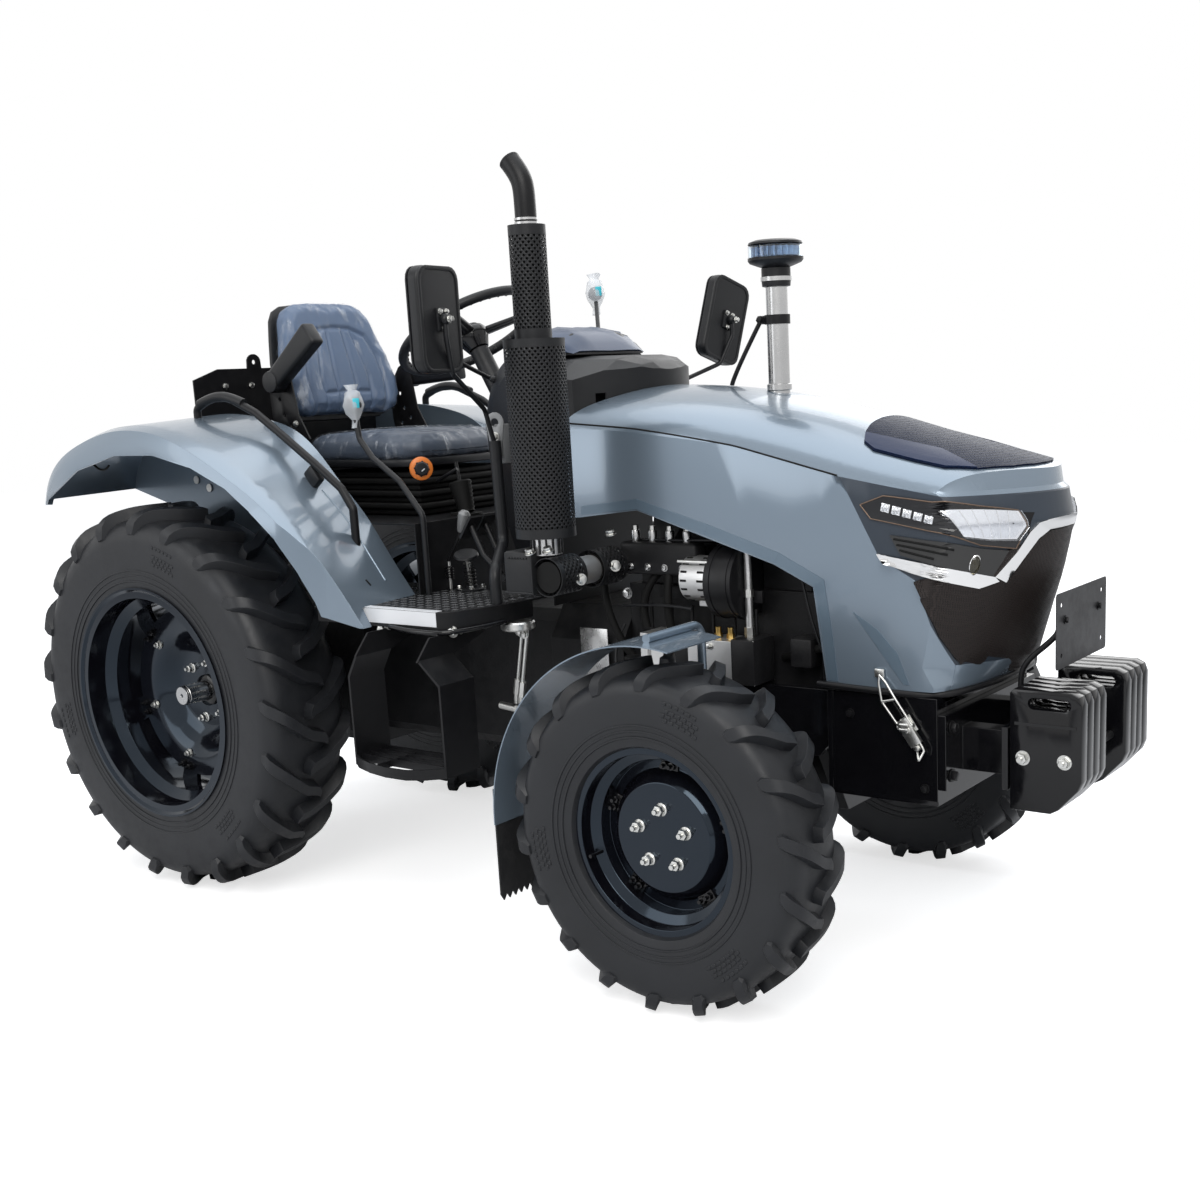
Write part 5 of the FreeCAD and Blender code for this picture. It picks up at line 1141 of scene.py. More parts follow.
def makeNumberPlate():
    x = 2.4555
    outline = roundedRect((-0.150, 0.738), (0.150, 0.903), 0.008, 4)
    holes = [ring((y, z), 0.0055, 12) for y in (-0.120, 0.120) for z in (0.766, 0.876)]
    flat = cutPlate(outline, holes, 0.0018)
    turn = facingAhead
    bm = bmesh.new()
    addTo(bm, flat, placed(x, 0, 0) @ turn)
    obj = piece("number_plate_sheet", "chassis", bm, plateBlack)
    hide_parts("number_plate")
    lines = [[at(2.362, way * 0.118, 0.560), at(2.362, way * 0.118, 0.700), at(2.372, way * 0.118, 0.745),
              at(2.436, way * 0.110, 0.800), at(2.448, way * 0.105, 0.822), at(2.448, way * 0.100, 0.868)]
             for way in (1, -1)]
    tube("number_plate_rods", "chassis", lines, 0.0065, satinBlack, order=3)
    studs = bmesh.new()
    for way in (1, -1):
        addBolt(studs, at(x + 0.0018, way * 0.100, 0.842), (1, 0, 0), 0.012, 0.006)
        addTo(studs, block((0.030, 0.034, 0.010), 0.002), placed(2.362, way * 0.118, 0.642))
    piece("number_plate_studs", "chassis", studs, satinBlack)


latch = {
    "hook": (2.094, 0.2655, 0.723), "top": (2.118, 0.2690, 0.668), "body": (2.158, 0.2660, 0.612),
    "low": (2.194, 0.2665, 0.560),
}


def makeLatch():
    wires, zincs = [], bmesh.new()
    for way in (1, -1):
        hook, top, bodyAt, low = (at(x, way * y, z) for x, y, z in (latch[k] for k in ("hook", "top", "body", "low")))
        side = Vector((0.017, 0, 0.004))
        wires.append([hook, hook.lerp(top, 0.3) + side * 0.5, top + side, bodyAt + side * 0.9])
        wires.append([hook, hook.lerp(top, 0.3) - side * 0.5, top - side, bodyAt - side * 0.9])
        wires.append([top + side, top - side])
        wires.append([bodyAt + side * 0.6, low + side * 0.5, low + Vector((0, way * 0.012, -0.020)), low - side * 0.5,
                      bodyAt - side * 0.6])
        along = (low - bodyAt).normalized()
        tilt = math.degrees(math.atan2(along.x, -along.z))
        addTo(zincs, block((0.030, 0.012, 0.064), 0.002), moved(bodyAt.lerp(low, 0.25), (0, -tilt, 0)))
        addTo(zincs, block((0.038, 0.003, 0.040), 0.001), moved(bodyAt - Vector((0, way * 0.008, 0)), (0, -tilt, 0)))
        addRod(zincs, bodyAt - side * 1.15, bodyAt + side * 1.15, 0.0048)
        for share in (0.15, 0.85):
            addBolt(zincs, bodyAt.lerp(low, share) + Vector((0, way * 0.006, 0)), (0, way, 0), 0.010, 0.004)
        addTo(zincs, block((0.024, 0.006, 0.020), 0.002), Matrix.Translation(hook + Vector((0, -way * 0.002, 0.004))))
        for z in (0.0055, -0.0055):  # spring coils round the pull rod
            addRod(zincs, bodyAt + Vector((0.010, way * 0.010, z)), bodyAt + Vector((-0.010, way * 0.010, z)), 0.0035)
    tube("hood_latch_wires", "chassis", wires, 0.0030, zinc, order=2)
    piece("hood_latch", "chassis", zincs, zinc)


def makeBoxTrim():  # the battery box's folded edges, slotted bracket and carrier bolts
    bm = bmesh.new()
    bolts = bmesh.new()
    low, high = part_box("battery_box")
    for way in (1, -1):
        face = high.y if way > 0 else low.y
        addTo(bm, block((high.x - low.x, 0.005, 0.012), 0.0015),
              Matrix.Translation(((low.x + high.x) / 2, face - way * 0.0022, low.z + 0.006)))
        addTo(bm, block((0.006, 0.005, 0.24), 0.0015), Matrix.Translation((low.x + 0.014, face - way * 0.002, 0.556)))
        holes = [slotShape((0, z), 0.030, 0.009) for z in (-0.052, 0.0, 0.052)]
        bracket = cutPlate([(-0.030, -0.095), (0.030, -0.095), (0.034, 0.080), (-0.034, 0.080)], holes, 0.004, 0.0008)
        addTo(bm, bracket, upright((high.x - 0.045, face - way * 0.0042, 0.560), (0, way, 0)))
        for x, z in ((0.060, 0.625), (0.205, 0.640), (0.245, 0.470)):
            addBolt(bolts, (low.x + x, face - way * 0.0005, z), (0, way, 0), 0.014, 0.007)
    piece("battery_box_trim", "chassis", bm, glossBlack)
    for way in (1, -1):
        for z in (0.500, 0.610):
            addBolt(bolts, at(2.2475, way * 0.222, z), (1, 0, 0), 0.019, 0.011)
    piece("carrier_bolts", "chassis", bolts, satinBlack)


plateBlack = newMaterial("plateBlack", (0.016, 0.016, 0.018), 0.36, 0.3, 0.15, 0.05, 300, 0.10, specular=0.4)
makeWeights()
makeNumberPlate()
makeLatch()
makeBoxTrim()
print("scene: weights, plate and latch")


seat = {
    "foot": (0.128, 1.303), "lean": 13.0, "voxel": 0.006, "pressure": 4.0, "cap": 0.013,
    "backHalf": [(0, 0.004), (0.165, 0.004), (0.198, 0.020), (0.217, 0.060), (0.221, 0.110), (0.211, 0.180),
                 (0.190, 0.250),
                 (0.170, 0.310), (0.150, 0.338), (0.118, 0.354), (0.060, 0.360), (0, 0.361)],
    "backThick": 0.058, "backBow": 0.020,
    "cushionHalf": [(-0.232, 0), (-0.232, 0.165), (-0.215, 0.198), (-0.165, 0.214), (0, 0.216), (0.130, 0.219),
                    (0.185, 0.205), (0.222, 0.165), (0.238, 0.095), (0.242, 0)],
    "cushionPlace": (0.412, 0, 1.198), "cushionThick": 0.056, "crown": 0.010,
    "backSeams": [[(0.140, 0.010), (0.150, 0.100), (0.138, 0.180), (0.112, 0.240), (0.060, 0.262), (0, 0.266)],
                  [(0.088, 0.030), (0.094, 0.120), (0.076, 0.205), (0.060, 0.258)],
                  [(0.034, 0.025), (0.038, 0.120), (0.030, 0.262)], [(0, 0.075), (0.088, 0.070)]],
    "cushionSeams": [[(-0.205, 0.150), (-0.05, 0.152), (0.110, 0.140), (0.168, 0.085), (0.178, 0)],
                     [(-0.205, 0.052), (0.176, 0.048)], [(-0.205, 0.102), (0.10, 0.098), (0.160, 0.09)],
                     [(-0.075, 0), (-0.075, 0.152)], [(0.05, 0), (0.05, 0.148)]],
    "armLength": 0.235, "armSize": (0.046, 0.056), "armTilt": {"right": 37, "left": 6},
    "armFoot": (0.172, 0.266, 1.425),
}


def puffed(name, bm):  # a foam pad: remeshed, blown up a little as cloth, and smoothed once
    mesh = bpy.data.meshes.new(name)
    bm.to_mesh(mesh)
    bm.free()
    obj = shown(name, mesh)
    remesh = obj.modifiers.new("remesh", "REMESH")
    remesh.mode = "VOXEL"
    remesh.voxel_size = seat["voxel"]
    graph = bpy.context.evaluated_depsgraph_get()
    obj.data = bpy.data.meshes.new_from_object(obj.evaluated_get(graph))
    obj.modifiers.clear()
    start = [v.co.copy() for v in obj.data.vertices]
    cloth = obj.modifiers.new("foam", "CLOTH")
    cloth.settings.use_pressure = True
    cloth.settings.uniform_pressure_force = seat["pressure"]
    cloth.settings.effector_weights.gravity = 0
    for frameNumber in range(1, 21):
        bpy.context.scene.frame_set(frameNumber)
    graph = bpy.context.evaluated_depsgraph_get()
    blown = bpy.data.meshes.new_from_object(obj.evaluated_get(graph))
    obj.modifiers.clear()
    for vert, old in zip(blown.vertices, start):
        step = vert.co - old
        if step.length > seat["cap"]:
            vert.co = old + step.normalized() * seat["cap"]
    obj.data = blown
    bpy.context.scene.frame_set(1)
    rounding = obj.modifiers.new("smooth", "SUBSURF")
    rounding.levels = rounding.render_levels = 1
    graph = bpy.context.evaluated_depsgraph_get()
    final = bmesh.new()
    coarse = bmesh.new()
    coarse.from_mesh(obj.data)
    final.from_mesh(bpy.data.meshes.new_from_object(obj.evaluated_get(graph)))
    bpy.data.objects.remove(obj)
    return final, coarse


def distanceTo(point, line):  # from a point to a run of straight pieces in a plane
    best = 1.0
    for a, b in zip(line, line[1:]):
        a, b = Vector(a), Vector(b)
        along = b - a
        share = max(0, min(1, (point - a).dot(along) / along.length_squared))
        best = min(best, (point - a - along * share).length)
    return best


def sewn(bm, seams, mirror, face, depth=0.0075, width=0.0062):  # channels pressed into the face that looks along +Z
    for vert in bm.verts:
        if vert.co.z > face:
            flat = Vector(mirror(vert.co))
            near = min(distanceTo(flat, seam) for seam in seams)
            if near < 0.03:
                vert.co.z -= depth * math.exp(-(near / width) ** 2)


def wrinkled(bm, spread, along):  # thin film that lies loosely over a pad
    bm.normal_update()
    moves = []
    for vert in bm.verts:
        place = Vector((vert.co.x * spread[0], vert.co.y * spread[1], vert.co.z * spread[2]))
        ridge = 1 - abs(noise.noise(place + Vector((3.1, 0, along)))) * 3.2
        moves.append(vert.normal * (0.0022 + 0.0032 * max(0, ridge)))
    for vert, move in zip(bm.verts, moves):
        vert.co += move
    return bm


def makeSeat():
    lean = math.radians(seat["lean"])
    up, forward = Vector((-math.sin(lean), 0, math.cos(lean))), Vector((math.cos(lean), 0, math.sin(lean)))
    foot = at(seat["foot"][0], 0, seat["foot"][1])
    stand = Matrix.Translation(foot) @ Matrix(((0, up.x, forward.x), (1, up.y, forward.y),
                                               (0, up.z, forward.z))).to_4x4()
    outline = seat["backHalf"] + [(-x, y) for x, y in seat["backHalf"][1:-1]][::-1]
    pad, film = puffed("back_foam", cutPlate(outline, [], seat["backThick"], 0.016))
    sewn(pad, seat["backSeams"], lambda co: (abs(co.x), co.y), seat["backThick"] * 0.6)

    def bow(bm):  # the back curves round the driver, and its sides stand forward low down
        for vert in bm.verts:
            side = (vert.co.x / 0.22) ** 2
            vert.co.z += seat["backBow"] * side * (1.15 - vert.co.y / 0.40) - 0.012 * (vert.co.y / 0.36 - 0.4) ** 2
        bm.transform(stand)

    film = wrinkled(film, (34, 9, 20), 0.4)
    bow(pad)
    bow(film)
    obj = piece("seat_back_pad", "chassis", pad, slateVinyl, smooth=180)
    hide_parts("seat_back")
    piece("seat_back_film", "chassis", film, filmWrap, smooth=180)
    shell = cutPlate([(x * 0.985, 0.002 + y * 0.99) for x, y in outline], [], 0.014, 0.004)
    shell.transform(Matrix.Translation((0, 0, -0.020)))
    bow(shell)
    piece("seat_back_shell", "chassis", shell, plasticBlack)
    half = seat["cushionHalf"]
    outline = half + [(x, -y) for x, y in half[1:-1]][::-1]
    outline = outline[::-1]
    pad, film = puffed("cushion_foam", cutPlate(outline, [], seat["cushionThick"], 0.018))
    sewn(pad, seat["cushionSeams"], lambda co: (co.x, abs(co.y)), seat["cushionThick"] * 0.6, depth=0.006)
    lie = placed(*seat["cushionPlace"])
    film = wrinkled(film, (22, 30, 16), 1.7)
    for bm in (pad, film):
        for vert in bm.verts:
            if vert.co.z > 0.02:
                along, side = vert.co.x / 0.24, vert.co.y / 0.22
                vert.co.z += seat["crown"] * (1 - side ** 2) * (1 - along ** 2) - 0.006 * max(0, along) ** 3
        bm.transform(lie)
    obj = piece("seat_cushion_pad", "chassis", pad, cushionVinyl, smooth=180)
    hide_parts("seat_cushion")
    piece("seat_cushion_film", "chassis", film, filmWrap, smooth=180)
    pan = cutPlate([(x * 0.985, y * 0.985) for x, y in outline], [], 0.022, 0.006)
    pan.transform(placed(0.412, 0, 1.1765))
    piece("seat_pan", "chassis", pan, plasticBlack)
    folds = bmesh.new()
    for i in range(7):
        wide = 1.0 if i % 2 else 0.94
        addTo(folds, block((0.452 * wide, 0.384 * wide, 0.0165), 0.0055, 3), placed(0.415, 0, 1.0505 + i * 0.0172))
    obj = piece("seat_bellows", "chassis", folds, matteBlack, smooth=60)
    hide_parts("seat_base")
    makeArms()
    makeSeatDetails()


def makeArms():
    pads, plates, studs = bmesh.new(), bmesh.new(), bmesh.new()
    for way, side in ((-1, "right"), (1, "left")):
        tilt = seat["armTilt"][side]
        x, y, z = seat["armFoot"]
        foot = at(x, way * y, z)
        along = Vector((math.cos(math.radians(tilt)), 0, math.sin(math.radians(tilt))))
        arm = block((seat["armLength"], *seat["armSize"]), 0.011, 3)
        for vert in arm.verts:
            if vert.co.x > 0.06:
                vert.co.z -= 0.012 * (vert.co.x - 0.06) / 0.06 if vert.co.z < 0 else -0.004
        addTo(pads, arm, Matrix.Translation(foot + along * seat["armLength"] * 0.44)
              @ Matrix.Rotation(-math.radians(tilt), 4, "Y"))
        addTo(pads, rod(0.052, 0.031, sides=28, bevel=0.005),
              toward(foot + Vector((0, -way * 0.026, 0)), (0, way, 0)))
        outline = [(0.252, 1.228), (0.262, 1.262), (0.222, 1.330), (0.200, 1.452), (0.176, 1.468), (0.152, 1.455),
                   (0.108, 1.395), (0.112, 1.300), (0.124, 1.240)]
        spots = ((0.150, 1.285), (0.190, 1.300), (0.165, 1.330), (0.150, 1.375))
        holes = [ring(spot, 0.006, 10) for spot in spots]
        flat = cutPlate(outline, holes, 0.006, 0.001)
        turn = spun(90, "X")
        addTo(plates, flat, Matrix.Translation(axle + Vector((0, way * (0.2345 if way < 0 else 0.2405), 0))) @ turn)
        for px, pz in ((0.230, 1.262), (0.140, 1.262), (0.175, 1.405), (0.212, 1.305), (0.165, 1.255)):
            addBolt(studs, at(px, way * 0.2402, pz), (0, way, 0), 0.012, 0.006)
    obj = piece("armrest_pads", "chassis", pads, plasticBlack)
    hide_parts("armrests")
    piece("armrest_plates", "chassis", plates, satinBlack)
    piece("armrest_bolts", "chassis", studs, zinc)


def makeSeatDetails():
    knob, cap, marks, boot = bmesh.new(), bmesh.new(), bmesh.new(), bmesh.new()
    face = toward(at(0.690, -0.232, 1.176), (0.80, -0.60, 0))
    addTo(knob, turned([(0.018, 0), (0.029, 0), (0.032, 0.004), (0.031, 0.011), (0.024, 0.015), (0.018, 0.015)], 36,
                       True), face)
    addTo(cap, turned([(0, -0.014), (0.016, -0.014), (0.019, 0.008), (0.0195, 0.018), (0.016, 0.023), (0, 0.024)],
                      32), face)
    for i in range(8):
        turn = 2 * math.pi * i / 8
        addTo(cap, block((0.004, 0.005, 0.016), 0.001, 1),
              face @ Matrix.Rotation(turn, 4, "Z") @ Matrix.Translation((0.0195, 0, 0.010)))
    addTo(marks, block((0.003, 0.011, 0.002), 0.0006, 1), face @ Matrix.Translation((0.004, 0, 0.0242)))
    profile = [(0, 0.086)] + [(0.020 + 0.010 * (1 - i / 15) + (0.0035 if i % 2 else 0), 0.086 - 0.086 * i / 15)
                              for i in range(16)]
    addTo(boot, turned(profile + [(0, 0)], 28), toward(at(0.742, -0.120, 1.048), (-0.28, 0.05, 1)))
    addTo(boot, rod(0.006, 0.044, sides=28), toward(at(0.740, -0.120, 1.0402), (0, 0, 1)))
    piece("suspension_knob", "chassis", knob, orangePlastic)
    piece("suspension_knob_cap", "chassis", cap, plasticBlack)
    piece("suspension_knob_mark", "chassis", marks, stripWhite)
    piece("range_lever_boot", "chassis", boot, matteBlack, smooth=70)
    stalks = [[at(0.720, -0.117, 1.125), at(0.712, -0.114, 1.155), at(0.705, -0.112, 1.185)],
              [at(0.668, -0.150, 1.135), at(0.720, -0.175, 1.150), at(0.760, -0.165, 1.170)]]
    tube("range_lever_stalk", "chassis", stalks, 0.005, satinBlack)


slateVinyl = newMaterial("slateVinyl", (0.085, 0.130, 0.215), 0.40, 0.0, 0.10, 0.02, 420, 0.30, specular=0.4)
cushionVinyl = newMaterial("cushionVinyl", (0.050, 0.066, 0.095), 0.40, 0.0, 0.12, 0.02, 420, 0.30, specular=0.4)


def makeFilm():  # clear wrapping film: its creases and ripples show as painted highlights, streaks of whitish colour let through by the alpha
    material = newMaterial("filmWrap", (0.78, 0.82, 0.88), 0.12, 0.0, 0.02, 0.0, 260, 0.2, specular=0.8)
    tree = material.node_tree
    shader = tree.nodes["Principled BSDF"]
    place = tree.nodes.new("ShaderNodeTexCoord").outputs["Object"]
    stretch = tree.nodes.new("ShaderNodeMapping")
    stretch.inputs["Rotation"].default_value = (0.25, 0.15, 0.3)
    stretch.inputs["Scale"].default_value = (1.0, 1.0, 0.34)
    tree.links.new(place, stretch.inputs["Vector"])
    # painted highlights: the streak mask lets the whitish colour show where light would catch the creases
    glintStreaks = addNoise(tree, stretch.outputs["Vector"], 34, 5, 0.6)
    broad = addNoise(tree, place, 9, 3)
    lines = addRange(tree, glintStreaks, 0.53, 0.66, 0, 1)
    patches = addRange(tree, broad, 0.40, 0.62, 0.10, 1)
    tree.links.new(addRange(tree, addMath(tree, "MULTIPLY", lines, patches), 0, 1, 0.025, 0.42),
                   shader.inputs["Alpha"])
    return material


filmWrap = makeFilm()
makeSeat()
print("scene: seat")


board = {"pitch": 0.030, "length": 0.021, "width": 0.0066, "height": 0.0014, "top": 0.850}


def makeBoards():
    studsBm, strip, lips, bolts = bmesh.new(), bmesh.new(), [], bmesh.new()
    outline = [(0.605, -0.207), (0.605, -0.556), (1.035, -0.556), (1.060, -0.533), (1.080, -0.481), (1.100, -0.425),
               (1.112, -0.365), (1.116, -0.300), (1.116, -0.207)]
    shape = [Vector((x, y)) for x, y in outline]

    def inside(point):
        return all((b - a).cross(point - a) > 0.008 * (b - a).length for a, b in zip(shape, shape[1:] + shape[:1]))

    lozenge = block((board["length"], board["width"], board["height"]), 0)
    for vert in lozenge.verts:
        if vert.co.z > 0:
            vert.co.x *= 0.55
            vert.co.y *= 0.45
    bmesh.ops.translate(lozenge, vec=(0, 0, board["height"] / 2), verts=lozenge.verts)
    row = 0
    while row * board["pitch"] / 2 < 0.36:
        for column in range(37):
            spot = Vector((0.612 + column * board["pitch"] / 2, -0.552 + row * board["pitch"] / 2))
            if (row + column) % 2 == 0 and inside(spot):
                lean = 45 if row % 2 else -45
                for way in (1, -1):
                    place = at(spot.x, spot.y * way, board["top"] + 0.0002)
                    addTo(studsBm, lozenge.copy(), Matrix.Translation(place) @ spun(lean * way, "Z"))
        row += 1
    lozenge.free()
    piece("footboard_lozenges", "chassis", studsBm, boardBlack)
    for way in (1, -1):
        addTo(strip, block((0.262, 0.0016, 0.036), 0.0005, 1), placed(0.902, way * 0.5612, 0.8315))
        addTo(strip, block((0.262, 0.024, 0.0016), 0.0005, 1), placed(0.902, way * 0.5500, 0.8512))
        lips.append([at(x, way * y, z) for x, y, z in ((0.870, 0.562, 0.806), (0.930, 0.572, 0.802),
                                                       (1.035, 0.576, 0.800),
                                                       (1.075, 0.540, 0.801), (1.100, 0.460, 0.804),
                                                       (1.112, 0.400, 0.808))])
        for x, y, z in ((0.826, 0.490, 0.800), (0.826, 0.450, 0.802), (1.048, 0.500, 0.800), (1.048, 0.455, 0.800)):
            addBolt(bolts, at(x + 0.006, way * y, z), (1, 0, 0), 0.015, 0.008)
        for x, z in ((0.812, 0.792), (0.838, 0.806), (1.022, 0.786), (1.060, 0.800)):
            addBolt(bolts, at(x, way * 0.533, z), (0.2, way, 0), 0.019, 0.010)
    piece("footboard_strips", "chassis", strip, stripWhite)
    tube("footboard_lips", "chassis", lips, 0.0068, glossBlack, order=4)
    piece("step_bolts", "chassis", bolts, zinc)


def coil(centre, radius, height, turns):  # control points of an upright spring
    steps = turns * 8
    return [Vector(centre) + Vector((radius * math.cos(i * math.pi / 4), radius * math.sin(i * math.pi / 4),
                                     height * i / steps))
            for i in range(steps + 1)]


controls = {
    "treadle": (0.838, -0.226, 0.8516), "parking": (0.780, -0.245, 0.880), "brakeDrum": (1.105, -0.345, 0.778),
    "pedalsAcross": (-0.268, -0.322, 0.268), "ribsPerPedal": 5,
}


def makeFootControls():
    springs, black, bright, studs = [], bmesh.new(), bmesh.new(), bmesh.new()
    centre = at(*controls["treadle"])
    addTo(black, turned([(0, 0), (0.040, 0), (0.040, 0.003), (0.030, 0.006), (0.018, 0.006), (0.018, 0.012),
                         (0, 0.012)], 32),
          Matrix.Translation(centre))
    for i in range(4):
        turn = math.radians(45 + 90 * i)
        addBolt(studs, centre + Vector((0.032 * math.cos(turn), 0.032 * math.sin(turn), 0.0045)), (0, 0, 1), 0.010,
                0.006)
    springs.append(coil(centre + Vector((0, 0, 0.012)), 0.015, 0.048, 5))
    addRod(bright, centre + Vector((0, 0, 0.010)), centre + Vector((0.006, -0.016, 0.090)), 0.0058)
    addRod(bright, centre + Vector((-0.010, -0.012, 0.071)), centre + Vector((0.020, -0.012, 0.071)), 0.003)
    addTo(black, turned([(0, 0), (0.030, 0.001), (0.034, 0.005), (0.031, 0.010), (0, 0.012)], 32),
          toward(centre + Vector((0.006, -0.017, 0.090)), (0.22, -0.30, 1)))
    second = at(*controls["parking"])
    springs.append(coil(second, 0.011, 0.034, 5))
    addRod(bright, second + Vector((0, 0, -0.028)), second + Vector((0, 0, 0.050)), 0.0045)
    low = second + Vector((0, 0, 0.048))
    line = [low, low + Vector((0.004, 0, 0.020)), low + Vector((0.030, 0.006, 0.040)),
            low + Vector((0.042, 0.010, 0.085))]
    tube("parking_lever_rod", "chassis", [line], 0.0048, satinBlack)
    grip = [(0, 0), (0.0080, 0), (0.0105, 0.006), (0.0165, 0.046), (0.0165, 0.052), (0.010, 0.060), (0, 0.061)]
    handle = turned(grip, 20)
    handle.transform(toward(line[-1] + Vector((0, 0, -0.006)), (0.35, 0.05, 1)))
    piece("parking_lever_grip", "chassis", handle, greyPaint)
    tube("pedal_springs", "chassis", springs, 0.0021, satinBlack, order=3, resolution=3)
    piece("pedal_pads", "chassis", black, plasticBlack)
    piece("pedal_stems", "chassis", bright, zinc)
    piece("pedal_flange_bolts", "chassis", studs, zinc)
    tread = bmesh.new()
    for y in controls["pedalsAcross"]:
        for i in range(controls["ribsPerPedal"]):
            share = (i + 0.5) / controls["ribsPerPedal"]
            place = at(0.9265 + 0.037 * share, y, 1.012 + 0.051 * share)
            addTo(tread, block((0.0035, 0.044, 0.005), 0.001, 1), moved(place, (0, -36, 0)))
    piece("pedal_ribs", "chassis", tread, matteBlack)
    under = bmesh.new()
    addTo(under, turned([(0, 0), (0.040, 0), (0.044, 0.004), (0.044, 0.018), (0.040, 0.022), (0, 0.022)], 36),
          placed(*controls["brakeDrum"]))
    for x, y in ((1.118, -0.325), (1.080, -0.300)):
        addRod(under, at(x, y, 0.775), at(x - 0.035, y, 0.600), 0.0055)
        addTo(under, rod(0.040, 0.010, sides=6), toward(at(x - 0.028, y, 0.635), (-0.19, 0, -1)))
        addRod(under, at(x - 0.035, y, 0.600), at(x - 0.038, y, 0.570), 0.008)
        addBolt(under, at(x, y - 0.010, 0.765), (0, -1, 0), 0.017, 0.009)
    addRod(under, at(0.985, -0.300, 0.560), at(1.110, -0.300, 0.548), 0.010)
    addRod(under, at(1.040, -0.300, 0.553), at(1.075, -0.300, 0.550), 0.014, sides=6)
    piece("brake_rods", "chassis", under, zinc)


def makeLeverGrips():
    wrap, tint = bmesh.new(), bmesh.new()
    for place, lean in ((at(0.547, -0.323, 1.352), (-0.05, 0, 1)), (at(0.903, 0.300, 1.629), (-0.2, 0.2, 1))):
        profile = [(0, -0.062), (0.010, -0.060), (0.012, -0.040), (0.021, -0.022), (0.027, 0.000), (0.026, 0.018),
                   (0.018, 0.034),
                   (0.012, 0.040), (0.020, 0.055), (0.006, 0.050), (0, 0.049)]
        bag = turned(profile, 26)
        for vert in bag.verts:  # crumpled film round the grip
            vert.co += Vector((noise.noise(vert.co * 46), noise.noise(vert.co * 46 + Vector((5, 0, 0))), 0)) * 0.009
        addTo(wrap, bag, toward(place, lean))
        addTo(tint, block((0.004, 0.018, 0.026), 0.0018), Matrix.Translation(place + Vector((0.021, -0.010, 0.006)))
              @ spun(-35, "Z"))
    piece("lever_grip_film", "chassis", wrap, filmThick, smooth=70)
    piece("lever_grip_patch", "chassis", tint, cyanPatch)


boardBlack = newMaterial("boardBlack", (0.010, 0.011, 0.014), 0.20, 0.1, 0.30, 0.05, 260, 0.10, specular=0.6)
filmThick = newMaterial("filmThick", (0.80, 0.83, 0.87), 0.16, 0.0, 0.02, 0.0, 300, 0.2, specular=0.8)
filmThick.node_tree.nodes["Principled BSDF"].inputs["Alpha"].default_value = 0.45
cyanPatch = newMaterial("cyanPatch", (0.05, 0.52, 0.62), 0.35, 0.0, 0.05, 0.0, 600, 0.03)
makeBoards()
makeFootControls()
makeLeverGrips()
print("scene: driver's place")


console = {
    "cover": [(1.000, 0, 1.500), (1.000, -0.150, 1.482), (1.050, -0.168, 1.485), (1.106, -0.170, 1.470),
              (1.140, -0.164, 1.462), (1.172, -0.140, 1.450), (1.180, 0, 1.460)],
    "dials": ((-0.062, 0.046), (0.050, 0.036), (0.118, 0.018)),
    "plate": (1.000, -0.262, 1.255),
}


def rounded(halfWidth, halfHeight, radius):
    return roundedRect((-halfWidth, -halfHeight), (halfWidth, halfHeight), radius, 5)


mirror = {
    "place": (1.140, 0.594, 1.542), "turn": 8, "lean": {-1: 0, 1: -19}, "glass": (0.067, 0.111, 0.025),
    "rim": (0.0755, 0.1195, 0.031), "frontHole": (0.068, 0.112, 0.026), "backHole": (0.066, 0.110, 0.026),
}


def makeMirrorGlass():
    glass, frameBm, studs = bmesh.new(), bmesh.new(), bmesh.new()
    x, y, z = mirror["place"]
    for way, lean in mirror["lean"].items():
        turn = placed(x, way * y, z) @ spun(-mirror["turn"] * way, "Z") @ spun(lean, "X")
        face = turn @ Matrix(((0, 0, -1), (-1, 0, 0), (0, 1, 0))).to_4x4()

        back = turn @ facingAhead
        addTo(glass, cutPlate(rounded(*mirror["glass"]), [], 0.0015), face @ Matrix.Translation((0, 0, 0.0168)))
        for side, hole, thickness, bevel in ((face, "frontHole", 0.0045, 0.0012), (back, "backHole", 0.0042, 0.0015)):
            rim = cutPlate(rounded(*mirror["rim"]), [rounded(*mirror[hole])[::-1]], thickness, bevel)
            addTo(frameBm, rim, side @ Matrix.Translation((0, 0, 0.0148)))
        addTo(frameBm, block((0.038, 0.052, 0.010), 0.003), back @ Matrix.Translation((0, 0, 0.019)))
        for level, up in ((0.012, 0.018), (-0.012, 0.018), (0.0, -0.020)):
            addBolt(studs, back @ Vector((level, up, 0.0235)), back.to_3x3() @ Vector((0, 0, 1)), 0.009, 0.005)
        addBolt(studs, at(x + 0.046, way * y, z), (1, 0, 0), 0.012, 0.008)
    piece("mirror_glass", "chassis", glass, mirrorFace)
    piece("mirror_frames", "chassis", frameBm, plasticBlack)
    piece("mirror_bolts", "chassis", studs, zinc)


steering = {
    "hub": (0.690, 0, 1.536), "lean": 30, "spokes": (60, 180, 300), "spoke": (0.155, 0.034, 0.012),
    "grips": 44, "gripRadius": 0.1905, "stalk": [(0.80, 0.030, 1.400), (0.80, 0.100, 1.425), (0.79, 0.150, 1.450)],
}


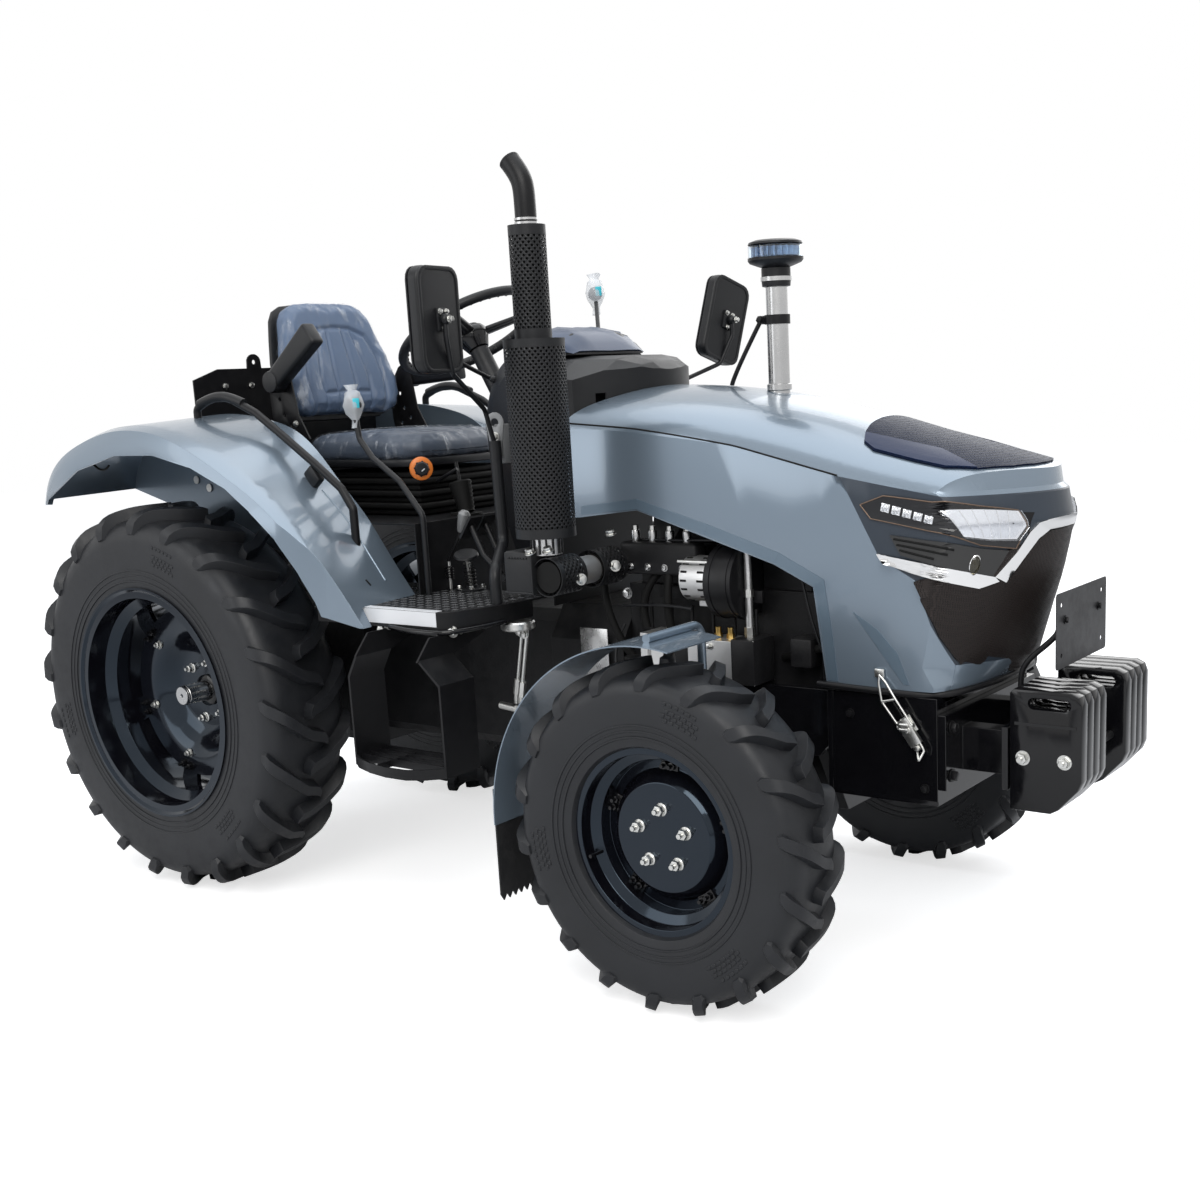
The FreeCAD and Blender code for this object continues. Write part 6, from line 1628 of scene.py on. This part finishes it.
def makeSteering():
    tilt = placed(*steering["hub"]) @ spun(-steering["lean"], "Y")
    arms, cap, grips = bmesh.new(), bmesh.new(), bmesh.new()
    for turn in steering["spokes"]:
        arm = block(steering["spoke"], 0.004, 3)
        for vert in arm.verts:  # the spoke narrows and rises outwards
            share = (vert.co.x + 0.078) / steering["spoke"][0]
            vert.co.y *= 1.25 - 0.5 * share
            vert.co.z += 0.010 * share
        addTo(arms, arm, tilt @ spun(turn, "Z") @ Matrix.Translation((0.118, 0, -0.011)))
    addTo(cap, turned([(0, 0.012), (0.026, 0.010), (0.040, 0.003), (0.046, -0.008), (0.046, -0.022), (0.040, -0.034),
                       (0.030, -0.056), (0, -0.056)], 40), tilt)
    addTo(cap, turned([(0.026, 0.0095), (0.029, 0.0125), (0.032, 0.0085)], 36, True), tilt)
    for i in range(steering["grips"]):  # finger ribs on the inside of the rim
        turn = Matrix.Rotation(2 * math.pi * i / steering["grips"], 4, "Z")
        addTo(grips, block((0.007, 0.010, 0.016), 0.003, 1),
              tilt @ turn @ Matrix.Translation((steering["gripRadius"], 0, -0.002)))
    piece("steering_spokes", "steering_wheel", arms, plasticBlack)
    piece("steering_cap", "steering_wheel", cap, glossBlack)
    piece("steering_grips", "steering_wheel", grips, plasticBlack)
    stalks = [[at(x, way * y, z) for x, y, z in steering["stalk"]] for way in (-1, 1)]
    tube("column_stalks", "chassis", stalks, 0.006, plasticBlack)


def makeConsole():
    dash = surfaceOf("dashboard")
    cover = laid(dash, (1.09, 0, 1.30), wholeWidth(console["cover"]), 0.004, cuts=5)
    piece("console_cover", "chassis", cover, coverSlate, smooth=50)
    faces, rings, marks, keys = bmesh.new(), bmesh.new(), bmesh.new(), bmesh.new()
    for y, radius in console["dials"]:
        place, normal = met(dash, at(0.70, y, 1.60), (0.85, 0, -0.53))
        lie = toward(place, normal)
        addTo(faces, rod(0.003, radius, sides=36), lie)
        addTo(rings, turned([(radius, 0), (radius + 0.004, 0), (radius + 0.004, 0.006), (radius, 0.007)], 36, True),
              lie)
        for i in range(11):
            turn = math.radians(-210 + 24 * i)
            addTo(marks, block((radius * 0.16, 0.0016, 0.0006), 0), lie @ Matrix.Rotation(turn, 4, "Z")
                  @ Matrix.Translation((radius * 0.80, 0, 0.0033)))
        addTo(marks, block((radius * 0.72, 0.0018, 0.0010), 0), lie @ spun(130, "Z")
              @ Matrix.Translation((radius * 0.30, 0, 0.0042)))
    for y in (-0.130, -0.100, 0.105, 0.130):
        place, normal = met(dash, at(0.70, y, 1.52), (0.85, 0, -0.53))
        addTo(keys, turned([(0, 0), (0.009, 0), (0.009, 0.006), (0.007, 0.012), (0, 0.012)], 20),
              toward(place, normal))
    piece("dial_faces", "chassis", faces, matteBlack)
    piece("dial_rings", "chassis", rings, chrome)
    piece("dial_marks", "chassis", marks, stripWhite)
    piece("dash_switches", "chassis", keys, plasticBlack)
    teardrop = arc(0, 0.040, 0.026, -20, 20, 12) + [(-0.012, -0.052), (0.012, -0.052)]
    sheet = cutPlate(teardrop, [ring((0, 0.040), 0.011, 16)[::-1]], 0.004, 0.001)
    bm, studs = bmesh.new(), bmesh.new()
    way = Vector((0.25, -1, 0))
    place = at(*console["plate"])
    addTo(bm, sheet, upright(place, way))
    for z in (0.005, -0.036):
        addBolt(studs, place + Vector((0.001, -0.0045, z)), way, 0.015, 0.008)
    addTo(bm, block((0.034, 0.050, 0.100), 0.004), placed(1.004, -0.232, 1.240))
    piece("console_bracket", "chassis", bm, greyPaint)
    piece("console_bracket_bolts", "chassis", studs, zinc)


mirrorFace = newMaterial("mirrorFace", (0.72, 0.75, 0.78), 0.03, 1.0, 0.01, 0.0, 500, 0.0)
coverSlate = newMaterial("coverSlate", (0.040, 0.062, 0.115), 0.34, 0.1, 0.06, 0.05, 600, 0.06, specular=0.5)
makeMirrorGlass()
makeSteering()
makeConsole()
print("scene: mirrors, wheel and console")


panels = {
    "crease": [(0.560, -0.432, 1.160), (0.625, -0.430, 1.085), (0.664, -0.430, 1.019), (0.704, -0.430, 0.954),
               (0.734, -0.430, 0.900)],
    "lamp": (-0.335, 0.575, 1.252), "slot": (0.742, -0.500, 0.905),
    "lampWire": [(-0.250, 1.245), (-0.215, 1.205), (-0.180, 1.190), (-0.150, 1.215)],
    "seam": [(1.240, -0.262, 1.286), (1.450, -0.266, 1.270), (1.731, -0.266, 1.228), (1.993, -0.262, 1.160)],
    "edge": [(1.272, -0.268, 1.064), (1.446, -0.268, 1.081), (1.640, -0.266, 1.024), (1.828, -0.264, 0.963),
             (1.932, -0.262, 0.914), (1.950, -0.260, 0.800), (1.960, -0.258, 0.700)],
    "edgeWidth": [(0.004, 0.022), (0.002, 0.024), (0.010, 0.024), (0.014, 0.024), (0.026, 0.016), (0.026, 0),
                  (0.026, 0)],
}


def makeFenderTrim():
    lamps, glass, slots, creases = bmesh.new(), bmesh.new(), bmesh.new(), []
    studs, hooks = bmesh.new(), []
    for way, side in ((-1, "right"), (1, "left")):
        tree = surfaceOf("rear_fender_" + side)
        core = (0.0, way * 0.50, 0.80)
        line = [(x, -way * y, z) for x, y, z in panels["crease"]]
        creases.append(onSurface(tree, core, line, -0.0006, 4))
        x, y, z = panels["lamp"]
        place, normal = met(tree, at(x - 0.3, way * y, z + 0.1), (0.9, 0, -0.35))
        lie = toward(place, normal)
        for step in (-0.026, 0.026):
            spin = lie @ Matrix.Translation((0, step, 0))
            addTo(lamps, turned([(0, 0), (0.024, 0), (0.024, 0.010), (0.021, 0.013), (0, 0.013)], 28), spin)
            addTo(glass, turned([(0, 0.013), (0.020, 0.013), (0.018, 0.018), (0, 0.020)], 28), spin)
        # the fender slot is a dark block on the surface: painted shade for the opening
        x, y, z = panels["slot"]
        place, normal = met(tree, at(x + 0.3, -way * y, z + 0.1), (-0.9, 0, -0.3))
        addTo(slots, block((0.020, 0.006, 0.003), 0.001), toward(place, normal, 0.4))
        for x, z in ((-0.116, 1.153), (-0.060, 1.130)):
            addBolt(studs, at(x, way * 0.3595, z), (0, -way, 0), 0.015, 0.008)
        hooks.append([at(x, way * 0.62, z) for x, z in panels["lampWire"]])
    piece("tail_lamps", "chassis", lamps, satinBlack)
    piece("tail_lamp_glass", "chassis", glass, redPlastic)
    piece("fender_slot_shade", "chassis", slots, matteBlack)
    piece("fender_bolts", "chassis", studs, zinc)
    tube("fender_creases", "chassis", creases, 0.0030, paint, order=4)
    tube("lamp_wires", "chassis", hooks, 0.0030, matteBlack)


def makeHoodLines():
    tree = surfaceOf("hood_side_right", "hood_side_left", "hood_top")
    core = (1.62, 0, 1.00)
    seams = [onSurface(tree, core, line, -0.0005, 8) for line in (panels["seam"], across(panels["seam"]))]
    tube("hood_seams", "hood", seams, 0.0021, matteBlack, order=3)
    # painted shade: bands of darker paint along the lower edge, where the bevel turns away from the light
    low = panels["edge"]
    inner = [(x + dx, y, z + dz) for (x, y, z), (dx, dz) in zip(low, panels["edgeWidth"])]
    sideTree = surfaceOf("hood_side_right", "hood_side_left")
    bm = bmesh.new()
    for way in (1, -1):
        for i in range(len(low) - 1):
            quad = [low[i], low[i + 1], inner[i + 1], inner[i]]
            quad = quad if way > 0 else across(quad)
            addTo(bm, laid(sideTree, (quad[0][0], 0, quad[0][2] - 0.02), quad, 0.0010, cuts=3))
    piece("hood_edge_shade_bands", "hood", bm, paintedShade, 40)


def makeFlaps():
    for side in ("right", "left"):
        bm = bmesh.new()
        low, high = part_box("mud_flap_" + side)
        teeth = 9
        outline = [(high.y, high.z), (low.y, high.z)]
        for i in range(teeth):
            start = low.y + (high.y - low.y) * i / teeth
            outline += [(start, low.z + 0.016), (start + (high.y - low.y) / teeth / 2, low.z)]
        outline.append((high.y, low.z + 0.016))
        flat = cutPlate(outline, [], high.x - low.x)
        addTo(bm, flat, Matrix.Translation((low.x, 0, 0)) @ facingAhead)
        obj = piece("mud_flap_sheet_" + side, bodyOf("mud_flap_" + side), bm, flapRubber)
        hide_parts("mud_flap_" + side)


makeFenderTrim()
makeHoodLines()
print("scene: fenders and hood lines")


intake = {  # each turned form: its steps, whether its profile closes, and (radius, height) points
    "place": (1.695, 0, 0), "vanes": 22,
    "pipe": [(40, False, [(0, 1.292), (0.026, 1.292), (0.026, 1.625), (0, 1.625)]),
             (40, True, [(0.0262, 1.345), (0.030, 1.347), (0.030, 1.360), (0.0262, 1.362)]),
             (40, True, [(0.034, 1.602), (0.0372, 1.602), (0.0372, 1.612), (0.034, 1.612)])],
    "collars": [(40, True, [(0.0258, 1.588), (0.034, 1.590), (0.035, 1.600), (0.035, 1.632), (0.0258, 1.636)]),
                (48, True, [(0.030, 1.632), (0.044, 1.637), (0.062, 1.644), (0.0665, 1.650), (0.0665, 1.656),
                            (0.030, 1.656)]),
                (48, False, [(0, 1.684), (0.062, 1.684), (0.0655, 1.687), (0.063, 1.692), (0.050, 1.6965),
                             (0, 1.6968)])],
    "bowl": [(48, True, [(0.0615, 1.657), (0.0650, 1.657), (0.0655, 1.683), (0.0615, 1.683)])],
    "drum": [(32, False, [(0, 1.658), (0.038, 1.658), (0.038, 1.682), (0, 1.682)])],
    "clamp": [(40, True, [(0.0258, 1.502), (0.0310, 1.502), (0.0310, 1.524), (0.0258, 1.524)])],
    "stay": [(1.656, -0.012, 1.513), (1.630, -0.016, 1.470), (1.575, -0.022, 1.380), (1.572, -0.022, 1.362)],
}


def makeIntake():
    body = bodyOf("air_intake")
    stand = placed(*intake["place"])
    pipe, black, clear, vanes, clampBm = (bmesh.new() for _ in range(5))
    for bm, form in ((pipe, "pipe"), (black, "collars"), (clear, "bowl"), (vanes, "drum"), (clampBm, "clamp")):
        for steps, closed, profile in intake[form]:
            addTo(bm, turned(profile, steps, closed), stand)
    for i in range(intake["vanes"]):
        spin = Matrix.Rotation(2 * math.pi * i / intake["vanes"], 4, "Z")
        addTo(vanes, block((0.018, 0.0022, 0.022), 0.0006, 1),
              stand @ spin @ Matrix.Translation((0.050, 0, 1.670)) @ Matrix.Rotation(0.6, 4, "Z"))
    addTo(clampBm, block((0.030, 0.010, 0.020), 0.002), placed(1.664, -0.014, 1.513))
    addBolt(clampBm, at(1.660, -0.020, 1.513), (0, -1, 0), 0.013, 0.009)
    stays = [[at(*p) for p in intake["stay"]]]
    obj = piece("intake_pipe", body, pipe, steel)
    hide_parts("air_intake")
    piece("intake_collars", body, black, plasticBlack)
    piece("intake_bowl", body, clear, bowlClear)
    piece("intake_vanes", body, vanes, vaneBlue)
    piece("intake_clamp", body, clampBm, satinBlack)
    tube("intake_stay", body, stays, 0.0055, satinBlack)


alternator = {
    "across": -0.214, "height": 0.912, "drumLength": 0.0745, "slots": 16, "slotRows": (0.013, 0.061),
    "slotRing": 0.0552, "faceRing": 0.034,
}


def makeAlternator():
    low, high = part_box("alternator")
    drum = middle("alternator")
    black, dark, studs = bmesh.new(), bmesh.new(), bmesh.new()
    reach = (high.y - low.y) / 2
    hub = Matrix.Translation((high.x - alternator["drumLength"], drum.y, drum.z)) @ spun(90, "Y")
    addTo(black, turned([(0, -0.001), (reach + 0.001, -0.001), (reach + 0.001, 0.0755), (reach - 0.004, 0.0765),
                         (0, 0.0765)], 48), hub)
    for offset in (0.012, 0.060):
        addTo(black,
              turned([(reach, offset), (reach + 0.003, offset), (reach + 0.003, offset + 0.004),
                      (reach, offset + 0.004)],
                     48, True), hub)
    centre = Vector((low.x, alternator["across"], alternator["height"]))
    # dark blocks at the vent slots: painted shade for the openings in the housing
    for i in range(alternator["slots"]):
        turn = 2 * math.pi * i / alternator["slots"]
        outward = Vector((0, math.cos(turn), math.sin(turn)))
        spin = Matrix.Rotation(turn + math.pi / 2, 4, "X")
        for x in alternator["slotRows"]:
            place = centre + Vector((x, 0, 0)) + outward * alternator["slotRing"]
            addTo(dark, block((0.018, 0.0055, 0.0026), 0.001, 1), Matrix.Translation(place) @ spin)
        place = centre + Vector((-0.0005, 0, 0)) + outward * alternator["faceRing"]
        addTo(dark, block((0.002, 0.006, 0.020), 0), Matrix.Translation(place) @ spin)
    for y, z in ((-0.045, 0.045), (0.045, -0.045)):
        addRod(studs, centre + Vector((-0.006, y, z)), centre + Vector((0.080, y, z)), 0.004)
    addTo(studs, turned([(0, 0), (0.014, 0), (0.014, 0.010), (0.006, 0.014), (0, 0.014)], 24),
          toward(centre, (-1, 0, 0)))
    piece("pulley_guard", "chassis", black, satinBlack)
    piece("alternator_slot_shade", "chassis", dark, matteBlack)
    piece("alternator_bolts", "chassis", studs, zinc)


bay = {
    "hoses": [
        [(1.42, -0.215, 0.780), (1.40, -0.225, 0.860), (1.44, -0.215, 0.930), (1.52, -0.170, 0.960)],
        [(1.50, -0.220, 0.776), (1.49, -0.235, 0.840), (1.50, -0.235, 0.960), (1.50, -0.150, 1.020)],
        [(1.36, -0.200, 0.700), (1.32, -0.230, 0.760), (1.30, -0.235, 0.850), (1.28, -0.200, 0.900)],
        [(1.78, -0.170, 0.960), (1.86, -0.200, 0.990), (1.93, -0.190, 1.010), (1.96, -0.150, 1.010)],
        [(1.78, -0.150, 0.720), (1.85, -0.190, 0.740), (1.91, -0.200, 0.760), (1.95, -0.180, 0.770)],
    ],
    "wires": [
        [(1.34, -0.205, 0.830), (1.42, -0.238, 0.840), (1.50, -0.246, 0.850), (1.58, -0.246, 0.840)],
        [(1.36, -0.180, 0.995), (1.44, -0.215, 1.000), (1.55, -0.215, 1.000), (1.66, -0.200, 1.005),
         (1.80, -0.185, 1.000)],
        [(1.40, -0.200, 0.640), (1.48, -0.240, 0.640), (1.56, -0.250, 0.650), (1.64, -0.235, 0.655)],
        [(1.86, -0.215, 1.000), (1.88, -0.225, 0.900), (1.90, -0.225, 0.800), (1.94, -0.215, 0.720)],
        [(1.33, -0.190, 0.780), (1.30, -0.235, 0.700), (1.33, -0.240, 0.620), (1.40, -0.210, 0.590)],
    ],
}


def makeEngineBay():
    dark, greys, brights, brass = bmesh.new(), bmesh.new(), bmesh.new(), bmesh.new()
    hoses = []
    for way in (1, -1):
        hoses += [[at(x, way * y, z) for x, y, z in line] for line in bay["hoses"]]
    tube("engine_hoses", "chassis", hoses, 0.0105, matteBlack, order=4)
    wires = [[at(x, way * y, z) for x, y, z in line] for line in bay["wires"] for way in (1, -1)]
    tube("engine_wires", "chassis", wires, 0.0035, plasticBlack, order=4)
    for way in (1, -1):
        addTo(dark, block((0.230, 0.050, 0.080), 0.010, 3), placed(1.47, way * -0.205, 0.955))
        for i in range(4):  # injectors, their caps and bolts
            x = 1.39 + i * 0.052
            addTo(greys, rod(0.030, 0.011, sides=16, bevel=0.002), placed(x, way * -0.205, 0.993))
            addTo(brights, rod(0.012, 0.0075, sides=6), placed(x, way * -0.205, 1.022))
            addBolt(greys, at(x, way * -0.2305, 0.935), (0, -way, 0), 0.012, 0.006)
        addTo(dark, rod(0.100, 0.040, sides=28, bevel=0.006), placed(1.385, way * -0.222, 0.590))
        addTo(dark, rod(0.016, 0.030, sides=24), placed(1.385, way * -0.222, 0.690))
        for x, z in ((1.345, 0.860), (1.345, 0.640), (1.62, 0.850), (1.70, 0.640), (1.80, 0.620), (1.47, 0.620)):
            addBolt(greys, at(x, way * -0.1905, z), (0, -way, 0), 0.018, 0.010)
        for i in range(6):
            addTo(dark, block((0.006, 0.010, 0.200), 0.002, 1), placed(1.42 + i * 0.062, way * -0.1940, 0.740))
        addTo(dark, block((0.300, 0.006, 0.030), 0.002), placed(1.60, way * -0.1935, 0.870))
        addTo(dark, block((0.060, 0.070, 0.070), 0.008), placed(1.86, way * -0.178, 0.745))
        addTo(greys, block((0.090, 0.004, 0.130), 0.001), placed(1.235, way * -0.2005, 0.700))
    for x in (1.43, 1.52, 1.61, 1.70):  # rocker cover bolts
        addBolt(brights, at(x, 0.0, 1.0625), (0, 0, 1), 0.016, 0.009)
    addTo(dark, rod(0.018, 0.024, sides=28, bevel=0.004), placed(1.56, 0.05, 1.062))
    low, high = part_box("hydraulic_pumps")
    pumpY, pumpZ = axle.y - 0.217, 0.722  # the shaft that both pumps share
    for start, end in ((0.086, 0.142), (0.2675, high.x - low.x + 0.001)):
        size = (end - start, 0.0925, 0.1095) if start > 0.2 else (end - start, 0.0755, 0.0915)
        addTo(dark, block(size, 0.004), Matrix.Translation((low.x + (start + end) / 2, pumpY, pumpZ)))
    for x, size in ((0.011, 0.094), (0.205, 0.084)):
        for y, z in ((-0.036, 0.042), (-0.036, -0.042)):
            addBolt(brights, (low.x + x, pumpY - size / 2 + 0.001, pumpZ + z * 0.8), (0, -1, 0), 0.012, 0.007)
    for x in (0.060, 0.115, 0.205, 0.240):
        addTo(brass, rod(0.016, 0.010, sides=6), Matrix.Translation((low.x + x, pumpY, 0.765)))
        addTo(brass, rod(0.018, 0.0075, sides=14), Matrix.Translation((low.x + x, pumpY, 0.778)))
    addRod(brights, (low.x + 0.294, axle.y - 0.215, 0.776), (low.x + 0.294, axle.y - 0.215, 0.800), 0.013, sides=6)
    addRod(brights, (low.x + 0.294, axle.y - 0.215, 0.872), (low.x + 0.294, axle.y - 0.215, 0.890), 0.012, sides=6)
    piece("engine_housings", "chassis", dark, castBlack)
    piece("engine_fittings", "chassis", greys, steel)
    piece("engine_caps", "chassis", brights, zinc)
    piece("pump_fittings", "chassis", brass, brassPlate)


def makeRearTrim():
    low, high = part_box("rear_panel")
    tab = arc(-0.125, high.z + 0.016, 0.026, 0, 20, 10)[1:-1]
    outline = [(low.y, low.z), (high.y, low.z), (high.y, high.z - 0.030), (0.260, high.z),
               (-0.099, high.z), *tab, (-0.151, high.z), (-0.260, high.z), (low.y, high.z - 0.030)]
    holes = [ring((-0.125, high.z + 0.018), 0.007, 12)[::-1]]
    flat = cutPlate(outline, holes, high.x - low.x)
    bm, studs = bmesh.new(), bmesh.new()
    addTo(bm, flat, Matrix.Translation((low.x, 0, 0)) @ facingAhead)
    addTo(bm, block((0.020, 0.66, 0.012), 0.002), Matrix.Translation((high.x + 0.008, 0, low.z + 0.012)))
    for y in (-0.300, -0.180, -0.060, 0.060, 0.180, 0.300):
        addBolt(studs, (high.x + 0.001, y, low.z + 0.060), (1, 0, 0), 0.014, 0.007)
        addBolt(studs, (high.x + 0.001, y * 0.8, high.z - 0.050), (1, 0, 0), 0.012, 0.006)
    obj = piece("rear_panel_sheet", "chassis", bm, satinBlack)
    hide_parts("rear_panel")
    piece("rear_panel_bolts", "chassis", studs, zinc)
    bolts, hoses, caps = bmesh.new(), [], bmesh.new()
    flangeRing, flangeFace = 0.118, 0.4405
    for x, z in ring((0, rear.z), flangeRing, 8):
        for way in (1, -1):
            addBolt(bolts, at(x, way * flangeFace, z), (0, way, 0), 0.016, 0.009)
    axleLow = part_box("transmission")[0]
    for y in (-0.14, -0.05, 0.05, 0.14):
        addBolt(bolts, (axleLow.x - 0.0005, y, 0.880), (-1, 0, 0), 0.018, 0.010)
        addBolt(bolts, (axleLow.x - 0.0005, y, 0.400), (-1, 0, 0), 0.018, 0.010)
    for y in (-0.120, -0.085, 0.085, 0.120):  # hydraulic couplings at the back of the lift cover
        addTo(caps, turned([(0, 0), (0.013, 0), (0.013, 0.020), (0.016, 0.022), (0.016, 0.040), (0.012, 0.044),
                            (0, 0.044)], 20),
              toward((axleLow.x, y, 0.800), (-1, 0, 0.2)))
        hoses.append([(axleLow.x + 0.01, y, 0.800), (axleLow.x - 0.01, y, 0.860), (axleLow.x + 0.06, y * 0.9, 0.955),
                      (axleLow.x + 0.16, y * 0.8, 0.975)])
    piece("axle_bolts", "chassis", bolts, castBlack)
    piece("hydraulic_couplings", "chassis", caps, plasticBlack)
    tube("rear_hoses", "chassis", hoses, 0.0070, matteBlack)
    grips, feet = [], bmesh.new()
    for way in (1, -1):
        line = ((0.060, 1.372), (0.112, 1.390), (0.186, 1.3925), (0.250, 1.370))
        grips.append([at(x, way * -0.450, z) for x, z in line])
        addTo(feet, block((0.052, 0.024, 0.040), 0.006), moved(at(0.510, way * -0.450, 1.172), (0, 52, 0)))
    tube("handrail_grips", "chassis", grips, 0.0135, plasticBlack, order=3)
    piece("handrail_feet", "chassis", feet, plasticBlack)


bowlClear = clearPlastic("bowlClear", (0.80, 0.88, 0.97), 0.04)
vaneBlue = newMaterial("vaneBlue", (0.42, 0.58, 0.78), 0.22, 0.1, 0.2, 0.0, 300, 0.1)
brassPlate = newMaterial("brassPlate", (0.62, 0.42, 0.14), 0.28, 1.0, 0.1, 0.02, 400, 0.06)
makeIntake()
makeAlternator()
makeEngineBay()
makeRearTrim()
makeFlaps()
print("scene: engine bay and rear")
